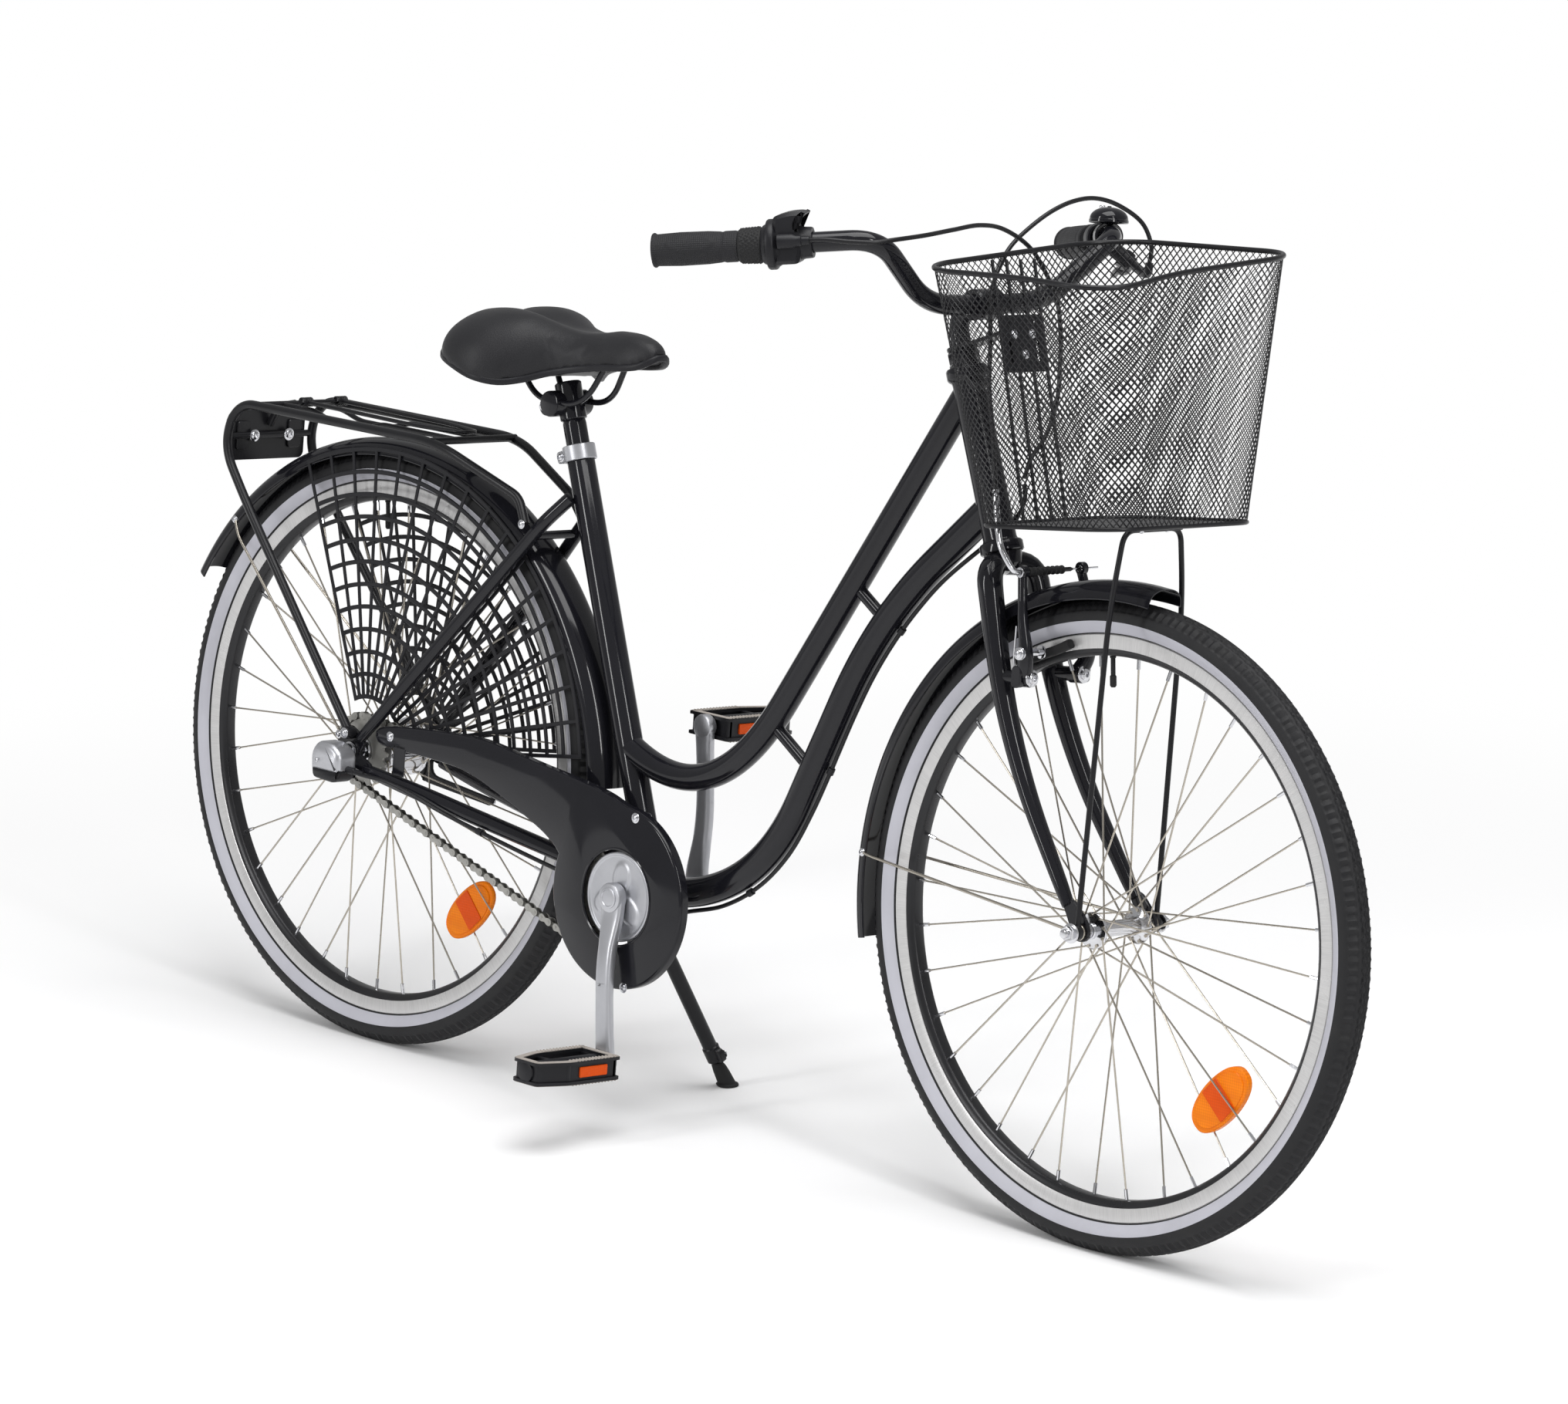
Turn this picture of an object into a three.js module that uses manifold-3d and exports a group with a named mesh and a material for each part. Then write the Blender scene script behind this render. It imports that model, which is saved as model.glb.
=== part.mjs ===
// A step-through city bicycle leaning on its side stand, with a front basket, a rear rack,
// a chain guard and three-speed hub. Units are millimetres.
// Every piece is drawn on the upright bicycle: X forward, Y to the rider's left, Z up, with the
// rear tyre standing at the origin. The whole bicycle then leans to its left, on to the stand.
import * as THREE from "three";
import { mergeVertices } from "three/addons/utils/BufferGeometryUtils.js";
import Module from "manifold-3d";

const wasm = await Module();
wasm.setup();

const radians = THREE.MathUtils.degToRad;
const point = (x, y, z) => new THREE.Vector3(x, y, z);

// ---------------------------------------------------------------- driving dimensions

const GAP = 0.3;
const LEAN = radians(6);

const WHEELBASE = 1160;
const WHEEL_SIDES = 32;
const TYRE = { radius: 351, section: 20, wall: 2.5, bead: radians(144) };
const RIM = { edge: 314.4, shoulder: 299, well: 291, half: 12.4, wellHalf: 7, sheet: 1.5 };
const SPOKES = { count: 36, radius: 1.1, side: 1.8, crossing: radians(60) };
const AXLE = { radius: 5, bore: 5.4, nut: 9 };
const FRONT_HUB = { barrel: 9, flange: 20, flangeAt: 35, sheet: 3, end: 42 };
const REAR_HUB = { drum: 29, flange: 34, flangeAt: 29.5, sheet: 3, cover: 25, driver: 16, end: 50 };
const FORK_END = { inner: 50.5, sheet: 5 };
const DROPOUT = { inner: 59.5, sheet: 5 };
const REFLECTOR = { reach: 228, long: 94, wide: 48 };
const FRONT_REFLECTOR = { thick: 10.8, turn: radians(-42) };
const REAR_REFLECTOR = { thick: 8, turn: radians(-47) };

const HEAD_ANGLE = radians(68.5);
const HEAD_FOOT = point(952, 0, 728);
const HEAD = { radius: 18.5, bore: 13.3, length: 182, cup: 12, lowerCup: 24, upperCup: 23 };
const STEERER = { radius: 12.7, bore: 11.4, locknut: 17, locknutHeight: 19 };
const SEAT_ANGLE = radians(70);
const SEAT_TUBE = { radius: 16, bore: 14, length: 517 };
const SEAT_POST = { radius: 13.6, bore: 12.1, inside: 157, out: 33, neck: 11, neckLength: 42 };
const SEAT_CLAMP = { sheet: 2.4, height: 24, rise: 3 };
const BRACKET = point(459, 0, 260);
const SHELL = { radius: 20, half: 34, bore: 9.1 };
const UPPER_TUBE = { radius: 15.5, bore: 13.9 };
const LOWER_TUBE = { radius: 17, bore: 15.3 };
const BRACE_RADIUS = 7;
const BRACES = [
  { at: 0.62, length: 42 },
  { at: 1.07, length: 52 },
];
const CHAIN_STAY = 9.5;
const SEAT_STAY = 8;
const BLADE = 11;

const CRANK = { length: 185, turn: radians(7), boss: 17, eye: 14, face: 60, bossDepth: 14 };
const CRANK_EYE = { inner: 76, depth: 12 };
const SPINDLE = { radius: 6, bore: 6.5, length: 108 };
const PEDAL = { half: 32, tip: 20, straight: 78, length: 118, thick: 26 };
const CRANK_AXLE = { radius: 8.5, half: 66 };
const CHAIN_LINE = 45;
const CHAIN = { width: 7, half: 4, pitch: 12.7 };
const TEETH = { front: 42, rear: 20 };
const SPROCKET_SHEET = 3;
const TOOTH_ROOT = 4.8;
const GUARD = { radius: 105, hole: 54, face: 62, depth: 12, sheet: 1.6 };

const BAR = 11;
const BAR_FIT = BAR + 2 * GAP;
const GRIP = { radius: 17, length: 93, twist: 25, left: 124 };
const STEM = { quill: 11, clamp: 17, clampHalf: 18 };
const RACK_TUBE = 5.5;
const WIRE = 3;
const CABLE = 2.5;
const FENDER = { half: 26, sheet: 1.6, depth: 20 };
const BRAKE_AXIS = point(0.993, 0, 0.116).normalize();

// ---------------------------------------------------------------- geometry helpers

// Only positions and shared vertices are kept, so that the surface is closed.
function closed(geometry) {
  geometry.deleteAttribute("normal");
  geometry.deleteAttribute("uv");
  return mergeVertices(geometry, 1e-4);
}

function solidOf(geometry) {
  return new wasm.Manifold(
    new wasm.Mesh({
      numProp: 3,
      vertProperties: new Float32Array(geometry.attributes.position.array),
      triVerts: new Uint32Array(geometry.index.array),
    }),
  );
}

function geometryOf(solid) {
  const mesh = solid.getMesh();
  return new THREE.BufferGeometry()
    .setAttribute("position", new THREE.BufferAttribute(mesh.vertProperties, 3))
    .setIndex(new THREE.BufferAttribute(mesh.triVerts, 1));
}

const join = (...parts) =>
  geometryOf(parts.map(solidOf).reduce((whole, part) => whole.add(part)));

const cut = (part, ...tools) =>
  geometryOf(tools.map(solidOf).reduce((rest, tool) => rest.subtract(tool), solidOf(part)));

// The same piece on the other side of the bicycle.
function mirrored(geometry) {
  const other = geometry.clone().scale(1, -1, 1);
  const corners = other.index.array;
  for (let i = 0; i < corners.length; i += 3) {
    [corners[i + 1], corners[i + 2]] = [corners[i + 2], corners[i + 1]];
  }
  return other;
}

// Stands a piece drawn along its own Y axis at a point, along a direction.
function stood(geometry, at, along) {
  const turn = new THREE.Quaternion().setFromUnitVectors(point(0, 1, 0), along);
  return geometry.applyMatrix4(new THREE.Matrix4().compose(at, turn, point(1, 1, 1)));
}

// A turned piece about Y. Its profile is radius and height, up the outside and down the inside.
function lathe(profile, sides) {
  const outline = profile.map(([radius, height]) => new THREE.Vector2(radius, height));
  return closed(new THREE.LatheGeometry(outline, sides, Math.PI / sides));
}

const ring = (inner, outer, bottom, top, sides = 12) =>
  lathe(
    [
      [inner, bottom],
      [outer, bottom],
      [outer, top],
      [inner, top],
      [inner, bottom],
    ],
    sides,
  );

const disc = (radius, bottom, top, sides = 12) =>
  lathe(
    [
      [0, bottom],
      [radius, bottom],
      [radius, top],
      [0, top],
    ],
    sides,
  );

// A curve that passes exactly through its stations, so that straight stretches need no steps.
class Route extends THREE.Curve {
  constructor(stations) {
    super();
    this.stations = stations;
  }
  station(u) {
    return Math.round(u * (this.stations.length - 1));
  }
  getPointAt(u) {
    return this.stations[this.station(u)].clone();
  }
  getTangentAt(u) {
    const leg = (i) => this.stations[i + 1].clone().sub(this.stations[i]).normalize();
    const last = this.stations.length - 2;
    const i = this.station(u);
    return leg(Math.max(i - 1, 0)).add(leg(Math.min(i, last))).normalize();
  }
}

// Straight legs between the points, each inner corner eased over its reach on both sides.
function eased(points, reaches, steps = 4) {
  const stations = [points[0]];
  for (let i = 1; i < points.length - 1; i++) {
    const corner = points[i];
    const near = (end) =>
      corner.clone().lerp(end, Math.min(1, reaches[i - 1] / corner.distanceTo(end)));
    const bend = new THREE.QuadraticBezierCurve3(
      near(points[i - 1]),
      corner,
      near(points[i + 1]),
    );
    stations.push(...bend.getPoints(steps));
  }
  stations.push(points.at(-1));
  return stations.filter((p, i) => i === 0 || p.distanceTo(stations[i - 1]) > 0.01);
}

function circle(radius, sides) {
  return Array.from({ length: sides }, (_, i) => {
    const angle = (2 * Math.PI * i) / sides;
    return new THREE.Vector2(radius * Math.cos(angle), radius * Math.sin(angle));
  });
}

function sweep(stations, section) {
  const settings = { steps: stations.length - 1, extrudePath: new Route(stations) };
  return closed(new THREE.ExtrudeGeometry(section, settings));
}

const rod = (stations, radius, sides = 6) =>
  sweep(stations, new THREE.Shape(circle(radius, sides)));

function pipe(stations, radius, bore, sides = 10) {
  const section = new THREE.Shape(circle(radius, sides));
  section.holes.push(new THREE.Path(circle(bore, sides - 2)));
  return sweep(stations, section);
}

// A smooth cable through points chosen by hand.
const cable = (points, steps) =>
  rod(new THREE.CatmullRomCurve3(points, false, "centripetal").getSpacedPoints(steps), CABLE, 5);

// A flat outline of X and Z, standing between two distances across the bicycle.
function upright(outline, near, far) {
  const settings = { depth: far - near, bevelEnabled: false, curveSegments: 8 };
  const plate = new THREE.ExtrudeGeometry(outline, settings);
  plate.rotateX(Math.PI / 2).translate(0, far, 0);
  return closed(plate);
}

const outlineOf = (corners) =>
  new THREE.Shape(corners.map(([x, z]) => new THREE.Vector2(x, z)));

// A section of radius and distance across, turned about the Y axis between two angles.
function arched(section, from, to, steps) {
  const settings = { depth: 1, steps, bevelEnabled: false };
  const geometry = new THREE.ExtrudeGeometry(outlineOf(section), settings);
  const { position } = geometry.attributes;
  for (let i = 0; i < position.count; i++) {
    const angle = THREE.MathUtils.lerp(from, to, position.getZ(i));
    const radius = position.getX(i);
    position.setXYZ(i, radius * Math.cos(angle), position.getY(i), radius * Math.sin(angle));
  }
  return closed(geometry);
}

// A closed skin over rings of points, each ring anticlockwise from above, the ends capped.
function skin(rings) {
  const size = rings[0].length;
  const centre = (loop) => loop.reduce((sum, p) => sum.add(p), point(0, 0, 0)).divideScalar(size);
  const vertices = [...rings.flat(), centre(rings[0]), centre(rings.at(-1))];
  const [low, high] = [vertices.length - 2, vertices.length - 1];
  const faces = [];
  for (let i = 0; i < size; i++) {
    const j = (i + 1) % size;
    rings.slice(1).forEach((_, level) => {
      const [a, b] = [level * size, (level + 1) * size];
      faces.push(a + i, a + j, b + j, a + i, b + j, b + i);
    });
    const top = (rings.length - 1) * size;
    faces.push(low, j, i, high, top + i, top + j);
  }
  return new THREE.BufferGeometry().setFromPoints(vertices).setIndex(faces);
}

const box = (x, y, z) => closed(new THREE.BoxGeometry(x, y, z));

// ---------------------------------------------------------------- places on the bicycle

const steeringUp = point(-Math.cos(HEAD_ANGLE), 0, Math.sin(HEAD_ANGLE));
const seatUp = point(-Math.cos(SEAT_ANGLE), 0, Math.sin(SEAT_ANGLE));
const onHead = (s) => HEAD_FOOT.clone().addScaledVector(steeringUp, s);
const onSeat = (s) => BRACKET.clone().addScaledVector(seatUp, s);
const HEAD_TOP = HEAD.cup + HEAD.length;
const rearAxle = point(0, 0, TYRE.radius);
const frontAxle = point(WHEELBASE, 0, TYRE.radius);

const headCore = () => rod([onHead(-60), onHead(HEAD_TOP + 60)], HEAD.radius + 2 * GAP, 16);
const seatCore = () =>
  rod([onSeat(-30), onSeat(SEAT_TUBE.length + 60)], SEAT_TUBE.radius + 2 * GAP, 16);
const shellCore = () => disc(SHELL.radius + 2 * GAP, -80, 80, 16).translate(...BRACKET);

// ---------------------------------------------------------------- frame

function headTube() {
  const tube = lathe(
    [
      [HEAD.bore, -4],
      [HEAD.lowerCup, -4],
      [HEAD.lowerCup, HEAD.cup - 4],
      [HEAD.radius, HEAD.cup - 4],
      [HEAD.radius, HEAD_TOP - 4],
      [HEAD.upperCup, HEAD_TOP - 4],
      [HEAD.upperCup, HEAD_TOP + HEAD.cup - 4],
      [HEAD.bore, HEAD_TOP + HEAD.cup - 4],
      [HEAD.bore, -4],
    ],
    16,
  );
  return stood(tube, HEAD_FOOT, steeringUp);
}

const upperPath = eased(
  [point(888, 0, 897), point(542, 0, 352), point(402, 0, 419.5)],
  [188],
  6,
);
const lowerPath = eased(
  [point(931, 0, 770), point(778, 0, 625), point(627, 0, 292), BRACKET],
  [110, 125],
  4,
);

function upperTube() {
  const tube = pipe(upperPath, UPPER_TUBE.radius, UPPER_TUBE.bore);
  return cut(tube, headCore(), seatCore());
}

// Two braces stand on the lower tube, and end at the upper one's surface.
function lowerTube() {
  const upper = new THREE.LineCurve3(upperPath[0], upperPath[1]);
  const down = upper.getTangent(0);
  const across = point(-down.z, 0, down.x);
  const braces = BRACES.map(({ at, length }) => {
    const foot = upper.getPoint(at).addScaledVector(across, UPPER_TUBE.radius + GAP);
    return rod([foot, foot.clone().addScaledVector(across, length)], BRACE_RADIUS);
  });
  const tube = pipe(lowerPath, LOWER_TUBE.radius, LOWER_TUBE.bore);
  return join(cut(tube, headCore(), shellCore(), seatCore()), ...braces);
}

function seatTube() {
  const tube = pipe(
    [onSeat(0), onSeat(SEAT_TUBE.length)],
    SEAT_TUBE.radius,
    SEAT_TUBE.bore,
    16,
  );
  return cut(tube, shellCore());
}

const KICK = {
  pivot: point(415, 26, 221),
  axis: point(0, 0.948, 0.319).normalize(),
  lug: 12,
  pin: 4,
  head: 11,
  headLength: 20,
};

function bottomBracket() {
  const shell = ring(SHELL.bore, SHELL.radius, -SHELL.half, SHELL.half, 16).translate(...BRACKET);
  const arm = box(40, 22, 12).translate(BRACKET.x - 34, 0, BRACKET.z - 6);
  const post = box(20, 12, 44).translate(KICK.pivot.x, 5, BRACKET.z - 22);
  const lug = stood(disc(KICK.lug, -22, -2), KICK.pivot, KICK.axis);
  const pin = disc(KICK.pin, -4, KICK.headLength + GAP);
  const cap = disc(KICK.pin + 3, KICK.headLength + GAP, KICK.headLength + 3);
  const bore = disc(SHELL.bore, -SHELL.half, SHELL.half, 16).translate(...BRACKET);
  const hanger = cut(join(arm, post), bore);
  return join(
    shell,
    hanger,
    lug,
    stood(pin, KICK.pivot, KICK.axis),
    stood(cap, KICK.pivot, KICK.axis),
  );
}

const STAY_FOOT = 24;
const stayUp = point(256, 0, 293).normalize();

function dropout() {
  const plate = new THREE.Shape();
  plate.moveTo(-24, 10);
  plate.lineTo(-14, -10);
  plate.lineTo(8, -20);
  plate.lineTo(34, -24);
  plate.lineTo(36, -12);
  plate.lineTo(14, -2);
  const across = [stayUp.z, -stayUp.x];
  const end = [stayUp.x * STAY_FOOT, stayUp.z * STAY_FOOT];
  plate.lineTo(end[0] + across[0] * 9, end[1] + across[1] * 9);
  plate.lineTo(end[0] - across[0] * 9, end[1] - across[1] * 9);
  plate.lineTo(-4, 30);
  plate.lineTo(-22, 24);
  const slab = upright(plate, DROPOUT.inner, DROPOUT.inner + DROPOUT.sheet);
  const hole = disc(AXLE.bore, DROPOUT.inner - 2, DROPOUT.inner + DROPOUT.sheet + 2, 12);
  return cut(slab, hole).translate(...rearAxle);
}

function chainStay() {
  const path = eased(
    [point(455, 22, 268), point(331, 36, 287), point(24, 61, 332)],
    [50],
  );
  return join(cut(rod(path, CHAIN_STAY, 8), shellCore()), dropout());
}

const seatStayPath = () => {
  const at = (s) => {
    const across = 63 - (30 / 389) * (s - 19);
    return rearAxle.clone().addScaledVector(stayUp, s).setY(across);
  };
  return eased([at(STAY_FOOT + GAP), point(268, 33, 659), point(294, 19, 690)], [14]);
};

const seatStay = () => cut(rod(seatStayPath(), SEAT_STAY, 8), seatCore());

const BRIDGE = point(252, 0, 641);

// The left stay also carries the bridge that the rear fender hangs from.
function leftSeatStay() {
  const bridge = rod([BRIDGE.clone().setY(-50), BRIDGE.clone().setY(34)], 5);
  const otherSide = mirrored(rod(seatStayPath(), SEAT_STAY + GAP, 8));
  const beyond = box(60, 40, 60).translate(BRIDGE.x, -56, BRIDGE.z);
  return join(seatStay(), cut(bridge, otherSide, beyond));
}

function seatClamp() {
  const top = SEAT_TUBE.length + SEAT_CLAMP.rise;
  const inner = SEAT_TUBE.radius + GAP;
  const band = ring(inner, inner + SEAT_CLAMP.sheet, top - SEAT_CLAMP.height, top, 20);
  const core = disc(inner, top - SEAT_CLAMP.height - 5, top + 5, 20);
  const lug = box(16, SEAT_CLAMP.height - 8, 18).translate(
    0,
    top - SEAT_CLAMP.height / 2,
    -inner - SEAT_CLAMP.sheet - 2,
  );
  return stood(cut(join(band, lug), core), BRACKET, seatUp);
}

// ---------------------------------------------------------------- fenders and guards

// The lowest point of the fork crown's arms, along the steering axis.
const CROWN_FOOT = -28;
const REAR_FENDER = { radius: TYRE.radius + 38, x: -4, drop: 24, from: radians(6), to: radians(151) };
const FRONT_FENDER = { radius: TYRE.radius + 21, from: radians(84.9), to: radians(192) };

function fenderSkin({ radius, from, to }) {
  const { half, sheet, depth } = FENDER;
  const outer = [
    [radius - depth, half],
    [radius - 7, half - 2],
    [radius, 0],
  ];
  const inner = outer.map(([r, y]) => [r - sheet, Math.max(0, y - sheet)]);
  inner[0][0] = radius - depth;
  const flip = ([r, y]) => [r, -y];
  const section = [
    ...outer.map(flip),
    ...outer.slice(0, -1).reverse(),
    ...inner.slice(0, -1),
    inner.at(-1),
    ...inner.slice(0, -1).reverse().map(flip),
  ];
  return arched(section, from, to, 12);
}

const eyelet = (across, sheet) => ring(AXLE.bore, AXLE.nut, across, across + sheet, 10);

function frontFender() {
  const shell = fenderSkin(FRONT_FENDER).translate(...frontAxle);
  const inner = FORK_END.inner + FORK_END.sheet + GAP;
  const eye = eyelet(inner, WIRE).translate(...frontAxle);
  const rodEnd = frontAxle.clone().add(point(1 - AXLE.nut, inner + WIRE / 2, -1));
  const fromAxle = (x, y, z) => frontAxle.clone().add(point(x, y, z));
  const root = fromAxle(15 - FRONT_FENDER.radius, FENDER.half - 1, 20);
  const knee = fromAxle(32 - FRONT_FENDER.radius, FENDER.half + 4, 19);
  const bend = fromAxle(-50, inner + WIRE / 2, 3);
  const stay = rod([root, knee, bend, rodEnd], WIRE / 2);
  const crown = onHead(CROWN_FOOT - GAP);
  const spoke = crown.clone().sub(frontAxle).normalize();
  const base = frontAxle.clone().addScaledVector(spoke, FRONT_FENDER.radius - 1);
  const half = join(stay, eye);
  return join(shell, half, mirrored(half), rod([base, crown], 4));
}

function rearFender() {
  const shell = fenderSkin(REAR_FENDER).translate(
    REAR_FENDER.x,
    0,
    rearAxle.z - REAR_FENDER.drop,
  );
  const outside = DROPOUT.inner + DROPOUT.sheet + GAP;
  const eye = disc(5, outside, outside + 5, 12).translate(-17, 0, 368);
  const stay = rod(
    [point(-277, FENDER.half - 1, 584), point(-262, 32, 566), point(-17, outside + 2, 369)],
    WIRE / 2,
  );
  const spoke = BRIDGE.clone().sub(rearAxle).normalize();
  const tongue = rod(
    [364, BRIDGE.distanceTo(rearAxle) - 5 - GAP].map((r) =>
      rearAxle.clone().addScaledVector(spoke, r),
    ),
    5,
  );
  const half = join(stay, eye);
  return join(shell, half, mirrored(half), tongue);
}

const SKIRT = { inner: 62, outer: 355, nearHub: 38, sheet: 1.6, from: radians(8), to: radians(115) };

function skirtGuard() {
  const near = FENDER.half + 0.4;
  const section = [
    [SKIRT.inner, SKIRT.nearHub],
    [SKIRT.outer, near],
    [SKIRT.outer, near + SKIRT.sheet],
    [SKIRT.inner, SKIRT.nearHub + SKIRT.sheet],
  ];
  return arched(section, SKIRT.from, SKIRT.to, 12).translate(...rearAxle);
}

// The guard's outline, drawn inside its true edge by the inset.
function guardOutline(inset) {
  const { radius } = GUARD;
  const outline = new THREE.Shape();
  const edge = radius - inset;
  outline.absarc(BRACKET.x, BRACKET.z, edge, radians(162), radians(87) + 2 * Math.PI, false);
  const top = [
    [394, 380],
    [316, 389],
    [225, 400],
    [184, 400],
    [91, 393],
    [47, 386.5],
  ];
  const under = [
    [71, 364],
    [138, 363],
    [192, 359],
    [260, 339],
    [301, 324],
  ];
  top.forEach(([x, z]) => outline.lineTo(x, z - inset));
  outline.lineTo(37 + 2 * inset, 372);
  under.forEach(([x, z]) => outline.lineTo(x, z + inset));
  return outline;
}

function chainGuard() {
  const { face, depth, sheet, hole } = GUARD;
  const shell = upright(guardOutline(0), face - depth, face);
  const hollow = upright(guardOutline(sheet), face - depth - 1, face - sheet);
  const window = disc(hole, face - sheet - 1, face + 1, 24).translate(...BRACKET);
  const tab = box(20, sheet, 36).translate(81, face - sheet / 2, 352);
  const plate = SHELL.half + GAP;
  const collar = ring(CRANK_AXLE.radius + 1.5, SHELL.radius - 1, plate, plate + 2.5).translate(
    ...BRACKET,
  );
  const arms = [radians(78), radians(-77)].map((angle) => {
    const out = point(Math.cos(angle), 0, Math.sin(angle));
    const at = (r, y) => BRACKET.clone().addScaledVector(out, r).setY(y);
    return rod([at(16, plate + 3), at(98, plate + 3), at(100, face - sheet)], 3);
  });
  return mirrored(join(cut(shell, hollow, window), tab, collar, ...arms));
}

// ---------------------------------------------------------------- chain

const pitchRadius = (teeth) => (teeth * CHAIN.pitch) / (2 * Math.PI);

// The loop that a belt makes round both sprockets, the given distance outside the pitch line.
function beltOutline(Outline, outside) {
  const front = pitchRadius(TEETH.front) + outside;
  const rear = pitchRadius(TEETH.rear) + outside;
  const [dx, dz] = [BRACKET.x - rearAxle.x, BRACKET.z - rearAxle.z];
  const slope = Math.atan2(dz, dx);
  const spread = Math.acos((front - rear) / Math.hypot(dx, dz));
  const outline = new Outline();
  outline.absarc(BRACKET.x, BRACKET.z, front, slope - Math.PI + spread, slope + Math.PI - spread);
  outline.absarc(
    rearAxle.x,
    rearAxle.z,
    rear,
    slope + Math.PI - spread,
    slope + Math.PI + spread,
  );
  return outline;
}

function chain() {
  const loop = beltOutline(THREE.Shape, CHAIN.half);
  loop.holes.push(beltOutline(THREE.Path, -CHAIN.half));
  const settings = { depth: CHAIN.width, bevelEnabled: false, curveSegments: 9 };
  const band = new THREE.ExtrudeGeometry(loop, settings);
  return closed(band.rotateX(Math.PI / 2).translate(0, CHAIN.width / 2 - CHAIN_LINE, 0));
}

// ---------------------------------------------------------------- rear axle and its fittings

function axleBolt(inner, outer, end) {
  const cone = disc(AXLE.nut - 1, inner.from, inner.to, 10);
  const nut = disc(AXLE.nut, outer.from, outer.to, 6);
  const shaft = disc(AXLE.radius, 0, end, 10);
  return join(shaft, cone, nut);
}

function rearAxleSet() {
  const outside = DROPOUT.inner + DROPOUT.sheet + GAP;
  const left = axleBolt(
    { from: BRAKE_ARM.at + BRAKE_ARM.sheet + GAP, to: DROPOUT.inner - GAP },
    { from: outside, to: outside + 9 },
    80,
  );
  const right = axleBolt(
    { from: REAR_HUB.end + GAP, to: DROPOUT.inner - GAP },
    { from: outside, to: outside + 9 },
    SHIFT_BOX.near - GAP,
  );
  return join(left, mirrored(right)).translate(...rearAxle);
}

const BRAKE_ARM = { at: 53.5, sheet: 4 };
const SHIFT_BOX = { near: 76, far: 108 };

function coasterArm() {
  const outline = outlineOf([
    [-14, 8],
    [-12, -12],
    [-6, -42],
    [6, -44],
    [118, -54],
    [122, -45],
    [12, -34],
    [14, 8],
    [8, 14],
    [-8, 14],
  ]);
  const { at, sheet } = BRAKE_ARM;
  const arm = cut(upright(outline, at, at + sheet), disc(AXLE.bore, at - 1, at + sheet + 1, 12));
  return arm.translate(...rearAxle);
}

function shiftBox() {
  const outline = new THREE.Shape();
  outline.moveTo(-22, -32);
  outline.lineTo(18, -34);
  outline.lineTo(27, -24);
  outline.lineTo(27, 2);
  outline.lineTo(10, 13);
  outline.lineTo(-12, 13);
  outline.lineTo(-24, 0);
  const body = upright(outline, SHIFT_BOX.near, SHIFT_BOX.far);
  return mirrored(body).translate(...rearAxle);
}

// ---------------------------------------------------------------- rack

const RACK = { half: 66, top: 731, foot: point(2, 70.4, 373) };
const RACK_PLATE = { x: -256.5, z: 688, wide: 116, high: 60, sheet: 3 };

function rackFrame() {
  const inner = DROPOUT.inner + DROPOUT.sheet + GAP;
  const rail = rod(
    eased(
      [
        RACK.foot,
        point(-215, RACK.half, 618),
        point(-262, RACK.half, 680),
        point(-236, RACK.half, RACK.top),
        point(112, RACK.half, RACK.top),
        point(232, 41, 683),
        point(250, 46, 655),
      ],
      [40, 36, 28, 36, 12],
      2,
    ),
    RACK_TUBE,
  );
  const bolt = disc(4, inner, RACK.foot.y + 8, 8).translate(RACK.foot.x, 0, RACK.foot.z);
  const half = join(rail, bolt);
  const cross = (at, level, radius) =>
    rod([point(at, -RACK.half, level), point(at, RACK.half, level)], radius);
  const { x, z, wide, high, sheet } = RACK_PLATE;
  const plate = box(sheet, wide, high).translate(x - sheet / 2, 0, z);
  const neck = rod([point(x, 0, z + 12), point(-211, 0, RACK.top)], 5);
  const wires = [-22, 22].map((y) =>
    rod([point(-208, y, RACK.top), point(105, y, RACK.top)], WIRE),
  );
  return join(
    half,
    mirrored(half),
    cross(-208, RACK.top, WIRE + 1),
    cross(105, RACK.top, RACK_TUBE - 1),
    cross(-253, z, WIRE + 1),
    plate,
    neck,
    ...wires,
  );
}

const CLIP = { pivot: point(-160, 0, 740.2), half: 27, end: 98, radius: 2.5, coil: 6 };

// The spring clip: two coils on one pin, and a wire loop that reaches forward.
function rackClip() {
  const { pivot, half, end, radius, coil } = CLIP;
  const pin = rod([pivot.clone().setY(-half - 9), pivot.clone().setY(half + 9)], radius);
  const coils = [-half, half].map((y) =>
    rod([pivot.clone().setY(y - 8), pivot.clone().setY(y + 8)], coil),
  );
  const level = pivot.z - 1.6;
  const loop = rod(
    [
      pivot.clone().setY(-half),
      point(end - 40, -half, level),
      point(end, -12, level),
      point(end, 12, level),
      point(end - 40, half, level),
      pivot.clone().setY(half),
    ],
    radius,
  );
  return join(pin, ...coils, loop);
}

// ---------------------------------------------------------------- stand

const STAND_FOOT = point(444, 157, 16);
const STAND = { leg: 8.5, rod: 5.5, foot: 13, footHeight: 16 };

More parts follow.
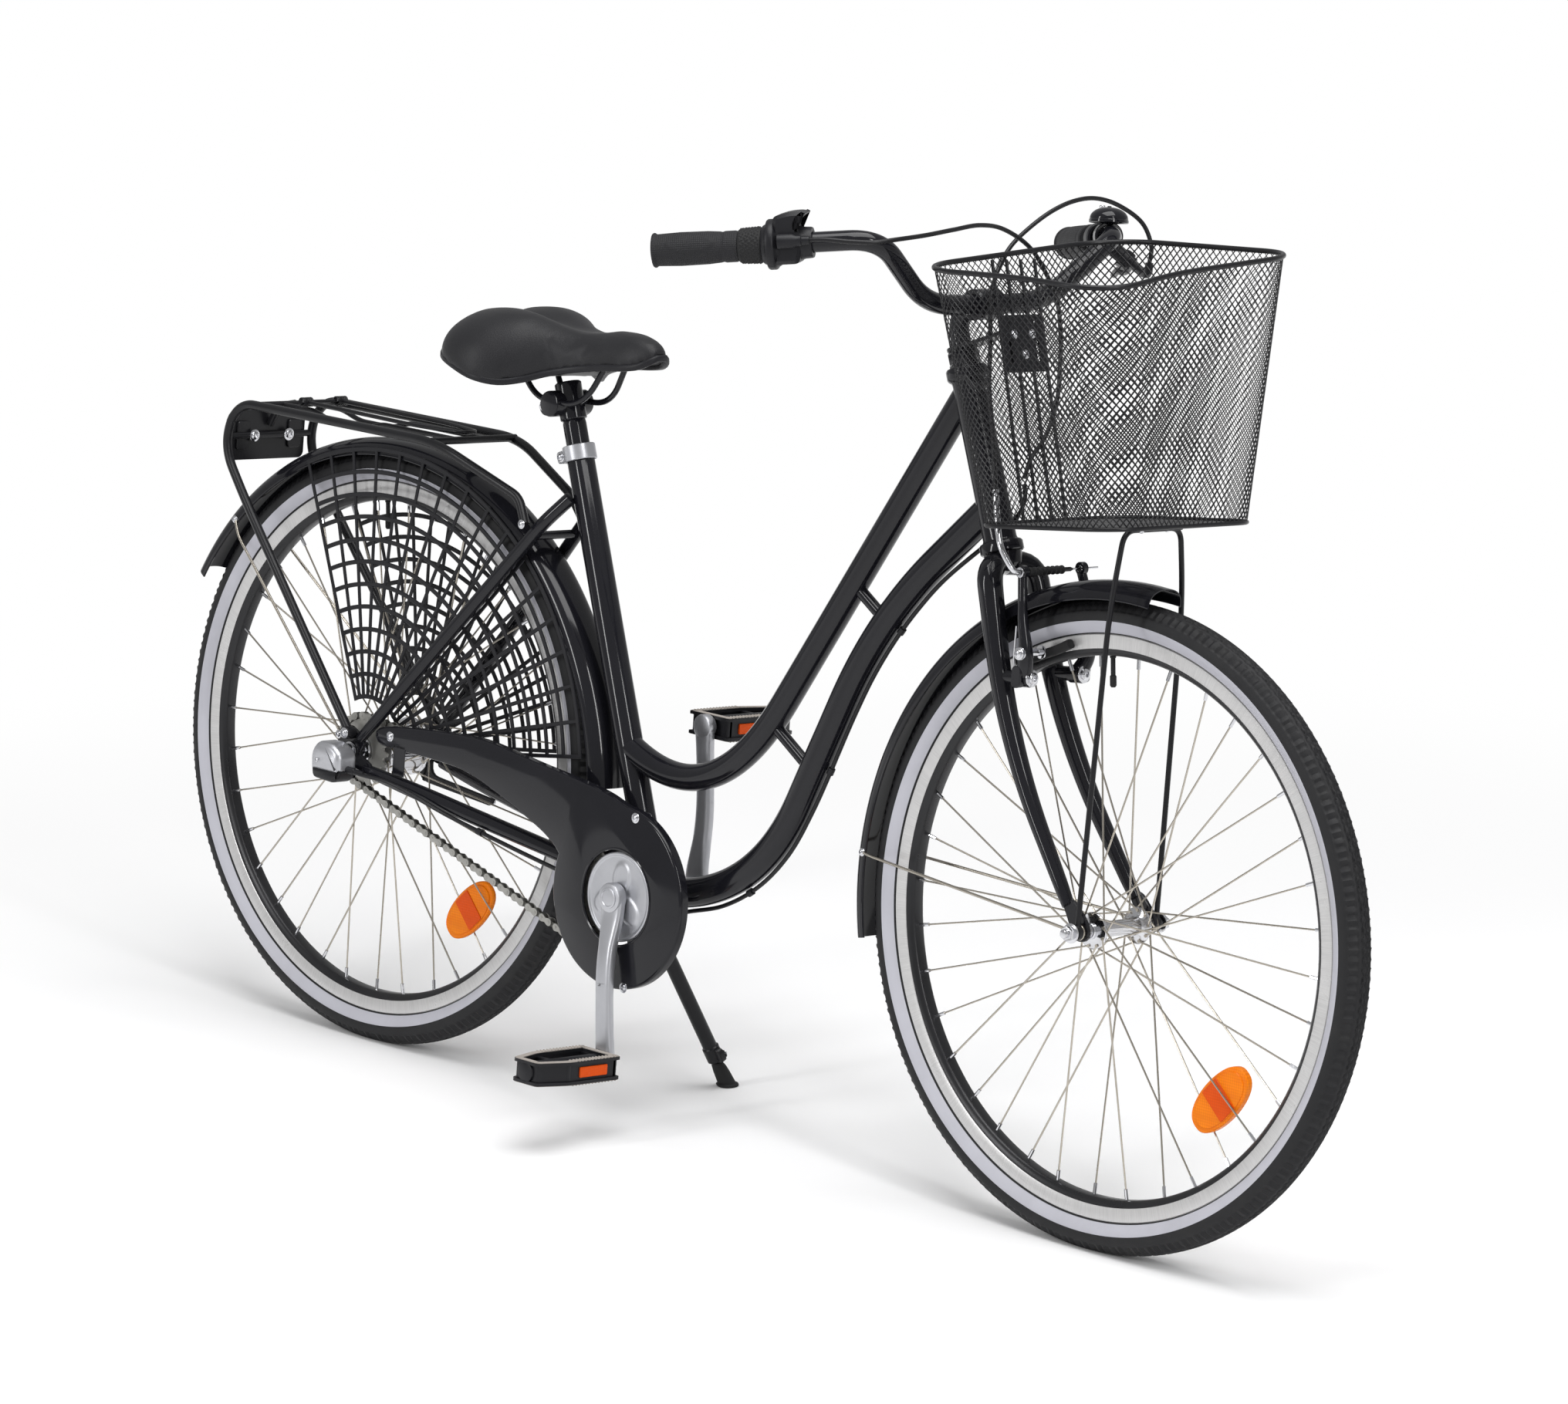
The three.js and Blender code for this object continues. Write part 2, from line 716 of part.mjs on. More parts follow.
function standLeg() {
  const { pivot, axis, pin, head, headLength } = KICK;
  const boss = stood(disc(head, 0, headLength), pivot, axis);
  const bore = stood(disc(pin + 0.5, -1, headLength + 1), pivot, axis);
  const top = pivot.clone().addScaledVector(axis, headLength / 2);
  const leg = rod([top, top.clone().lerp(STAND_FOOT, 0.82)], STAND.leg, 8);
  const lower = rod([top.clone().lerp(STAND_FOOT, 0.8), STAND_FOOT], STAND.rod);
  const down = point(0, Math.sin(LEAN), -Math.cos(LEAN));
  const sole = STAND_FOOT.clone();
  sole.addScaledVector(down, GROUND_DEPTH - sole.dot(down));
  const foot = lathe(
    [
      [0, 0],
      [STAND.foot, 0],
      [STAND.foot - 2, STAND.footHeight],
      [0, STAND.footHeight],
    ],
    12,
  );
  const shoe = stood(foot, sole, down.clone().negate());
  const floor = box(200, 40, 200);
  const under = stood(floor, sole.clone().addScaledVector(down, 18), down.clone().negate());
  return join(cut(join(cut(leg, bore), boss, lower), under, bore), shoe);
}

// ---------------------------------------------------------------- saddle

function seatPost() {
  const { radius, bore, inside, out, neck, neckLength } = SEAT_POST;
  const bottom = SEAT_TUBE.length - inside;
  const neckAt = SEAT_TUBE.length + out;
  const top = neckAt + neckLength;
  const post = lathe(
    [
      [0, neckAt - 8],
      [bore, neckAt - 8],
      [bore, bottom],
      [radius, bottom],
      [radius, neckAt],
      [neck, neckAt + 2],
      [neck, top],
      [0, top],
    ],
    16,
  );
  return stood(post, BRACKET, seatUp);
}

const RAIL = { radius: 3.5, half: 22, above: 54.5 };
// The saddle is drawn from the middle of its clamp.
const saddleClamp = onSeat(SEAT_TUBE.length + RAIL.above);
const fromClamp = (x, y, z) => saddleClamp.clone().add(point(x, y, z));

function saddleRails() {
  const rail = rod(
    eased(
      [
        fromClamp(-87, 34, 83),
        fromClamp(-37, RAIL.half, 0),
        fromClamp(43, RAIL.half, 0),
        fromClamp(87, 12, 79),
      ],
      [18, 24],
      2,
    ),
    RAIL.radius,
  );
  const clamp = disc(15, -30, 30, 12).translate(...saddleClamp);
  const neck = stood(disc(SEAT_POST.neck + 2 * GAP, -70, 70), saddleClamp, seatUp);
  const underSaddle = saddle().translate(0, 0, -GAP);
  return cut(join(rail, mirrored(rail), clamp), underSaddle, neck);
}

// Each station holds x, half width, height of the top and height of the edge, from the clamp.
const SADDLE_STATIONS = [
  [144, 8, 78, 65],
  [136, 17, 87, 58],
  [117, 24, 93, 53],
  [82, 27, 92, 48],
  [42, 34, 86, 41],
  [7, 47, 88, 32],
  [-28, 74, 93, 18],
  [-68, 98, 97, 20],
  [-108, 101, 92, 35],
  [-133, 84, 79, 41],
  [-143, 56, 65, 47],
];

function saddleRing([x, half, top, edge], inset, drop) {
  const sides = 12;
  const width = half - inset / 3;
  const crown = top - inset - edge + drop;
  return Array.from({ length: sides + 1 }, (_, i) => {
    const angle = (Math.PI * i) / sides;
    const lift = Math.sin(angle) ** 0.5;
    return fromClamp(x, width * Math.cos(angle), edge - drop + crown * lift);
  });
}

function saddle() {
  const turned = (rings) => skin(rings.map((loop) => loop.reverse()));
  const outer = turned(SADDLE_STATIONS.map((station) => saddleRing(station, 0, 0)));
  const inner = turned(SADDLE_STATIONS.slice(1, -1).map((station) => saddleRing(station, 20, 30)));
  return cut(outer, inner);
}

// ---------------------------------------------------------------- fork and front fittings

function forkPath() {
  const end = frontAxle.clone().add(point(-22, 53, 25));
  return eased(
    [point(957, 3, 714), point(967, 36, 714), point(1021, 44, 536), end],
    [22, 100],
    3,
  );
}

const BOSS = { foot: point(1002, 41, 599.5), pinFrom: 28, arm: 17, head: 7 };

function fork() {
  const sheet = FORK_END.sheet;
  const crownTop = -4 - GAP;
  const locknutFoot = HEAD_TOP + HEAD.cup - 4 + GAP;
  const locknutTop = locknutFoot + STEERER.locknutHeight;
  const steerer = lathe(
    [
      [STEERER.bore, -8],
      [STEERER.radius, -8],
      [STEERER.radius, locknutFoot],
      [STEERER.locknut, locknutFoot],
      [STEERER.locknut, locknutTop],
      [STEERER.bore, locknutTop],
      [STEERER.bore, -8],
    ],
    16,
  );
  const crown = disc(STEERER.radius + 7, crownTop - 16, crownTop, 16);
  const blade = rod(forkPath(), BLADE, 8);
  const end = upright(
    outlineOf([
      [-32, 31],
      [-10, -2],
      [0, -11],
      [12, 0],
      [0, 13],
      [-14, 31],
    ]),
    FORK_END.inner,
    FORK_END.inner + sheet,
  ).translate(...frontAxle);
  const hole = disc(
    AXLE.bore,
    FORK_END.inner - 2,
    FORK_END.inner + sheet + 2,
    12,
  ).translate(...frontAxle);
  const onBoss = (s) => BOSS.foot.clone().addScaledVector(BRAKE_AXIS, s);
  const boss = rod([onBoss(0), onBoss(BOSS.pinFrom)], 8);
  const pin = rod([onBoss(0), onBoss(BOSS.pinFrom + BOSS.arm + 2 * GAP)], 4);
  const bolt = rod(
    [onBoss(BOSS.pinFrom + BOSS.arm + 2 * GAP), onBoss(BOSS.pinFrom + BOSS.arm + 6)],
    BOSS.head,
  );
  const half = cut(join(blade, end, boss, pin, bolt), hole);
  return join(
    stood(steerer, HEAD_FOOT, steeringUp),
    stood(crown, HEAD_FOOT, steeringUp),
    half,
    mirrored(half),
  );
}

const CALIPER = { top: point(1028, 46, 717), ring: 7, bore: 3.6 };

// One brake arm: a hub on its boss, the lever up to the cable, and the pad at the rim.
function brakeArm() {
  const onBoss = (s) => BOSS.foot.clone().addScaledVector(BRAKE_AXIS, s);
  const hub = rod([onBoss(BOSS.pinFrom + GAP), onBoss(BOSS.pinFrom + BOSS.arm + GAP)], 9.5, 10);
  const hole = rod([onBoss(BOSS.pinFrom - 5), onBoss(BOSS.pinFrom + BOSS.arm + 5)], 4.5, 8);
  const centre = onBoss(BOSS.pinFrom + BOSS.arm / 2);
  const lever = rod(
    [
      centre.clone().add(point(0, 4, 6)),
      point(1043, 50, 638),
      point(1036, 50, 685),
      CALIPER.top.clone().add(point(0, 0, -5)),
    ],
    5,
  );
  const { ring: outer, bore } = CALIPER;
  const eye = disc(outer, -4, 4, 10).translate(...CALIPER.top);
  const wire = disc(bore, -9, 9, 8).translate(...CALIPER.top);
  const pad = rod([point(1010, 0, 612), point(1083, 0, 643)], 5).translate(-3, 19.2, 4);
  const stud = rod([point(1044, 19, 632), point(1044, 60, 632)], 4);
  return cut(join(hub, lever, eye, pad, stud), hole, wire);
}

function frontAxleSet() {
  const outside = FORK_END.inner + FORK_END.sheet + 3 * WIRE + 3 * GAP;
  const side = axleBolt(
    { from: FRONT_HUB.end + GAP, to: FORK_END.inner - GAP },
    { from: outside, to: outside + 9 },
    80,
  );
  return join(side, mirrored(side)).translate(...frontAxle);
}

// ---------------------------------------------------------------- handlebar

const BAR_END = point(716, 325, 1028);
const BAR_BEND = point(913, 185, 1062);
const barInward = BAR_BEND.clone().sub(BAR_END).normalize();
const onBar = (s) => BAR_END.clone().addScaledVector(barInward, s);
const BAR_CENTRE = point(897.5, 0, 987);

function handlebar() {
  const level = BAR_CENTRE.clone().setY(STEM.clampHalf + 8);
  const half = [onBar(2 + GAP), BAR_BEND, point(898, 92, 988), level, BAR_CENTRE];
  const left = eased(half, [28, 36, 4], 2);
  const right = left.map((p) => point(p.x, -p.y, p.z)).reverse();
  return pipe([...left, ...right.slice(1)], BAR, BAR - 2, 8);
}

function grip(length) {
  const profile = lathe(
    [
      [0, 2],
      [BAR_FIT, 2],
      [BAR_FIT, length],
      [GRIP.radius, length],
      [GRIP.radius, 2],
      [GRIP.radius - 2, -1],
      [0, -1],
    ].reverse(),
    16,
  );
  return stood(profile, BAR_END, barInward);
}

function twistGrip() {
  const from = GRIP.length + GAP;
  const sleeve = ring(BAR_FIT, GRIP.radius, from, from + GRIP.twist, 16);
  return mirrored(stood(sleeve, BAR_END, barInward));
}

const SHIFTER = { flange: 23, body: 19, length: 54 };
const SHIFTER_CABLE_EXIT = point(868, 245, 1056);

function shifterHousing() {
  const from = GRIP.length + GRIP.twist + 2 * GAP;
  const { flange, body, length } = SHIFTER;
  const shell = lathe(
    [
      [BAR_FIT, from],
      [GRIP.radius, from],
      [flange, from + 14],
      [flange, from + 24],
      [body, from + 30],
      [body, from + length],
      [BAR_FIT, from + length],
      [BAR_FIT, from],
    ],
    12,
  );
  const core = stood(disc(BAR_FIT, from - 5, from + length + 5), BAR_END, barInward);
  const exit = SHIFTER_CABLE_EXIT.clone().addScaledVector(barInward, -GAP);
  const spout = rod([exit.clone().addScaledVector(barInward, -30), exit], 6);
  return mirrored(cut(join(stood(shell, BAR_END, barInward), spout), core));
}

const leverSide = point(0.573, 0.819, 0);
const leverUp = new THREE.Vector3().crossVectors(barInward, leverSide).normalize();
const leverOut = leverSide
  .clone()
  .multiplyScalar(Math.cos(radians(38)))
  .addScaledVector(leverUp, -Math.sin(radians(38)))
  .normalize();
const LEVER = { at: 158, pivot: 36, blade: 112, out: 50 };
const onLever = (s, out) => onBar(s).addScaledVector(leverOut, out);
const leverAxis = new THREE.Vector3().crossVectors(barInward, leverOut).normalize();

// The perch is clamped on the bar and holds the lever's pin between its cheeks.
function leverMount() {
  const band = stood(ring(BAR_FIT, BAR + 6, LEVER.at - 9, LEVER.at + 9), BAR_END, barInward);
  const core = stood(disc(BAR_FIT, LEVER.at - 30, LEVER.at + 40), BAR_END, barInward);
  const neck = rod([onLever(LEVER.at + 6, 8), onLever(LEVER.at + 14, 46)], 8);
  const [cableEnd, next] = points(BRAKE_CABLE);
  const run = next.sub(cableEnd).normalize();
  const beforeCable = (s) => cableEnd.clone().addScaledVector(run, -s);
  const barrel = rod([onLever(LEVER.at + 12, 42), beforeCable(12), beforeCable(GAP)], 5);
  const pinAt = onLever(LEVER.at - 4, LEVER.pivot);
  const along = (s) => pinAt.clone().addScaledVector(leverAxis, s);
  const pin = rod([along(-9), along(9)], 3);
  const cheeks = [-8.6, 8.6].map((s) => {
    const root = onLever(LEVER.at + 12, LEVER.pivot).addScaledVector(leverAxis, s);
    return rod([root, along(s)], 2);
  });
  return cut(join(band, neck, barrel, pin, ...cheeks), core);
}

function brakeLever() {
  const pinAt = onLever(LEVER.at - 4, LEVER.pivot);
  const along = (s) => pinAt.clone().addScaledVector(leverAxis, s);
  const hub = rod([along(-6.2), along(6.2)], 6, 10);
  const hole = rod([along(-8), along(8)], 3.5, 10);
  const blade = rod(
    [
      pinAt,
      onLever(LEVER.at - 30, LEVER.out + 2),
      onLever(LEVER.at - 70, LEVER.out),
      onLever(LEVER.at - LEVER.blade, LEVER.out + 6),
    ],
    4,
  );
  return cut(join(hub, blade), hole);
}

function stem() {
  const quillFoot = onHead(90);
  const neckPath = eased([quillFoot, onHead(262), BAR_CENTRE], [24]);
  const neck = rod(neckPath, STEM.quill, 12);
  const clamp = disc(STEM.clamp, -STEM.clampHalf, STEM.clampHalf).translate(...BAR_CENTRE);
  const core = disc(BAR_FIT, -40, 40).translate(...BAR_CENTRE);
  return cut(join(neck, clamp), core);
}

const BELL = { at: 200, dome: 22, base: 4 };

function bell() {
  const band = stood(ring(BAR_FIT, BAR + 5, BELL.at - 6, BELL.at + 6), BAR_END, barInward);
  const core = stood(disc(BAR_FIT, BELL.at - 20, BELL.at + 20), BAR_END, barInward);
  const dome = lathe(
    [
      [0, 0],
      [6, 0],
      [BELL.dome, BELL.base],
      [BELL.dome, BELL.base + 4],
      [BELL.dome * 0.86, BELL.base + 10],
      [BELL.dome * 0.5, BELL.base + 15],
      [0, BELL.base + 16],
    ],
    12,
  );
  const foot = onBar(BELL.at).addScaledVector(leverUp, BAR + 1);
  return cut(join(band, stood(dome, foot, leverUp)), core);
}

function bellLever() {
  const radius = 2.5;
  const foot = onBar(BELL.at - BELL.dome - radius - GAP).addScaledVector(leverUp, BAR + 4 * GAP);
  const knee = foot.clone().addScaledVector(leverUp, 12);
  const tip = knee.clone().addScaledVector(leverUp, 10).addScaledVector(barInward, -12);
  return rod([foot, knee, tip], radius);
}

// ---------------------------------------------------------------- basket

const BASKET = {
  floor: { rear: 1010, front: 1218, half: 118, rearCorner: 45, frontCorner: 45 },
  rim: { rear: 930, front: 1210, half: 159, rearCorner: 70, frontCorner: 60 },
  wall: 1,
  edge: 6,
  lip: 2.5,
};
const floorLevel = (x) => 766 + 0.12 * (x - BASKET.floor.rear);
const rimLevel = (x, y) => 1046 + 0.061 * (x - BASKET.rim.rear) + 0.085 * y;

// One ring of the basket wall, from the floor at 0 to the rim at 1, drawn outside by the offset.
function basketRing(height, offset, lift) {
  const mix = (key) => THREE.MathUtils.lerp(BASKET.floor[key], BASKET.rim[key], height);
  const half = mix("half") + offset;
  const [rear, front] = [mix("rear") - offset, mix("front") + offset];
  const corner = (x, y, radius, start) =>
    Array.from({ length: 5 }, (_, i) => {
      const angle = start + (i * Math.PI) / 8;
      const px = x + radius * Math.cos(angle);
      const py = y + radius * Math.sin(angle);
      const z = THREE.MathUtils.lerp(floorLevel(px), rimLevel(px, py), height);
      return point(px, py, z + lift);
    });
  const r = mix("rearCorner") + offset;
  const f = mix("frontCorner") + offset;
  return [
    ...corner(front - f, half - f, f, 0),
    ...corner(rear + r, half - r, r, Math.PI / 2),
    ...corner(rear + r, r - half, r, Math.PI),
    ...corner(front - f, f - half, f, 1.5 * Math.PI),
  ];
}

const basketRear = (z) => {
  const { floor, rim } = BASKET;
  const share = (z - floorLevel(floor.rear)) / (rimLevel(rim.rear, 0) - floorLevel(floor.rear));
  return THREE.MathUtils.lerp(floor.rear, rim.rear, share);
};
const rearWallUp = point(basketRear(1000) - basketRear(900), 0, 100).normalize();
const wallPlate = (width, height, sheet, level, out) => {
  const plate = box(sheet, height, width);
  const across = new THREE.Matrix4().makeRotationX(Math.PI / 2);
  plate.applyMatrix4(across);
  const tilt = Math.atan2(rearWallUp.x, rearWallUp.z);
  plate.rotateY(tilt);
  return plate.translate(
    basketRear(level) - (out + sheet / 2) * rearWallUp.z,
    0,
    level + (out + sheet / 2) * rearWallUp.x,
  );
};
const PLATE = { width: 70, height: 62, sheet: 4.5, level: 952 };

function basket() {
  const { wall, edge, lip } = BASKET;
  const shell = skin([
    basketRing(0, 0, 0),
    basketRing(1, 0, -edge),
    basketRing(1, lip, -edge),
    basketRing(1, lip, 0),
    basketRing(1, -wall, 0),
    basketRing(0, -wall, wall),
  ]);
  const plate = wallPlate(PLATE.width, PLATE.height, PLATE.sheet, PLATE.level, -1);
  return join(shell, plate);
}

// From a collar on the headset locknut to the plate behind the basket.
function basketBracket() {
  const level = HEAD_TOP + HEAD.cup - 4 + STEERER.locknutHeight + 2 * GAP;
  const collar = stood(ring(STEM.quill + GAP, 17, level, level + 4), HEAD_FOOT, steeringUp);
  const core = stood(disc(STEM.quill + GAP, level - 20, level + 20), HEAD_FOOT, steeringUp);
  const back = wallPlate(44, 50, 3, PLATE.level, PLATE.sheet - 1 + GAP);
  const forward = point(steeringUp.z, 0, -steeringUp.x);
  const [low, high] = [onHead(level), onHead(level + 4)];
  const ends = [high, low].map((p) => p.clone().addScaledVector(forward, 83));
  const arm = upright(outlineOf([low, high, ...ends].map(({ x, z }) => [x, z])), -12, 12);
  return cut(join(collar, back, arm), core);
}

function basketStay() {
  const inner = FORK_END.inner + FORK_END.sheet + WIRE + 2 * GAP;
  const eye = eyelet(inner, 2 * WIRE).translate(...frontAxle);
  const top = 1166;
  const level = floorLevel(top) - WIRE - GAP;
  const foot = frontAxle.clone().add(point(2, inner + WIRE, AXLE.nut - 2));
  const leg = [point(top, 0, level), point(top, 44, level), point(top, 57, 700), foot];
  const half = join(rod(eased(leg, [14, 40], 2), WIRE), eye);
  return join(half, mirrored(half));
}

// ---------------------------------------------------------------- cables

const BRAKE_CABLE = [
  [930, 223, 1033],
  [933, 221, 1050],
  [926, 212, 1075],
  [915, 181, 1095],
  [909, 150, 1102],
  [906, 120, 1099],
  [904, 88, 1088],
  [902, 55, 1069],
  [903, 28, 1050],
  [907, 8, 1028],
  [915, -8, 1006],
  [924, -18, 985],
  [936, -27, 948],
  [946, -34, 905],
  [962, -40, 858],
  [980, -50, 811],
  [1003, -63, 757],
  [1012, -67, 743],
  [1021, -65, 729],
  [1027, -60, 719],
  [1028, -54, 717],
  [1028, -20, 717],
  [1028, 20, 717],
  [1028, 70, 717],
];
const SHIFT_CABLE_FRONT = [
  [868, -245, 1056],
  [880, -237, 1058],
  [900, -219, 1058],
  [918, -199, 1059],
  [927, -171, 1063],
  [928, -131, 1067],
  [926, -88, 1072],
  [922, -43, 1076],
  [918, -2, 1071],
  [918, 43, 1050],
  [919, 71, 1021],
  [921, 89, 992],
  [926, 93, 959],
  [932, 90, 925],
  [940, 81, 885],
  [944, 63, 848],
  [944, 42, 823],
  [945, 34, 803],
];
const SHIFT_CABLE_DOWN = [
  [945.8, 33.5, 797],
  [949, 33, 786],
  [947, 32, 771],
  [937, 29, 754],
  [922, 20, 736],
];
const SHIFT_CABLE_BACK = [
  [470, -8, 233],
  [425, -24, 243],
  [380, -38, 262],
  [342, -46, 270],
  [174, -60, 302],
  [88, -82, 329],
  [50, -90, 332],
  [27.4, -92, 334],
];

const points = (list) => list.map(([x, y, z]) => point(x, y, z));

// The rear shift cable is clipped below the lower tube, a little away from it.
function underLowerTube() {
  const reach = LOWER_TUBE.radius + CABLE + CABLE;
  return lowerPath.slice(1, -1).map((station, i) => {
    const run = lowerPath[i + 2].clone().sub(lowerPath[i]).normalize();
    return station.clone().add(point(-run.z * reach, 0, run.x * reach));
  });
}

const shiftCableRear = () =>
  cable([...points(SHIFT_CABLE_DOWN), ...underLowerTube(), ...points(SHIFT_CABLE_BACK)], 44);

// ---------------------------------------------------------------- wheels

function tyre() {
  const { radius, section, wall, bead } = TYRE;
  const at = (r, angle) => [radius - section + r * Math.cos(angle), r * Math.sin(angle)];
  const spread = (count) => Array.from({ length: count }, (_, i) => (2 * i) / (count - 1) - 1);
  const outer = spread(7).map((share) => at(section, bead * share));
  const inner = spread(5).map((share) => at(section - wall, -bead * share));
  return lathe([...outer, ...inner, outer[0]], WHEEL_SIDES);
}

function rim() {
  const { edge, shoulder, well, half, wellHalf, sheet } = RIM;
  const right = [
    [well, -wellHalf],
    [shoulder, -half],
    [edge, -half],
    [edge, sheet - half],
    [shoulder + sheet, sheet - half],
    [well + sheet, sheet - wellHalf],
  ];
  const left = right.map(([r, y]) => [r, -y]).reverse();
  return lathe([...right, ...left, right[0]], WHEEL_SIDES);
}

// Laced three-cross: each spoke leaves the hub well round from where it meets the rim.
function spokes(flange, across) {
  const reach = RIM.well * Math.cos(Math.PI / WHEEL_SIDES) - 0.5;
  return Array.from({ length: SPOKES.count }, (_, i) => {
    const side = i % 2 ? 1 : -1;
    const lead = i % 4 < 2 ? 1 : -1;
    const rimAngle = (2 * Math.PI * i) / SPOKES.count;
    const hubAngle = rimAngle + lead * SPOKES.crossing;
    const at = (r, y, angle) => point(r * Math.cos(angle), y, r * Math.sin(angle));
    const head = side * (across + lead * SPOKES.side);
    const ends = [at(flange - 3, head, hubAngle), at(reach, side * 2, rimAngle)];
    return rod(ends, SPOKES.radius, 3);
  });
}

function frontHub() {
  const { barrel, flange, flangeAt, sheet, end } = FRONT_HUB;
  const half = sheet / 2;
  const right = [
    [AXLE.bore, -end],
    [barrel, -end],
    [barrel, -flangeAt - half],
    [flange, -flangeAt - half],
    [flange, half - flangeAt],
    [barrel, half - flangeAt],
  ];
  const left = right.map(([r, y]) => [r, -y]).reverse();
  const body = lathe([...right, ...left, right[0]], 16);
  return join(body, ...spokes(flange, flangeAt));
}

function rearHub() {
  const { drum, flange, flangeAt, sheet, cover, driver, end } = REAR_HUB;
  const [near, far] = [flangeAt - sheet / 2, flangeAt + sheet / 2];
  const body = lathe(
    [
      [AXLE.bore, -end],
      [driver, -end],
      [driver, -far],
      [flange, -far],
      [flange, -near],
      [drum, -near],
      [drum, near],
      [flange, near],
      [flange, far],
      [cover, far],
      [cover, end],
      [AXLE.bore, end],
      [AXLE.bore, -end],
    ],
    20,
  );
  return join(body, ...spokes(flange, flangeAt));
}

function wheelReflector(thick) {
  const { long, wide } = REFLECTOR;
  const oval = disc(1, -thick / 2, thick / 2, 20).scale(wide / 2, 1, long / 2);
  return closed(oval);
}

// ---------------------------------------------------------------- crankset

function chainring() {
  const near = CHAIN_LINE - SPROCKET_SHEET / 2;
  const far = near + SPROCKET_SHEET;
  const teeth = pitchRadius(TEETH.front) - TOOTH_ROOT;
  const bore = CRANK_AXLE.radius + GAP;
  const cover = GUARD.hole - 3;
  const plate = lathe(
    [
      [bore, near],
      [teeth, near],
      [teeth, far],
      [24, far],
      [24, 56],
      [cover, 56],
      [cover, 58],
      [20, 58],
      [20, CRANK.face - GAP],
      [bore, CRANK.face - GAP],
      [bore, near],
    ],
    24,
  );
  return mirrored(plate);
}

function rearSprocket() {
  const near = CHAIN_LINE - SPROCKET_SHEET / 2;
  const teeth = pitchRadius(TEETH.rear) - TOOTH_ROOT;
  const inner = REAR_HUB.driver + 0.5;
  return mirrored(ring(inner, teeth, near, near + SPROCKET_SHEET, 20));
}

// The left arm, upright; the right one is its mirror image turned to hang down.
function crankArm() {
  const { length, boss, eye, face, bossDepth } = CRANK;
  const { inner, depth } = CRANK_EYE;
  const side = outlineOf([
    [face, -12],
    [face + bossDepth - 2, -12],
    [face + bossDepth - 2, 14],
    [inner + depth, 70],
    [inner + depth, length + 6],
    [inner, length + 6],
    [inner, 74],
    [face, 20],
  ]);
  const beam = new THREE.ExtrudeGeometry(side, { depth: 22, bevelEnabled: false });
  beam.applyMatrix4(new THREE.Matrix4().makeBasis(point(0, 1, 0), point(0, 0, 1), point(1, 0, 0)));
  const hub = disc(boss, face, face + bossDepth, 20);
  const end = disc(eye, inner, inner + depth, 16).translate(0, 0, length);
  const spindle = disc(SPINDLE.radius, inner + 1, inner + depth + SPINDLE.length, 12);
  const bore = disc(CRANK_AXLE.radius + GAP, face - 2, CRANK_AXLE.half + GAP, 16);
  const arm = join(closed(beam.translate(-11, 0, 0)), hub, end, spindle.translate(0, 0, length));
  return cut(arm, bore);
}

function pedal() {
  const { half, tip, straight, length, thick } = PEDAL;
  const plan = outlineOf([
    [-half, 0],
    [half, 0],
    [half, straight],
    [tip, length],
    [-tip, length],
    [-half, straight],
  ]);
  const body = closed(new THREE.ExtrudeGeometry(plan, { depth: thick, bevelEnabled: false }));
  const bore = disc(SPINDLE.bore, -1, SPINDLE.length + 1, 12);
  return cut(body.translate(0, 0, -thick / 2), bore);
}

// ---------------------------------------------------------------- where it stands

// How far the leaning tyre reaches below the point where its tread meets the upright ground.
function leaningDepth() {
  const { radius, section, bead } = TYRE;
  const facet = Math.cos(Math.PI / WHEEL_SIDES);
  const reaches = [-1, -2 / 3, -1 / 3, 0, 1 / 3, 2 / 3, 1].map((share) => {
    const r = radius - section + section * Math.cos(bead * share);
    const y = section * Math.sin(bead * share);
    return r * facet * Math.cos(LEAN) + y * Math.sin(LEAN);
  });
  return Math.max(...reaches) - radius * Math.cos(LEAN);
}
const GROUND_DEPTH = leaningDepth();

// ---------------------------------------------------------------- assembly

const FINISHES = {
  enamel: { color: 0x1b1b1f, roughness: 0.25, metalness: 0.1 },
  satinBlack: { color: 0x232326, roughness: 0.5, metalness: 0.2 },
  steel: { color: 0xb4b5b8, roughness: 0.35, metalness: 0.9 },
  aluminium: { color: 0xa9aaad, roughness: 0.4, metalness: 0.85 },
  chrome: { color: 0xd0d2d6, roughness: 0.12, metalness: 1 },
  rubber: { color: 0x1d1d1e, roughness: 0.85, metalness: 0 },
  vinyl: { color: 0x202021, roughness: 0.6, metalness: 0 },
  plastic: { color: 0x1c1c1e, roughness: 0.55, metalness: 0 },
  amber: { color: 0xd9731a, roughness: 0.3, metalness: 0 },
};

function add(group, name, geometry, finish) {
  const mesh = new THREE.Mesh(geometry, new THREE.MeshStandardMaterial(FINISHES[finish]));
  mesh.name = name;
  group.add(mesh);
  return mesh;
}

function place(parent, position) {
  const group = new THREE.Group();
  group.position.copy(position);
  parent.add(group);
  return group;
}

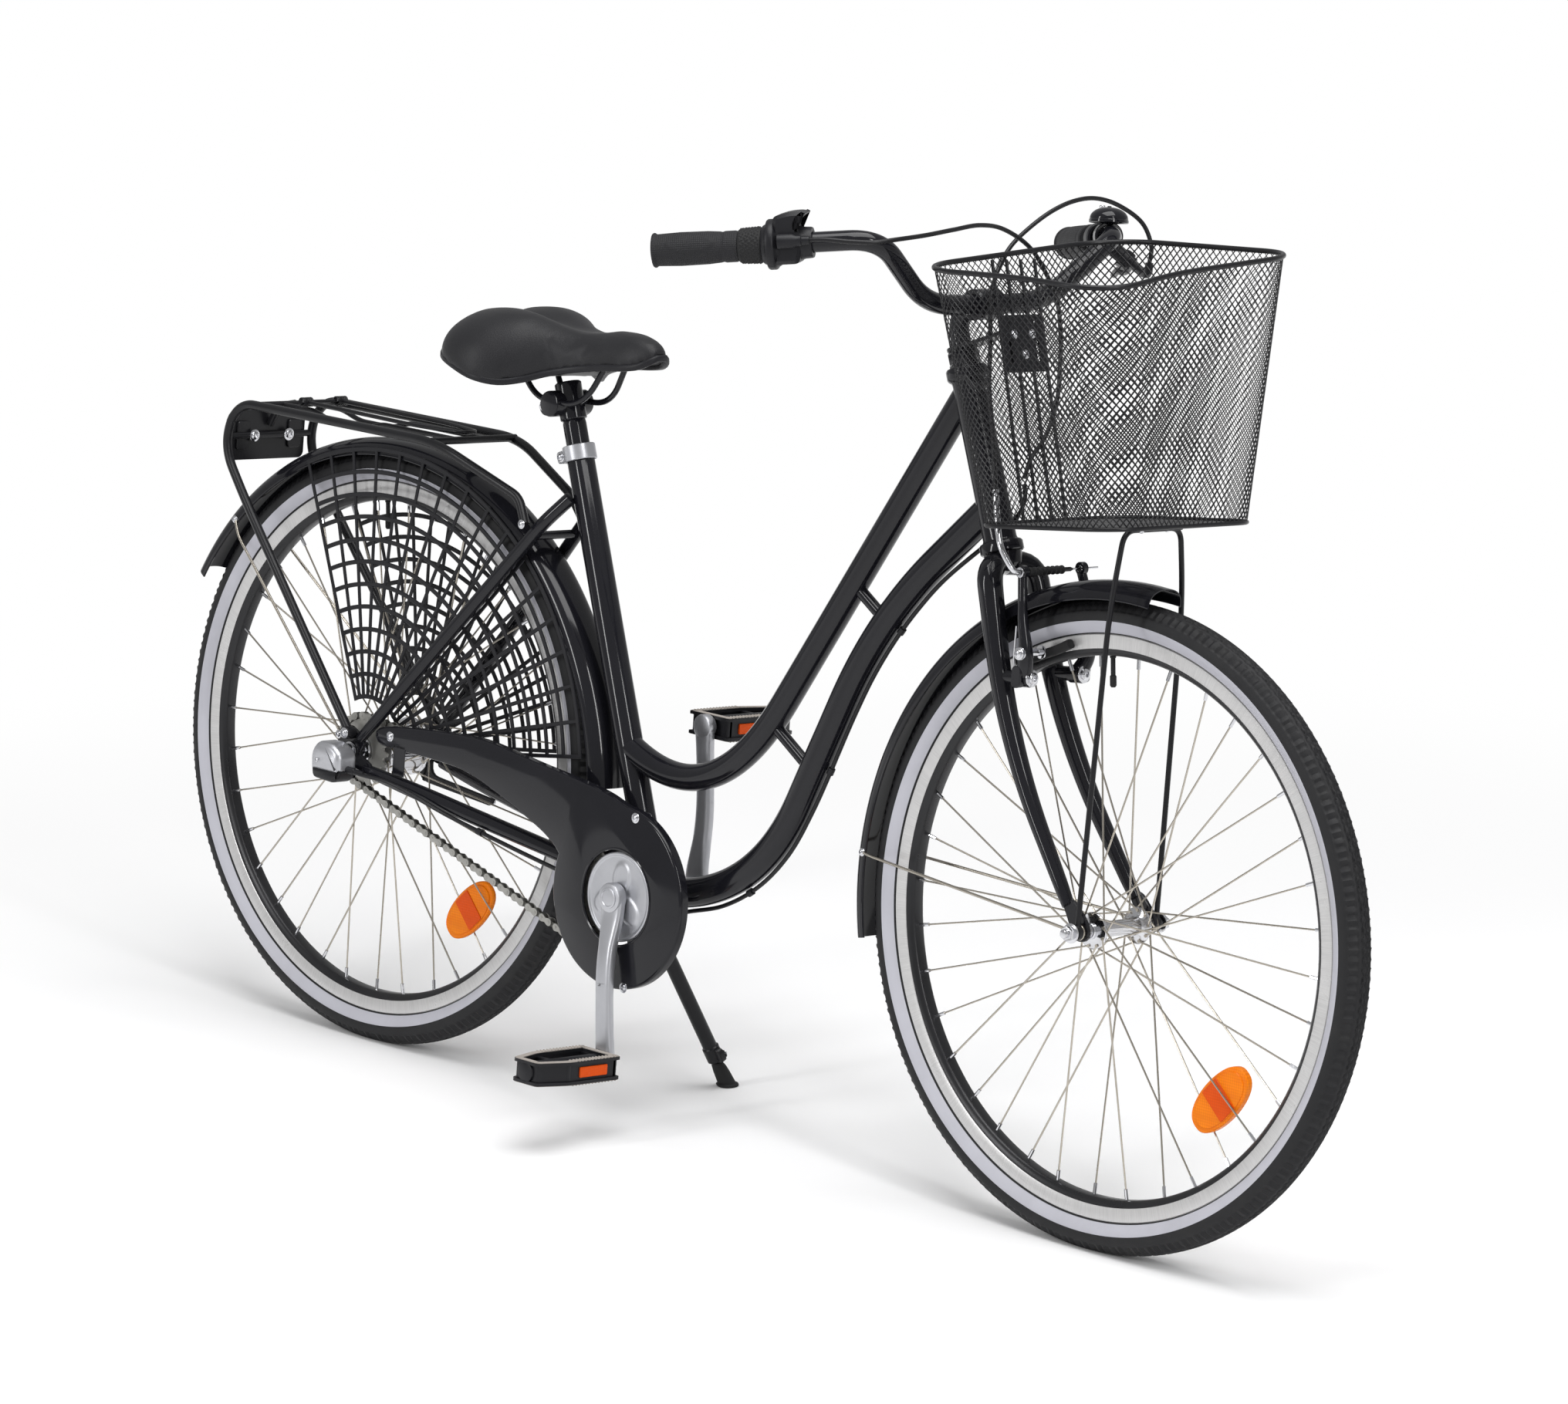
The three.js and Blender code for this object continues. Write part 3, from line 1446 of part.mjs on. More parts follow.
function addFrame(bike) {
  add(bike, "head_tube", headTube(), "enamel");
  add(bike, "upper_tube", upperTube(), "enamel");
  add(bike, "lower_tube", lowerTube(), "enamel");
  add(bike, "seat_tube", seatTube(), "enamel");
  add(bike, "bottom_bracket_shell", bottomBracket(), "enamel");
  add(bike, "left_chain_stay", chainStay(), "enamel");
  add(bike, "right_chain_stay", mirrored(chainStay()), "enamel");
  add(bike, "left_seat_stay", leftSeatStay(), "enamel");
  add(bike, "right_seat_stay", mirrored(seatStay()), "enamel");
  add(bike, "seat_clamp", seatClamp(), "aluminium");
  add(bike, "rear_fender", rearFender(), "enamel");
  add(bike, "left_skirt_guard", skirtGuard(), "satinBlack");
  add(bike, "right_skirt_guard", mirrored(skirtGuard()), "satinBlack");
  add(bike, "chain_guard", chainGuard(), "satinBlack");
  add(bike, "chain", chain(), "steel");
  add(bike, "rear_axle", rearAxleSet(), "steel");
  add(bike, "shift_box", shiftBox(), "plastic");
  add(bike, "coaster_arm", coasterArm(), "satinBlack");
  add(bike, "rack_frame", rackFrame(), "satinBlack");
  add(bike, "rack_clip", rackClip(), "satinBlack");
  add(bike, "stand_leg", standLeg(), "enamel");
  add(bike, "shift_cable_rear", shiftCableRear(), "plastic");
}

function addSeat(bike) {
  add(bike, "seat_post", seatPost(), "steel");
  add(bike, "saddle_rails", saddleRails(), "steel");
  add(bike, "saddle", saddle(), "vinyl");
}

function addSteering(bike) {
  add(bike, "fork", fork(), "enamel");
  add(bike, "front_fender", frontFender(), "enamel");
  add(bike, "left_brake_arm", brakeArm(), "steel");
  add(bike, "right_brake_arm", mirrored(brakeArm()), "steel");
  add(bike, "front_axle", frontAxleSet(), "steel");
  add(bike, "stem", stem(), "aluminium");
  add(bike, "handlebar", handlebar(), "satinBlack");
  add(bike, "left_grip", grip(GRIP.left), "rubber");
  add(bike, "right_grip", mirrored(grip(GRIP.length)), "rubber");
  add(bike, "twist_grip", twistGrip(), "rubber");
  add(bike, "shifter_housing", shifterHousing(), "plastic");
  add(bike, "brake_lever_mount", leverMount(), "satinBlack");
  add(bike, "brake_lever", brakeLever(), "satinBlack");
  add(bike, "bell", bell(), "satinBlack");
  add(bike, "bell_lever", bellLever(), "plastic");
  add(bike, "basket", basket(), "satinBlack");
  add(bike, "basket_bracket", basketBracket(), "satinBlack");
  add(bike, "basket_stay", basketStay(), "satinBlack");
  add(bike, "front_brake_cable", cable(points(BRAKE_CABLE), 44), "plastic");
  add(bike, "shift_cable_front", cable(points(SHIFT_CABLE_FRONT), 30), "plastic");
}

function addWheel(bike, end, axle, hub, { thick, turn }) {
  const wheel = place(bike, axle);
  add(wheel, end + "_hub", hub, "aluminium");
  add(wheel, end + "_rim", rim(), "aluminium");
  add(wheel, end + "_tyre", tyre(), "rubber");
  const reflector = add(wheel, end + "_reflector", wheelReflector(thick), "amber");
  const { reach } = REFLECTOR;
  reflector.position.set(reach * Math.cos(turn), 0, reach * Math.sin(turn));
  reflector.rotation.y = -turn;
  return wheel;
}

function addCrankset(bike) {
  const crankset = place(bike, BRACKET);
  crankset.rotation.y = -CRANK.turn;
  const axle = disc(CRANK_AXLE.radius, -CRANK_AXLE.half, CRANK_AXLE.half, 16);
  add(crankset, "crank_axle", axle, "steel");
  add(crankset, "chainring", chainring(), "steel");
  const start = CRANK_EYE.inner + CRANK_EYE.depth + GAP;
  add(crankset, "left_crank", crankArm(), "aluminium");
  const hanging = mirrored(crankArm()).rotateY(Math.PI);
  add(crankset, "right_crank", hanging, "aluminium");
  const left = place(crankset, point(0, start, CRANK.length));
  const right = place(crankset, point(0, -start, -CRANK.length));
  add(left, "left_pedal", pedal(), "plastic");
  add(right, "right_pedal", mirrored(pedal()), "plastic");
  left.rotation.y = CRANK.turn;
  right.rotation.y = CRANK.turn;
}

function bicycle() {
  const bike = new THREE.Group();
  bike.rotation.x = -LEAN;
  addFrame(bike);
  addSeat(bike);
  addSteering(bike);
  addWheel(bike, "front", frontAxle, frontHub(), FRONT_REFLECTOR);
  const rear = addWheel(bike, "rear", rearAxle, rearHub(), REAR_REFLECTOR);
  add(rear, "rear_sprocket", rearSprocket(), "steel");
  addCrankset(bike);
  return bike;
}

// The part's own frame has its origin on the ground, under the middle of its outline.
const root = new THREE.Group();
const bike = bicycle();
root.add(bike);
root.updateMatrixWorld(true);
const bounds = new THREE.Box3().setFromObject(root, true);
const middle = bounds.getCenter(new THREE.Vector3());
bike.position.set(-middle.x, -middle.y, -bounds.min.z);

export default root;
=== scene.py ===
"""The looks of a step-through city bicycle on its side stand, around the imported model.

Every piece is drawn on the upright bicycle in millimetres: X forward, Y to the rider's left,
Z up, the rear tyre over the origin. leaned() then tips it on to the stand and turns it to metres.
"""

from math import cos, pi, radians, sin, tau
from typing import NamedTuple

import bmesh
import bpy
import numpy as np
from mathutils import Matrix, Vector


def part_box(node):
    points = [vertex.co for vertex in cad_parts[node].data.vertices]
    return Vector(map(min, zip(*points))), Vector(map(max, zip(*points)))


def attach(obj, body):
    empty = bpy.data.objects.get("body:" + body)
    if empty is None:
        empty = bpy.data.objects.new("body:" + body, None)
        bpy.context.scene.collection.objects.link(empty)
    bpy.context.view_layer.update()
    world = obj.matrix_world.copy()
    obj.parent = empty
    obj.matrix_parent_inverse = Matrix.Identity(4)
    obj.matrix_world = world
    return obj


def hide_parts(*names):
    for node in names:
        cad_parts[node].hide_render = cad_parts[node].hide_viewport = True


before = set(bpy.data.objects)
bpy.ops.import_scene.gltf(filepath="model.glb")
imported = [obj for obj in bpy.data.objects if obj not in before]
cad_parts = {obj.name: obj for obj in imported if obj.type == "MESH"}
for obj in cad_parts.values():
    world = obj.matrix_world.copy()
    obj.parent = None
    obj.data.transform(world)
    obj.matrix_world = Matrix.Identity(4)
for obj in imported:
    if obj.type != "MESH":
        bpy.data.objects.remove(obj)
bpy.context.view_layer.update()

# ---------------------------------------------------------------- driving dimensions, mm

X, Y, Z = np.eye(3)
LEAN = radians(6)
WHEELBASE = 1160
# Tyres and rims: radii from the axle, and half widths.
TYRE = {"radius": 351, "section": 20}
TREAD = {"pitches": 210, "depth": 1.9}
VALVE_TURN = radians(97)
RIM = {"edge": 314.4, "shoulder": 299, "well": 291, "half": 12.4}
# Spokes: "side" is how far each lies off its flange, "crossing" how far it leads round the hub.
SPOKES = {"count": 36, "radius": 1.05, "side": 1.8, "crossing": radians(60)}
FRONT_HUB = {"flange": 20, "flange_at": 35}
REAR_HUB = {"flange": 34, "flange_at": 29.5}
REFLECTOR = {"reach": 228, "long": 94, "wide": 48}
# Axle plates: their inner faces' distance from the middle, and their thickness.
DROPOUT = {"inner": 59.5, "sheet": 5}
FORK_END = {"inner": 50.5, "sheet": 5}
HEAD_ANGLE, SEAT_ANGLE = radians(68.5), radians(70)
# The head tube's foot and length, and the seat tube's length up from the bracket.
HEAD_FOOT = np.array([952.0, 0, 728])
HEAD_TOP = 194
SEAT_TUBE = 517
SADDLE_RISE = 54.5
BRACKET = np.array([459.0, 0, 260])
# The chain guard's round end, its window, and its face's distance from the middle.
GUARD = {"radius": 105, "hole": 54, "face": 62, "depth": 12}
CHAIN_LINE = 45
PITCH = 12.7
TEETH = {"front": 42, "rear": 20}
# A link's plates: radius of their ends, half of their waist, and distance from the chain's middle.
LINK = {"round": 4.5, "waist": 2.6, "sheet": 1.1, "outer": 3.5, "inner": 2.2}
RIVET = {"radius": 1.6, "half": 4.4}
ROLLER = {"radius": 3.4, "half": 1.8}
CRANK = {"length": 185, "turn": radians(7), "face": 88.3}
# Fenders: the sheet's half width and depth, and the arc of its crown.
FENDER = {"half": 26, "depth": 20, "sheet": 1.3}
REAR_FENDER = {"centre": (-4, 0, 327), "radius": 389, "from": radians(6), "to": radians(151)}
FRONT_FENDER = {"centre": (WHEELBASE, 0, TYRE["radius"]), "radius": 372, "from": radians(84.9),
                "to": radians(192)}
SKIRT = {"inner": 62, "outer": 355, "near_hub": 38, "from": radians(8), "to": radians(115),
         "rings": 12, "bars": 17}
# The basket's floor and brim, seen from above.
FLOOR = {"rear": 1010, "front": 1218, "half": 118, "rear_corner": 45, "front_corner": 45}
BRIM = {"rear": 930, "front": 1210, "half": 159, "rear_corner": 70, "front_corner": 60}
FLOOR_LEVEL, FLOOR_CLIMB = 766, 0.12
# A cable's radius.
CABLE = 2.5

REAR_AXLE = np.array([0.0, 0, TYRE["radius"]])
FRONT_AXLE = np.array([WHEELBASE, 0.0, TYRE["radius"]])
STEERING_UP = np.array([-cos(HEAD_ANGLE), 0, sin(HEAD_ANGLE)])
SEAT_UP = np.array([-cos(SEAT_ANGLE), 0, sin(SEAT_ANGLE)])
PER_MM = 1000.0
tyre_low, tyre_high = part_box("rear_tyre")
AXLE_PLACE = np.array((tyre_low + tyre_high) / 2)

# ---------------------------------------------------------------- shapes from arrays


class Shape(NamedTuple):
    """Points, blocks of faces with equally many corners, and each corner's run in mm."""

    points: np.ndarray
    faces: list
    runs: list


def unit(v):
    """A direction: the vector over its own length."""
    return v / np.linalg.norm(v, axis=-1, keepdims=True)


def leaned(points):
    """Bicycle mm to frame metres: turned by the lean about X, then moved with the rear axle."""
    lean = np.array([[1, 0, 0], [0, cos(LEAN), sin(LEAN)], [0, -sin(LEAN), cos(LEAN)]])
    return (np.asarray(points) @ lean.T - lean @ REAR_AXLE) / PER_MM + AXLE_PLACE


def surface(points, along=False, capped=True):
    """Quads over a grid [shape, station, corner]; rings are closed, and stations if along is set.

    A corner's run is the mean distance walked to it over the stations, and round the ring.
    """
    points = np.asarray(points, float)
    points = points[None] if points.ndim == 3 else points
    count, rows, ring, _ = points.shape
    i = np.arange(rows if along else rows - 1)[None, :, None]
    j = np.arange(ring)[None, None, :]
    base = np.arange(count)[:, None, None] * rows * ring

    def corner(di, dj):
        return base + (i + di) % rows * ring + (j + dj) % ring

    quads = np.stack([corner(0, 0), corner(0, 1), corner(1, 1), corner(1, 0)], -1)
    whole = np.pad(points, ((0, 0), (0, int(along)), (0, 1), (0, 0)), mode="wrap")
    steps = np.linalg.norm(np.diff(whole, axis=1), axis=-1).mean(axis=2, keepdims=True)
    turns = np.linalg.norm(np.diff(whole, axis=2), axis=-1).mean(axis=1, keepdims=True)
    u = np.pad(np.cumsum(steps, axis=1), ((0, 0), (1, 0), (0, 0)))
    v = np.pad(np.cumsum(turns, axis=2), ((0, 0), (0, 0), (1, 0)))
    run = np.stack(np.broadcast_arrays(u, v), -1)
    here, after = slice(None, -1), slice(1, None)
    pairs = ((here, here), (here, after), (after, after), (after, here))
    runs = [np.stack([run[:, a, b] for a, b in pairs], -2).reshape(-1, 4, 2)]
    faces = [quads.reshape(-1, 4)]
    if capped and not along:
        first = (base[:, 0] + np.arange(ring))[:, ::-1]
        last = base[:, 0] + (rows - 1) * ring + np.arange(ring)
        faces.append(np.concatenate([first, last]))
        runs.append(np.concatenate([run[:, 0, :-1][:, ::-1], run[:, -1, :-1]]))
    return Shape(points.reshape(-1, 3), faces, runs)


def joined(*shapes):
    """Several shapes as one: each one's corner numbers start after the points before it."""
    starts = np.cumsum([0] + [len(s.points) for s in shapes[:-1]])
    faces = [block + start for s, start in zip(shapes, starts) for block in s.faces]
    runs = [block for s in shapes for block in s.runs]
    return Shape(np.concatenate([s.points for s in shapes]), faces, runs)


def moved(shape, offset):
    """The same shape with every point moved by the offset."""
    return Shape(shape.points + np.asarray(offset, float), shape.faces, shape.runs)


def other_side(shape):
    """The mirror image across the wheels' plane: y becomes -y."""
    return Shape(shape.points * [1, -1, 1], shape.faces, shape.runs)


def both(shape):
    """A shape and its mirror image."""
    return joined(shape, other_side(shape))


SIDES = (("left", 1, lambda shape: shape), ("right", -1, other_side))


def circle(radius, sides, squash=1.0):
    """A section: radius * (cos, squash * sin) of equal steps of a turn."""
    angle = np.arange(sides) * tau / sides
    return np.stack([radius * np.cos(angle), squash * radius * np.sin(angle)], -1)


def rounded_box(wide, thick, radius, steps=3):
    """A rectangle's outline whose corners are quarter circles of the radius."""
    angle = np.linspace(0, pi / 2, steps + 1) + np.arange(4)[:, None] * pi / 2
    signs = np.array([[1, 1], [-1, 1], [-1, -1], [1, -1]])
    corner = signs * [wide / 2 - radius, thick / 2 - radius]
    return (corner[:, None] + radius * np.stack([np.cos(angle), np.sin(angle)], -1)).reshape(-1, 2)


def powered(value, power):
    """A superellipse's coordinate: the sign of the value times its size to the power."""
    return np.sign(value) * np.abs(value) ** power


def untwisted(path):
    """Directions square to a path: each is the one before it, less its part along the path."""
    tangent = unit(np.gradient(path, axis=0))
    start = np.cross(tangent[0], Y if abs(tangent[0][1]) < 0.9 else X)
    above = [unit(start)]
    for direction in tangent[1:]:
        above.append(unit(above[-1] - (above[-1] @ direction) * direction))
    return np.array(above)


def carried(paths, section, up, scale=1.0, along=False):
    """A section carried along paths: point = path + across * section x + above * section y.

    across is square to the path and to up, and above is square to the path and to across.
    """
    paths = np.asarray(paths, float)
    paths = paths[None] if paths.ndim == 2 else paths
    if along:
        tangent = unit(np.roll(paths, -1, axis=1) - np.roll(paths, 1, axis=1))
    else:
        tangent = unit(np.gradient(paths, axis=1))
    across = unit(np.cross(tangent, up))[:, :, None]
    above = np.cross(across, tangent[:, :, None])
    scale = np.asarray(scale, float)
    scale = scale[:, None] if scale.ndim else scale
    section = np.asarray(section, float) * scale
    a, b = section[..., 0:1], section[..., 1:2]
    return surface(paths[:, :, None] + across * a + above * b, along=along)


def tube(path, radius, sides=16):
    """A round tube: a circle of the radius, or of one radius for each station, on the path."""
    path = np.asarray(path, float)
    radius = np.broadcast_to(radius, len(path)).astype(float)
    return carried(path, circle(1, sides), untwisted(path), radius[:, None])


def rods(starts, ends, radius, sides=6):
    """Straight rods from each start to each end."""
    paths = np.stack([starts, ends], 1)
    run = unit(paths[:, 1] - paths[:, 0])
    up = np.where(np.abs(run[:, 2:3]) < 0.9, Z, X)[:, None]
    return carried(paths, circle(radius, sides), up)


def turned(profile, foot, axis, sides=48):
    """A profile of radius and height turned about an axis through foot.

    point = foot + axis * height + radius * (side * cos + other * sin). A profile that ends where
    it starts is closed on itself.
    """
    profile = np.asarray(profile, float)
    ringed = np.allclose(profile[0], profile[-1])
    radius, height = (profile[:-1] if ringed else profile).T[:, :, None, None]
    axis = unit(np.asarray(axis, float))
    side = unit(np.cross(axis, Y if abs(axis[1]) < 0.9 else X))
    angle = (np.arange(sides) * tau / sides)[:, None]
    spoke = np.cos(angle) * side + np.sin(angle) * np.cross(axis, side)
    return surface(np.asarray(foot) + height * axis + radius * spoke, along=ringed)


def knob(radius, low_end, high_end, foot, axis, edge=1.0, sides=32):
    """A turned disc whose rims are rounded by the edge."""
    b, t, e, chamfer = low_end, high_end, edge, 0.3 * edge
    profile = [(0, b), (radius - e, b), (radius - chamfer, b + chamfer), (radius, b + e),
               (radius, t - e), (radius - chamfer, t - chamfer), (radius - e, t), (0, t)]
    return turned(profile, foot, axis, sides)


def band(inner, outer, low_end, high_end, foot, axis, edge=0.6, sides=48):
    """A turned ring of a rectangular section whose four corners are cut by the edge."""
    i, o, b, t, e = inner, outer, low_end, high_end, edge
    profile = [(i + e, b), (o - e, b), (o, b + e), (o, t - e), (o - e, t), (i + e, t), (i, t - e),
               (i, b + e), (i + e, b)]
    return turned(profile, foot, axis, sides)


def inset(outline, distance):
    """A flat outline moved inwards: each corner goes along the mean of its two edges' normals."""
    outline = np.asarray(outline, float)
    edge = unit(np.roll(outline, -1, axis=0) - outline)
    x, y = outline.T
    area = np.sum(x * np.roll(y, -1) - y * np.roll(x, -1))
    inward = np.stack([-edge[:, 1], edge[:, 0]], -1) * np.sign(area)
    before = np.roll(inward, 1, axis=0)
    share = np.maximum(1 + np.sum(inward * before, axis=1, keepdims=True), 0.4)
    return outline + distance * (inward + before) / share


UPRIGHT = ((0, 0, 0), X, Z, Y)


def raised(rings, heights, at=UPRIGHT):
    """Flat rings at their heights over a plane.

    point = origin + first axis * a + second axis * b + third axis * height.
    """
    origin, first, second, third = (np.asarray(v, float) for v in at)
    flat, height = np.array(rings, float), np.array(heights, float)[:, None, None]
    return origin + flat[..., 0:1] * first + flat[..., 1:2] * second + height * third


def slab(outline, near, far, bevel=0.8, at=UPRIGHT):
    """A plate of a flat outline between two heights, its edges cut by the bevel."""
    small = inset(outline, bevel)
    heights = [near, near + bevel, far - bevel, far]
    return surface(raised([small, outline, outline, small], heights, at))


def holed(outer, inner, near, far, at=UPRIGHT):
    """A plate between two outlines of equally many corners, closed round its hole."""
    return surface(raised([outer, outer, inner, inner], [near, far, far, near], at), along=True)


def eased(points, reaches, steps=10):
    """Straight legs whose corners are quadratic curves that start the reach before each corner."""
    points = np.asarray(points, float)
    parts = [points[:1]]
    share = np.linspace(0, 1, steps + 1)[:, None]
    for corner, before, after, reach in zip(points[1:-1], points, points[2:], reaches):
        a = corner + (before - corner) * min(1, reach / np.linalg.norm(before - corner))
        c = corner + (after - corner) * min(1, reach / np.linalg.norm(after - corner))
        parts.append((1 - share) ** 2 * a + 2 * share * (1 - share) * corner + share**2 * c)
    parts.append(points[-1:])
    path = np.concatenate(parts)
    apart = np.linalg.norm(np.diff(path, axis=0), axis=1) > 0.01
    return path[np.concatenate([[True], apart])]


def eased_outline(corners, reaches, steps=4):
    """A closed flat outline: every corner but the first is eased by its reach."""
    return eased([*corners, corners[0]], reaches, steps)[:-1]


def even(path, count):
    """The same line in equal steps: each coordinate read off at equal shares of its length."""
    walked = np.concatenate([[0], np.cumsum(np.linalg.norm(np.diff(path, axis=0), axis=1))])
    at = np.linspace(0, walked[-1], count)
    return np.stack([np.interp(at, walked, axis) for axis in np.asarray(path, float).T], -1)


def smooth(points, count):
    """A centripetal Catmull-Rom curve through the points, in equal steps."""
    p = np.asarray(points, float)
    p = np.concatenate([2 * p[:1] - p[1:2], p, 2 * p[-1:] - p[-2:-1]])
    p0, p1, p2, p3 = p[:-3], p[1:-2], p[2:-1], p[3:]
    d0, d1, d2 = (np.sqrt(np.linalg.norm(b - a, axis=1, keepdims=True))
                  for a, b in ((p0, p1), (p1, p2), (p2, p3)))
    m1 = ((p1 - p0) / d0 - (p2 - p0) / (d0 + d1) + (p2 - p1) / d1) * d1
    m2 = ((p2 - p1) / d1 - (p3 - p1) / (d1 + d2) + (p3 - p2) / d2) * d1
    t = np.linspace(0, 1, 32, endpoint=False)[:, None, None]
    curve = (2 * t**3 - 3 * t**2 + 1) * p1 + (t**3 - 2 * t**2 + t) * m1
    curve = curve + (3 * t**2 - 2 * t**3) * p2 + (t**3 - t**2) * m2
    curve = curve.transpose(1, 0, 2).reshape(-1, p.shape[1])
    return even(np.concatenate([curve, p[-2:-1]]), count)


def length_of(path):
    """The sum of a line's steps."""
    return float(np.linalg.norm(np.diff(path, axis=0), axis=1).sum())


SHARP = 38.0


def shaded(mesh, sharp):
    """Smooth shading, broken where two faces meet at more than the sharp angle."""
    mesh.shade_smooth()
    mesh.set_sharp_from_angle(angle=radians(sharp))


def meshed(name, *painted, sharp=SHARP):
    """A mesh of painted shapes, its seams merged and its faces turned outwards."""
    shape = joined(*(s for s, _ in painted))
    mesh = bpy.data.meshes.new(name)
    corners = [corner for block in shape.faces for corner in block.tolist()]
    mesh.from_pydata(leaned(shape.points).tolist(), [], corners)
    mesh.uv_layers.new(name="UVMap").uv.foreach_set(
        "vector", np.concatenate([run.reshape(-1, 2) for run in shape.runs]).ravel()
    )
    paints = []
    for _, paint in painted:
        if paint not in paints:
            paints.append(paint)
            mesh.materials.append(paint)
    faces = [sum(len(block) for block in s.faces) for s, _ in painted]
    slots = np.repeat([paints.index(paint) for _, paint in painted], faces)
    mesh.polygons.foreach_set("material_index", slots)
    work = bmesh.new()
    work.from_mesh(mesh)
    bmesh.ops.remove_doubles(work, verts=work.verts, dist=1e-5)
    bmesh.ops.recalc_face_normals(work, faces=work.faces)
    work.to_mesh(mesh)
    work.free()
    shaded(mesh, sharp)
    return mesh


def piece(name, body, slot, nodes, *painted, sharp=SHARP, cuts=()):
    """A finished piece of painted shapes: its cuts are taken out, and it rides on its body."""
    made = bpy.data.objects.new(name, meshed(name, *painted, sharp=sharp))
    bpy.context.scene.collection.objects.link(made)
    for number, cutter in enumerate(cuts):
        hole = meshed(f"{name}_cut", (cutter, painted[0][1]))
        tool = bpy.data.objects.new(f"{name}_cut_{number}", hole)
        bpy.context.scene.collection.objects.link(tool)
        carve = made.modifiers.new("cut", "BOOLEAN")
        carve.object, carve.operation, carve.solver = tool, "DIFFERENCE", "EXACT"
        bpy.context.view_layer.update()
        graph = bpy.context.evaluated_depsgraph_get()
        left = bpy.data.meshes.new_from_object(made.evaluated_get(graph))
        made.modifiers.clear()
        made.data = left
        shaded(left, sharp)
        bpy.data.objects.remove(tool)
    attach(made, body)
    if nodes:
        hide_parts(*nodes)
    return made


# ---------------------------------------------------------------- finishes


def srgb(code):
    """A hex colour as linear light: c / 12.92, or ((c + 0.055) / 1.055) ** 2.4 above 0.04045."""
    c = np.array([int(code[i : i + 2], 16) for i in (1, 3, 5)]) / 255
    linear = np.where(c <= 0.04045, c / 12.92, ((c + 0.055) / 1.055) ** 2.4)
    return (*linear.tolist(), 1.0)


def node(tree, kind, inputs=None, **settings):
    """Adds a node with its settings; an input is a value, or the socket that feeds it."""
    made = tree.nodes.new("ShaderNode" + kind)
    for key, value in settings.items():
        setattr(made, key, value)
    for key, value in (inputs or {}).items():
        if isinstance(value, bpy.types.NodeSocket):
            tree.links.new(value, made.inputs[key])
        else:
            made.inputs[key].default_value = value
    return made


def noise(tree, where, scale, detail, rough=0.5):
    """Cloudy noise, with so many patches to one unit of its coordinates."""
    inputs = {"Vector": where, "Scale": scale, "Detail": detail, "Roughness": rough}
    return node(tree, "TexNoise", inputs).outputs["Fac"]


def cells(tree, place, size, **inputs):
    """The distance to the middle of the nearest cell, for cells of a size in mm."""
    inputs = {"Vector": place.outputs["Object"], "Scale": PER_MM / size, **inputs}
    return node(tree, "TexVoronoi", inputs).outputs["Distance"]


def mixed(tree, share, first, second, **settings):
    """A colour between two: first + share * (second - first)."""
    inputs = {0: share, 6: first, 7: second}
    return node(tree, "Mix", inputs, data_type="RGBA", **settings).outputs[2]


def ranged(tree, value, start=0.0, end=1.0, low=0.0, high=1.0, **settings):
    """A value held between start and end, and drawn out to low and high."""
    inputs = {"Value": value, "From Min": start, "From Max": end, "To Min": low, "To Max": high}
    return node(tree, "MapRange", inputs, **settings).outputs[0]


def bumped(tree, height, distance, **inputs):
    """A normal tilted by a height, which counts for the distance in mm."""
    inputs = {"Height": height, "Strength": 1.0, "Distance": distance / PER_MM, **inputs}
    return node(tree, "Bump", inputs).outputs["Normal"]


def maths(tree, operation, first, second=0.5):
    """One operation on one value or on two."""
    return node(tree, "Math", {0: first, 1: second}, operation=operation).outputs[0]


def finish(name, colour, rough, metal=0.0, other=None, patch=40.0, drift=0.05, grain=1.0,
           relief=0.05, pattern=None, pattern_depth=0.0, grime=None, specular=0.5, **sockets):
    """One finish of a piece: two shades and a roughness that drift over patches, and a relief.

    colour = mix(colour, other, noise of the patch size); roughness = rough +- drift with the same
    noise; height = relief mm of noise of the grain size, and the pattern's own height over it.
    Sizes are in mm. pattern gives a height from the tree and its coordinates.
    """
    material = bpy.data.materials.new(name)
    material.use_nodes = True
    tree = material.node_tree
    tree.nodes.clear()
    place = node(tree, "TexCoord")
    where = place.outputs["Object"]
    cloud = noise(tree, where, PER_MM / patch, 4.0, 0.6)
    shade = mixed(tree, cloud, srgb(colour), srgb(other or colour))
    gloss = ranged(tree, cloud, 0.3, 0.7, max(0.02, rough - drift), rough + drift)
    normal = bumped(tree, noise(tree, where, PER_MM / grain, 2.0), relief)
    if pattern:
        height, shade = pattern(tree, place, shade)
        normal = bumped(tree, height, pattern_depth, Normal=normal)
    if grime:
        amount = ranged(tree, noise(tree, where, PER_MM / (3 * patch), 6.0, 0.7), 0.5, 0.85, 0, 0.5)
        shade = mixed(tree, amount, shade, srgb(grime))
    inputs = {"Base Color": shade, "Metallic": metal, "Roughness": gloss, "Normal": normal,
              "Specular IOR Level": specular}
    coat = node(tree, "BsdfPrincipled", {**inputs, **sockets})
    node(tree, "OutputMaterial", {"Surface": coat.outputs[0]})
    return material


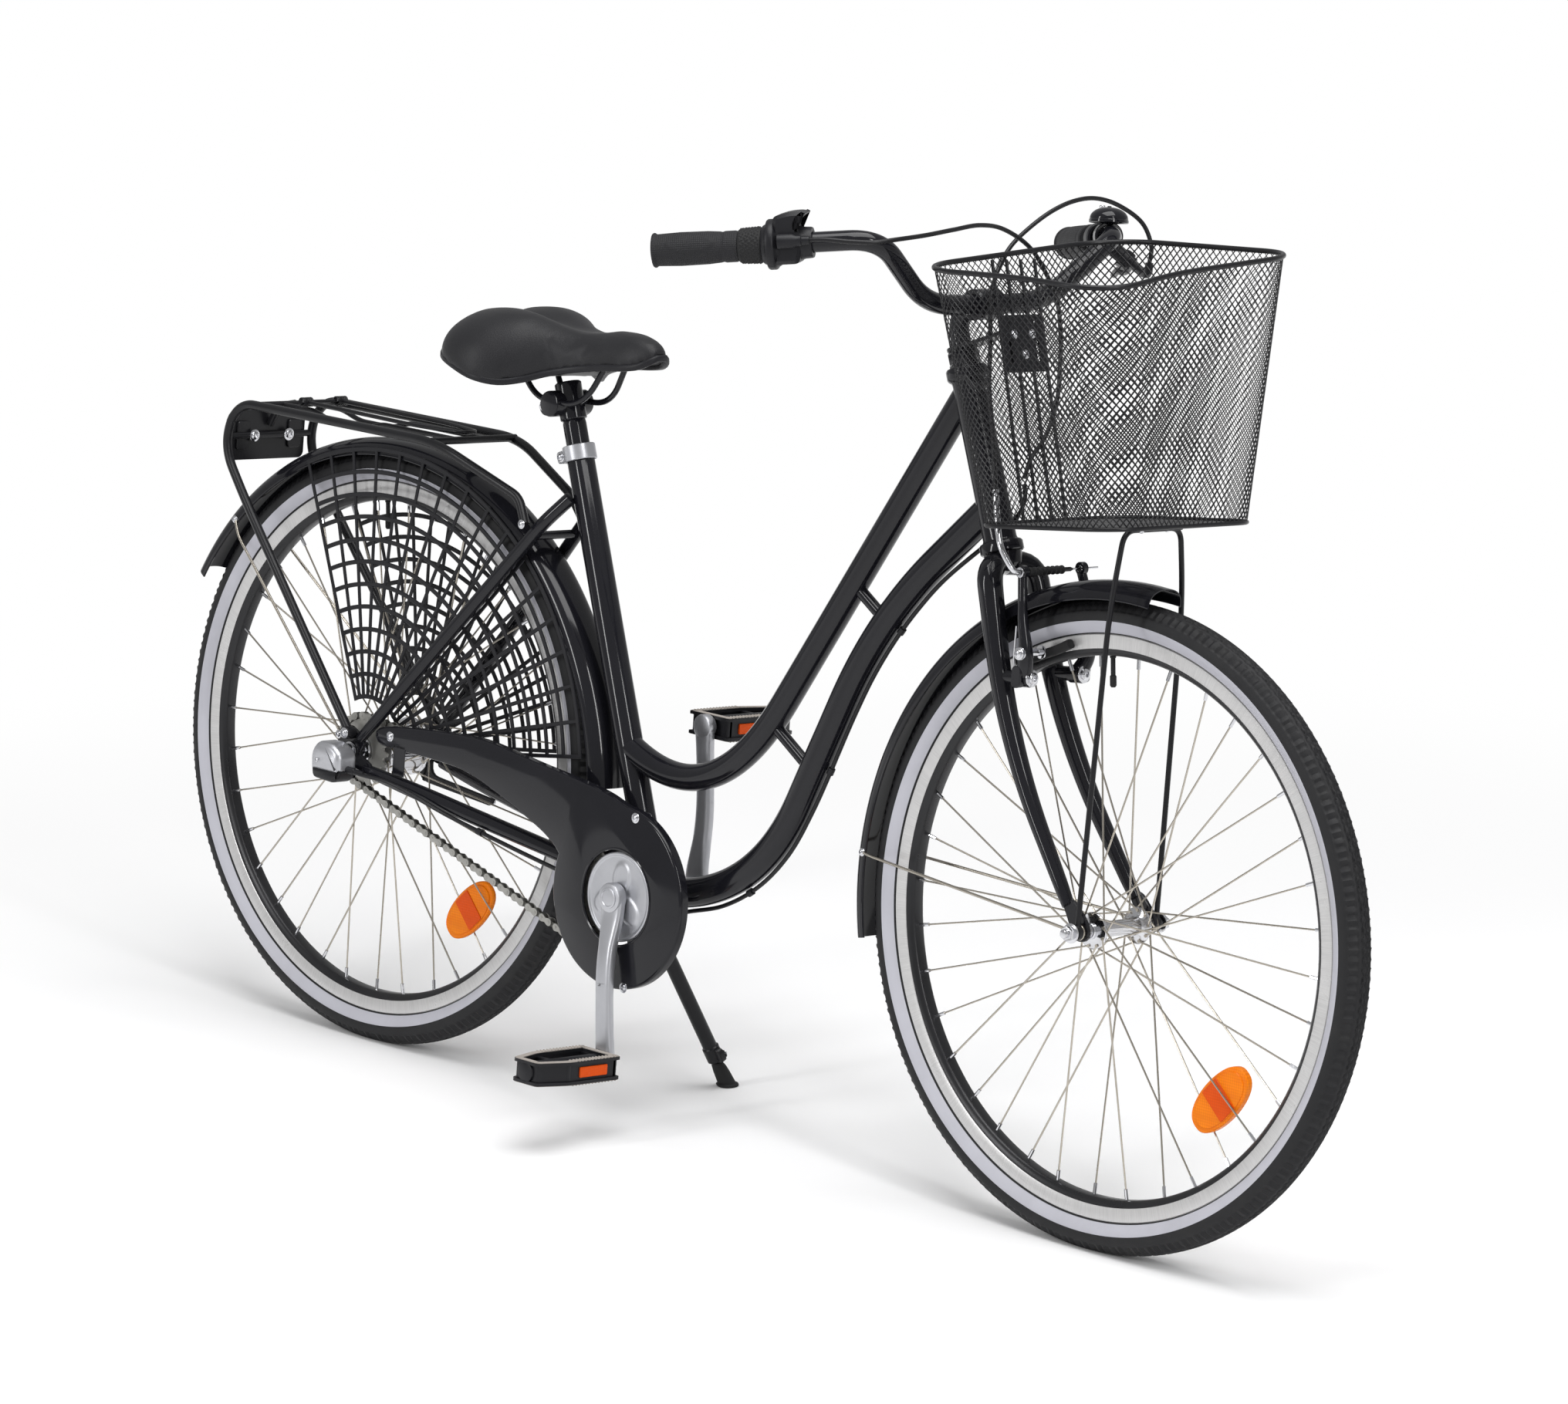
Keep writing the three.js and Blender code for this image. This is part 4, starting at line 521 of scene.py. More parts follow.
def brushed(tree, place, shade):
    """Turning marks that run along the piece: noise stretched 50 to 1 along the surface's run."""
    runs = node(tree, "Mapping", {"Vector": place.outputs["UV"], "Scale": (0.03, 1.6, 1.0)})
    lines = noise(tree, runs.outputs[0], 1.0, 3.0)
    amount = ranged(tree, lines, high=0.6)
    return lines, mixed(tree, amount, shade, srgb("#8f9094"), blend_type="MULTIPLY")


def leather_grain(tree, place, shade):
    """Pebbled vinyl: cells 1.6 mm apart."""
    return cells(tree, place, 1.6), shade


def prisms(tree, place, shade):
    """Reflector prisms: cells 3 mm apart in even rows, darker away from their middles."""
    height = cells(tree, place, 3.0, Randomness=0.0)
    return height, mixed(tree, ranged(tree, height, end=0.7, high=0.35), shade, srgb("#a83a06"))


def diamonds(pitch):
    """A moulded grip pattern: sine of one diagonal run times sine of the other, the pitch apart."""

    def pattern(tree, place, shade):
        inputs = {"Vector": place.outputs["UV"], "Rotation": (0, 0, pi / 4),
                  "Scale": (tau / pitch,) * 3}
        parts = node(tree, "SeparateXYZ", {0: node(tree, "Mapping", inputs).outputs[0]})
        waves = [maths(tree, "SINE", parts.outputs[i]) for i in (0, 1)]
        return maths(tree, "MULTIPLY", *waves), shade

    return pattern


# Stove enamel on steel tube: deep black, wet gloss, a faint orange peel about 6 mm across.
ENAMEL = finish("gloss_black_enamel", "#131317", 0.10, other="#19191e", drift=0.03, patch=90,
                grain=6.0, relief=0.012, specular=0.34)
# Powder coat on wire and plate: satin, with a fine pebble.
POWDER = finish("satin_black_powder_coat", "#151517", 0.32, other="#1c1c1f", patch=60, grain=1.2,
                relief=0.03, specular=0.26)
# Injection-moulded nylon: even satin black with a slight drag.
NYLON = finish("moulded_black_nylon", "#151518", 0.40, other="#1d1d21", patch=30, grain=0.8,
               relief=0.03, specular=0.26)
# Drawn stainless wire, warm grey.
STAINLESS = finish("drawn_stainless_wire", "#c3bdb2", 0.28, metal=1.0, other="#a69f94", patch=25,
                   drift=0.06, grain=6.0, relief=0.004)
# Chromed steel for bolts, stays and caps: clean and bright.
CHROME = finish("bright_chrome", "#dcdcdf", 0.14, metal=1.0, other="#c8c9cd", patch=30, drift=0.05,
                grain=2.0, relief=0.006)
# Forged aluminium, satin anodised: soft silver with a fine tooth.
ALLOY = finish("satin_anodised_aluminium", "#c2c3c7", 0.36, metal=0.85, other="#b3b4b9", patch=28,
               drift=0.06, grain=0.9, relief=0.02)
# Rolled aluminium worn bright by the pads: marks run round the rim.
TRACK = finish("machined_brake_track", "#e6e5e4", 0.30, metal=0.45, other="#d6d5d4", patch=60,
               pattern=brushed, pattern_depth=0.05)
# Rolled aluminium, black anodised.
RIM_BLACK = finish("black_anodised_aluminium", "#1a1a1c", 0.30, metal=0.3, other="#242427",
                   patch=50)
# Sulphur-cured tyre rubber: charcoal, dull, dusty on the tread.
RUBBER = finish("tyre_rubber", "#161618", 0.60, other="#202022", patch=24, drift=0.08, grain=1.4,
                relief=0.08, grime="#302f2d", specular=0.3)
# Pale sidewall rubber with a lavender cast and moulding marks round it.
WHITEWALL = finish("pale_sidewall_rubber", "#bcbcc4", 0.58, other="#b0b0b8", patch=70, grain=1.6,
                   relief=0.05, grime="#98979e", specular=0.3)
# Moulded grip rubber, cross-hatched.
GRIP_RUBBER = finish("soft_grip_rubber", "#18181a", 0.62, other="#222225", patch=18, grain=0.9,
                     relief=0.06, pattern=diamonds(3.2), pattern_depth=0.22, specular=0.3)
# The same rubber left plain, for shoes, pads, the boot and the valves.
SHOE_RUBBER = finish("plain_black_rubber", "#171718", 0.66, other="#212122", patch=14, relief=0.08,
                     specular=0.3)
# Stretched vinyl over foam: matte, a fine pebble that only shows in the highlights.
VINYL = finish("matte_black_vinyl", "#17171a", 0.48, other="#1f1f22", patch=55, drift=0.05,
               grain=0.7, relief=0.03, pattern=leather_grain, pattern_depth=0.10,
               specular=0.3, **{"Sheen Weight": 0.04, "Sheen Roughness": 0.5})
# Extruded cable sheath: smooth black plastic.
SHEATH = finish("extruded_cable_sheath", "#131315", 0.34, other="#19191c", patch=20, grain=2.0,
                specular=0.3)
# Moulded acrylic over prisms, lighter on the reflectors and deeper on their bars and the pedals.
AMBER = finish("amber_acrylic", "#f57a08", 0.22, other="#ff9512", patch=20, drift=0.05,
               pattern=prisms, pattern_depth=0.25, specular=0.15)
DEEP_AMBER = finish("deep_amber_acrylic", "#ec5a08", 0.24, other="#dd4c06", patch=12,
                    pattern=prisms, pattern_depth=0.25, specular=0.15)
# Oiled chain steel for the outer plates and rivets: grey; the darkness between the links is painted
# shade, below.
CHAIN_STEEL = finish("oiled_chain_steel", "#b2b1ac", 0.40, metal=0.5, other="#8f8e8a", patch=9,
                     drift=0.08, grain=1.0, relief=0.03)
# The inner plates and rollers, drawn darker as painted shade in the recess between the outer
# plates.
CHAIN_PAINTED_SHADE = finish("painted_shade_inner_plates", "#5f5e5b", 0.42, metal=0.5, other="#45443f", patch=7,
                    drift=0.08, grain=1.0, relief=0.03)
# Pale grit on the pedals' treads, worn and rough.
GRIT = finish("worn_pedal_grit", "#b3aba4", 0.8, other="#8d8781", patch=5, grain=0.9, relief=0.25)

# ---------------------------------------------------------------- camera, light and floor

CAMERA = Vector((5.5712, -5.4923, 2.3137))
scene = bpy.context.scene
lens = bpy.data.cameras.new("camera")
lens.lens, lens.sensor_width = 164.13, 36
lens.clip_end = 60
camera = bpy.data.objects.new("camera", lens)
forward = Vector((-0.69312, 0.68400, -0.22742)).normalized()
right = forward.cross(Vector((0, 0, 1))).normalized()
camera.matrix_world = Matrix.Translation(CAMERA) @ Matrix(
    (right, right.cross(forward), -forward)
).transposed().to_4x4()
scene.collection.objects.link(camera)
scene.camera = camera
scene.view_settings.view_transform = "Standard"

world = bpy.data.worlds.new("studio")
world.use_nodes = True
world.node_tree.nodes["Background"].inputs["Color"].default_value = srgb("#ffffff")
world.node_tree.nodes["Background"].inputs["Strength"].default_value = 0.42
scene.world = world


def lamp(name, place, target, width, height, power):
    """A soft lamp at a place, facing the target."""
    light = bpy.data.lights.new(name, "AREA")
    light.shape, light.size, light.size_y, light.energy = "RECTANGLE", width, height, power
    made = bpy.data.objects.new(name, light)
    aim = (Vector(target) - Vector(place)).to_track_quat("-Z", "Y")
    made.matrix_world = Matrix.Translation(place) @ aim.to_matrix().to_4x4()
    scene.collection.objects.link(made)


lamp("softbox_above", (0.8, -0.3, 4.2), (0, 0, 0.4), 3.0, 3.0, 138)
lamp("strip_front", (4.2, -1.0, 2.6), (0.3, 0, 0.5), 0.5, 2.4, 55)
lamp("strip_side", (-1.2, -4.2, 2.4), (-0.2, 0, 0.5), 0.5, 2.4, 55)


def white_far_away(material, near, far):
    """Beyond the object the floor shows as plain white: a blend by distance from the middle.

    share = a smooth step from near to far, in metres, for rays from the camera, in gloss and
    through glass.
    """
    tree = material.node_tree
    coat = next(n for n in tree.nodes if n.type == "BSDF_PRINCIPLED")
    end = next(n for n in tree.nodes if n.type == "OUTPUT_MATERIAL")
    place = node(tree, "TexCoord")
    distance = node(tree, "VectorMath", {0: place.outputs["Object"]}, operation="LENGTH")
    share = ranged(tree, distance.outputs["Value"], near, far, interpolation_type="SMOOTHSTEP")
    rays = node(tree, "LightPath")
    seen = rays.outputs["Is Camera Ray"]
    for other in ("Is Glossy Ray", "Is Transmission Ray"):
        seen = maths(tree, "MAXIMUM", seen, rays.outputs[other])
    share = maths(tree, "MULTIPLY", share, seen)
    white = node(tree, "Emission", {"Color": srgb("#ffffff"), "Strength": 1.0})
    blend = node(tree, "MixShader", {0: share, 1: coat.outputs[0], 2: white.outputs[0]})
    tree.links.new(blend.outputs[0], end.inputs["Surface"])


floor_finish = finish("matte_studio_floor", "#fafafa", 0.9, other="#f6f6f7", patch=900, grain=3.0,
                      relief=0.0, specular=0.1)
white_far_away(floor_finish, 0.6, 2.4)
ground = bpy.data.meshes.new("floor")
FLOOR_HALF = 40.0
floor_corners = [(x * FLOOR_HALF, y * FLOOR_HALF, 0)
                 for x, y in ((-1, -1), (1, -1), (1, 1), (-1, 1))]
ground.from_pydata(floor_corners, [], [(0, 1, 2, 3)])
ground.materials.append(floor_finish)
floor = bpy.data.objects.new("floor", ground)
scene.collection.objects.link(floor)

# ---------------------------------------------------------------- cables

LOWER_PATH = [(931, 0, 770), (778, 0, 625), (627, 0, 292), BRACKET]
LOWER_REACHES = [110, 125]


def under_lower_tube(distance):
    """The lower tube's line moved down and forward by the distance, square to its run."""
    path = eased(LOWER_PATH, LOWER_REACHES, steps=4)
    run = unit(path[2:] - path[:-2])
    return path[1:-1] + distance * np.stack([-run[:, 2], 0 * run[:, 0], run[:, 0]], -1)


BRAKE_CABLE = [
    (930, 223, 1033), (933, 221, 1050), (926, 212, 1075), (915, 181, 1095), (909, 150, 1102),
    (906, 120, 1099), (904, 88, 1088), (902, 55, 1069), (903, 28, 1050), (907, 8, 1028),
    (915, -8, 1006), (924, -18, 985), (936, -27, 948), (946, -34, 905), (962, -40, 858),
    (980, -50, 811), (1003, -63, 757), (1012, -67, 743), (1021, -65, 729), (1027, -60, 719),
    (1028, -54, 717), (1028, -20, 717), (1028, 20, 717), (1028, 70, 717),
]
SHIFT_CABLE_FRONT = [
    (868, -245, 1056), (880, -237, 1058), (900, -219, 1058), (918, -199, 1059), (927, -171, 1063),
    (928, -131, 1067), (926, -88, 1072), (922, -43, 1076), (918, -2, 1071), (918, 43, 1050),
    (919, 71, 1021), (921, 89, 992), (926, 93, 959), (932, 90, 925), (940, 81, 885), (944, 63, 848),
    (944, 42, 823), (945, 34, 803),
]
SHIFT_CABLE_DOWN = [(945.8, 33.5, 797), (949, 33, 786), (947, 32, 771), (937, 29, 754),
                    (922, 20, 736)]
SHIFT_CABLE_BACK = [(470, -8, 233), (425, -24, 243), (380, -38, 262), (342, -46, 270),
                    (174, -60, 302), (88, -82, 329), (50, -90, 332), (27.4, -92, 334)]
UNDER_TUBE = 17 + 2 * CABLE
STATIONS = 180
BARE_FROM, BARE_WIRE = 170, 0.9


def cable(name, body, nodes, points, radius=CABLE):
    """A sheathed cable: a round tube on a smooth curve through the route's points."""
    path = smooth(points, STATIONS)
    made = piece(name, body, "cable", nodes, (tube(path, radius, 12), SHEATH))
    return path


# Past the boot only the bare wire shows: the cable narrows over its last stations.
narrowed = np.where(np.arange(STATIONS) < BARE_FROM, CABLE, BARE_WIRE)
brake_line = cable("front_brake_cable_sheath", "steering", ["front_brake_cable"], BRAKE_CABLE,
                   narrowed)
cable("shift_cable_front_sheath", "steering", ["shift_cable_front"], SHIFT_CABLE_FRONT)
rear_line = cable("shift_cable_rear_sheath", "root", ["shift_cable_rear"],
                  [*SHIFT_CABLE_DOWN, *under_lower_tube(UNDER_TUBE).tolist(), *SHIFT_CABLE_BACK])

# ---------------------------------------------------------------- places on the bicycle


def on_head(s):
    """A point on the steering axis, s mm up from its foot."""
    return HEAD_FOOT + s * STEERING_UP


def on_seat(s):
    """A point on the seat tube's axis, s mm up from the bracket."""
    return BRACKET + s * SEAT_UP


def arc(centre, radius, across, start, end, count):
    """Points of a circle in the wheels' plane: centre + radius * (cos, 0, sin), moved across."""
    angle = np.linspace(start, end, count)
    flat = np.stack([np.cos(angle), 0 * angle, np.sin(angle)], -1)
    return np.asarray(centre, float) + radius * flat + np.multiply(across, Y)


def basket_floor(x):
    """The height of the basket's floor, which climbs forward."""
    return FLOOR_LEVEL + FLOOR_CLIMB * (x - FLOOR["rear"])


def basket_brim(x, y):
    """The brim's height: a tilted plane, with a soft dip by its front right corner."""
    dip = 7 * np.exp(-(((x - 1195) / 70) ** 2 + ((y + 130) / 60) ** 2))
    return 1046 + 0.061 * (x - BRIM["rear"]) + 0.085 * y - dip


def bolt(foot, axis, radius, height):
    """A domed bolt head with a washer under it."""
    washer = knob(1.5 * radius, 0, 0.25 * height, foot, axis, 0.4, 24)
    dome = [(0, 0), (1, 0), (1, 0.7), (0.8, 0.95), (0.5, 1.05), (0.45, 0.6), (0, 0.6)]
    return joined(washer, turned(np.array(dome) * [radius, height], foot, axis, 20))


def nut(foot, axis, radius, height):
    """A hexagon nut whose corners are cut by a cone, with a washer and the axle's end in it."""
    flats = np.array([(0, 0), (0.94, 0), (1, 0.12), (1, 0.85), (0.9, 1), (0, 1)])
    body = turned(flats * [radius, height], foot, axis, 6)
    end = knob(0.55 * radius, 0, 1.5 * height, foot, axis, 0.6, 20)
    return joined(body, end, knob(1.25 * radius, -1.5, 0.4, foot, axis, 0.4, 28))


def collar(path, at, radius, width, thick):
    """A clip round a tube: a short ring on the path at one of its stations."""
    along = unit(path[at + 1] - path[at - 1])
    return band(radius, radius + thick, -width / 2, width / 2, path[at], along, 0.4, 28)


# ---------------------------------------------------------------- frame

piece("head_tube_shell", "root", "enamel", ["head_tube"], (turned(
    [(13.3, -4), (22.4, -4), (24, -2.6), (24, 6), (22.6, 8), (19.4, 9.4), (18.5, 12),
     (18.5, 184), (19.2, 187), (21.8, 189), (23, 191), (23, 200), (21.6, 202), (13.3, 202),
     (13.3, -4)], HEAD_FOOT, STEERING_UP, 64), ENAMEL))

UPPER_BEND = [(542, 0, 352), (402, 0, 419.5)]
upper_path = eased([(896, 0, 909), *UPPER_BEND], [188], 28)
lower_path = eased([(936, 0, 775), *LOWER_PATH[1:]], LOWER_REACHES, 28)
upper_straight = upper_path[1] - upper_path[0]
brace_run = unit(np.array([-upper_straight[2], 0, upper_straight[0]]))
brace_line = eased([(888, 0, 897), *UPPER_BEND], [188], 6)
brace_feet = [brace_line[0] + (brace_line[1] - brace_line[0]) * at for at in (0.62, 1.07)]
braces = [tube([foot + 12 * brace_run, foot + end * brace_run], 7, 20)
          for foot, end in zip(brace_feet, (58, 68))]
piece("upper_tube_bent", "root", "enamel", ["upper_tube"], (tube(upper_path, 15.5, 40), ENAMEL))
piece("lower_tube_bent", "root", "enamel", ["lower_tube"],
      (joined(tube(lower_path, 17, 40), *braces), ENAMEL))
piece("seat_tube_drawn", "root", "enamel", ["seat_tube"], (turned(
    [(14, 2), (16, 2), (16, SEAT_TUBE - 1), (15.5, SEAT_TUBE), (14, SEAT_TUBE), (14, 2)],
    BRACKET, SEAT_UP, 48), ENAMEL))

KICK_PIVOT = np.array([415.0, 26, 221])
KICK_AXIS = unit(np.array([0, 0.948, 0.319]))
shell = band(9.1, 20, -34, 34, BRACKET, Y, 1.2, 48)
hanger = slab([(402, 262), (452, 266), (450, 250), (424, 238), (424, 214), (406, 214)], -9, 11, 1.5)
piece("bottom_bracket_forged", "root", "enamel", ["bottom_bracket_shell"], (joined(
    shell, hanger, knob(12, -22, -2, KICK_PIVOT, KICK_AXIS, 1.5),
    knob(4, -4, 21, KICK_PIVOT, KICK_AXIS, 0.6),
    knob(7, 20.3, 24, KICK_PIVOT, KICK_AXIS, 1)), ENAMEL),
    (bolt(KICK_PIVOT + 24 * KICK_AXIS, KICK_AXIS, 3, 2.5), CHROME))

STAY_UP = unit(np.array([256.0, 0, 293]))
plate_outline = eased_outline([(-24, 10), (-14, -10), (8, -20), (34, -24), (36, -12), (14, -2),
                               (23, 12), (9, 24), (-4, 30), (-22, 24)],
                              [5, 6, 5, 5, 6, 4, 4, 5, 5])
dropout = moved(slab(plate_outline, DROPOUT["inner"], DROPOUT["inner"] + DROPOUT["sheet"]),
                REAR_AXLE)


def stay(path, radius, tip):
    """A stay: a tube that narrows to its tip over its last quarter."""
    path = even(path, 60)
    share = np.clip(np.linspace(-3, 1, 60), 0, 1)
    return tube(path, radius + (tip - radius) * share**1.5, 28)


chain_stay = joined(stay(eased([(455, 22, 268), (331, 36, 287), (24, 61, 332)], [50], 14), 9.5, 7),
                    dropout)
at_stay = [REAR_AXLE + s * STAY_UP + (63 - (30 / 389) * (s - 19)) * Y for s in (0, 22)]
seat_stay = stay(eased([(294, 19, 690), (268, 33, 659), tuple(at_stay[1])], [14], 10), 8, 6.4)
BRIDGE = np.array([252.0, 0, 641])
bridge = tube([BRIDGE - 36 * Y, BRIDGE + 36 * Y], 5, 20)
for side, hand, turn in SIDES:
    piece(f"{side}_chain_stay_drawn", "root", "enamel", [f"{side}_chain_stay"],
          (turn(chain_stay), ENAMEL))
    extra = (bridge,) if hand > 0 else ()
    piece(f"{side}_seat_stay_drawn", "root", "enamel", [f"{side}_seat_stay"],
          (joined(turn(seat_stay), *extra), ENAMEL))

clamp_top = SEAT_TUBE + 3
back = np.array([-sin(SEAT_ANGLE), 0, -cos(SEAT_ANGLE)])
lug_at = on_seat(clamp_top - 9) + 22 * back
lug = slab(rounded_box(16, 14, 4), -9, 9, 1.2, (lug_at, back, SEAT_UP, Y))
clamp_bolt = joined(bolt(lug_at + 9 * Y, Y, 4, 4), bolt(lug_at - 9 * Y, -Y, 4, 4))
piece("seat_clamp_ring", "root", "aluminium", ["seat_clamp"],
      (joined(band(16.3, 19, clamp_top - 18, clamp_top, BRACKET, SEAT_UP, 0.8), lug), ALLOY),
      (clamp_bolt, CHROME))

# ---------------------------------------------------------------- fenders


def fender_skin(fender):
    """A bent sheet: across = half * sin t ** 0.86, drop = depth * (1 - cos t ** 0.8), on an arc.

    The inner skin is the outer one less its sheet, and both edges roll over a wire.
    """
    half, depth, sheet = FENDER["half"], FENDER["depth"], FENDER["sheet"]
    t = np.linspace(-pi / 2, pi / 2, 25)
    across = half * powered(np.sin(t), 0.86)
    drop = depth * (1 - np.abs(np.cos(t)) ** 0.8)
    outer = np.stack([across, -drop], -1)
    inner = np.stack([across * (half - sheet) / half, -drop - sheet * np.cos(t)], -1)[::-1]
    centre, radius, ends = fender["centre"], fender["radius"], (fender["from"], fender["to"], 110)
    path = arc(centre, radius, 0, *ends)
    skin = carried(path, np.concatenate([outer, inner]), unit(path - np.asarray(centre)))
    hem = tube(arc(centre, radius - depth + 0.6, half - 0.6, *ends), sheet, 8)
    return joined(skin, both(hem))


def wire(points, reaches, radius, sides=12, steps=10):
    """A bent wire."""
    return tube(eased(points, reaches, steps), radius, sides)


outside = DROPOUT["inner"] + DROPOUT["sheet"] + 0.3
rear_stay = joined(
    wire([(-277, 25, 584), (-262, 32, 566), (-17, outside + 2, 369)], [12], 1.7),
    knob(5, outside, outside + 5, (-17, 0, 368), Y, 0.6))
stay_bolts = joined(bolt((-277, 25.4, 583), Y, 3, 3), bolt((-17, outside + 5, 368), Y, 3.4, 3))
piece("rear_fender_sheet", "root", "enamel", ["rear_fender"], (fender_skin(REAR_FENDER), ENAMEL))
piece("rear_fender_stays", "root", "steel", [], (both(rear_stay), STAINLESS),
      (both(stay_bolts), CHROME))

inner_end = FORK_END["inner"] + FORK_END["sheet"] + 0.3
front_root = FRONT_AXLE + [15 - FRONT_FENDER["radius"], FENDER["half"] - 1, 20]
front_knee = FRONT_AXLE + [32 - FRONT_FENDER["radius"], FENDER["half"] + 4, 19]
front_bend = FRONT_AXLE + [-50, inner_end + 1.5, 3]
front_tip = FRONT_AXLE + [-8, inner_end + 1.5, -1]
front_stay = joined(wire([front_root, front_knee, front_bend, front_tip], [12, 20], 1.7),
                    band(5.4, 9, inner_end, inner_end + 3, FRONT_AXLE, Y, 0.5, 32))
piece("front_fender_sheet", "steering", "enamel", ["front_fender"],
      (fender_skin(FRONT_FENDER), ENAMEL))
piece("front_fender_stays", "steering", "steel", [], (both(front_stay), STAINLESS),
      (both(bolt(front_root + [0, 0.5, 0], Y, 3, 3)), CHROME))

# ---------------------------------------------------------------- skirt guards

ring_angles = np.linspace(SKIRT["from"], SKIRT["to"], 60)
bar_angles = np.linspace(SKIRT["from"], SKIRT["to"], SKIRT["bars"])
ring_radii = np.linspace(SKIRT["inner"], SKIRT["outer"] - 3, SKIRT["rings"])


def guard_points(radius, angle):
    """The guard's face: a shallow cone, across = a straight line from the hub to the rim."""
    share = (radius - SKIRT["inner"]) / (SKIRT["outer"] - SKIRT["inner"])
    across = SKIRT["near_hub"] + (FENDER["half"] + 0.4 - SKIRT["near_hub"]) * share + 0.8
    flat = np.stack([radius * np.cos(angle), across + 0 * angle, radius * np.sin(angle)], -1)
    return REAR_AXLE + flat


lattice_rings = carried(guard_points(ring_radii[:, None], ring_angles[None]),
                        rounded_box(5.2, 2.6, 0.7, 1), Y)
ends = np.array([SKIRT["inner"] - 2.5, SKIRT["outer"]])
lattice_bars = carried(guard_points(ends[None], bar_angles[:, None]),
                       rounded_box(4.6, 2.2, 0.6, 1), Y)
lattice = joined(lattice_rings, lattice_bars)
for side, _, turn in SIDES:
    piece(f"{side}_skirt_lattice", "root", "plastic", [f"{side}_skirt_guard"],
          (turn(lattice), NYLON))

# ---------------------------------------------------------------- chain guard

# The outline goes round the bracket, then along the chain to the hub and back.
guard_angle = np.linspace(radians(162), radians(87) + tau, 90)
guard_round = BRACKET[[0, 2]] + GUARD["radius"] * np.stack(
    [np.cos(guard_angle), np.sin(guard_angle)], -1)
guard_tail = smooth([
    (462, 365), (432, 374), (394, 380), (316, 389), (225, 400), (184, 400), (91, 393), (47, 386.5),
    (38, 382), (37, 372), (44, 366), (71, 364), (138, 363), (192, 359), (260, 339), (301, 324),
    (334, 310), (352, 299), (358, 294)], 120)
guard_outline = inset(np.concatenate([guard_round, guard_tail[1:-1]]), 0)
face, depth = GUARD["face"], GUARD["depth"]
# How far each row of the shell is drawn in, and how far it lies below the face.
shrinks = [3.2, 1.2, 0.2, 0, 0, 1.6, 1.6, 3.6]
drops = np.array([0, 0.9, 2.6, 4, depth, depth, 5, 1.8])
guard_shell = surface(raised([inset(guard_outline, shrink) for shrink in shrinks], face - drops))
window = turned([(0, 40), (GUARD["hole"], 40), (GUARD["hole"], 80), (0, 80)], BRACKET, Y, 96)
lip = turned([(54, 60.2), (55.4, 60.2), (56.6, 61.2), (56.6, 62.4), (55.4, 63), (54, 62.4),
              (54, 60.2)], BRACKET, Y, 96)
tab = slab([(71, 334), (91, 334), (91, 370), (71, 370)], face - 1.6, face, 0.5)
collar_ring = band(10, 19, 34.3, 37, BRACKET, Y, 0.5)
guard_arms = [wire([BRACKET + 16 * out + 37.3 * Y, BRACKET + 98 * out + 37.3 * Y,
                    BRACKET + 100 * out + 60 * Y], [4], 3)
              for out in (np.array([cos(a), 0, sin(a)]) for a in (radians(78), radians(-77)))]
guard_bolts = joined(*(bolt((x, face, z), Y, 4, 3) for x, z in ((64, 378), (482, 355), (482, 160))))
piece("chain_guard_pressed", "root", "satin_black", ["chain_guard"],
      (other_side(guard_shell), ENAMEL), cuts=[other_side(window)])
piece("chain_guard_fittings", "root", "satin_black", [],
      (other_side(joined(lip, tab, collar_ring, *guard_arms)), ENAMEL),
      (other_side(guard_bolts), CHROME))

# ---------------------------------------------------------------- chain

front_pitch, rear_pitch = (TEETH[end] * PITCH / tau for end in ("front", "rear"))
axles_run = BRACKET - REAR_AXLE
slope = np.arctan2(axles_run[2], axles_run[0])
spread = np.arccos((front_pitch - rear_pitch) / np.hypot(axles_run[0], axles_run[2]))
belt = np.concatenate([
    arc(BRACKET, front_pitch, 0, slope - pi + spread, slope + pi - spread, 160),
    arc(REAR_AXLE, rear_pitch, 0, slope + pi - spread, slope + pi + spread, 80),
])
belt = np.concatenate([belt, belt[:1]])
links = 2 * round(length_of(belt) / PITCH / 2)
pins = even(belt, links + 1)[:-1]
link_run = np.roll(pins, -1, axis=0) - pins
link_side = unit(np.cross(link_run, Y))
# A link plate in steps along and across the link: two round ends with a waist between them.
far_end, near_end = np.radians(np.linspace(-110, 110, 7)), np.radians(np.linspace(70, 290, 7))
plate_along = np.concatenate([PITCH + LINK["round"] * np.cos(far_end), [PITCH / 2],
                              LINK["round"] * np.cos(near_end), [PITCH / 2]])
plate_across = np.concatenate([LINK["round"] * np.sin(far_end), [LINK["waist"]],
                               LINK["round"] * np.sin(near_end), [-LINK["waist"]]])
flat = (pins[:, None] + plate_along[:, None] * (link_run / PITCH)[:, None]
        + plate_across[:, None] * link_side[:, None])


def link_plates(which, apart):
    """Both plates of every second link, this far from the chain's middle."""
    rings = np.stack([flat[which::2]] * 2, 1)
    thick = np.array([-LINK["sheet"], LINK["sheet"]])[:, None, None] / 2
    return joined(*(surface(rings + (sign * apart + thick - CHAIN_LINE) * Y) for sign in (-1, 1)))


middles = pins - CHAIN_LINE * Y
rivets, rollers = (rods(middles - pin["half"] * Y, middles + pin["half"] * Y, pin["radius"], sides)
                   for pin, sides in ((RIVET, 8), (ROLLER, 10)))
# Outer plates and rivets in grey steel; the recessed inner plates and rollers take the darker
# finish, painted shade between the outer plates.
piece("chain_links", "root", "steel", ["chain"],
      (joined(link_plates(1, LINK["outer"]), rivets), CHAIN_STEEL),
      (joined(link_plates(0, LINK["inner"]), rollers), CHAIN_PAINTED_SHADE))

# ---------------------------------------------------------------- rear axle and its fittings

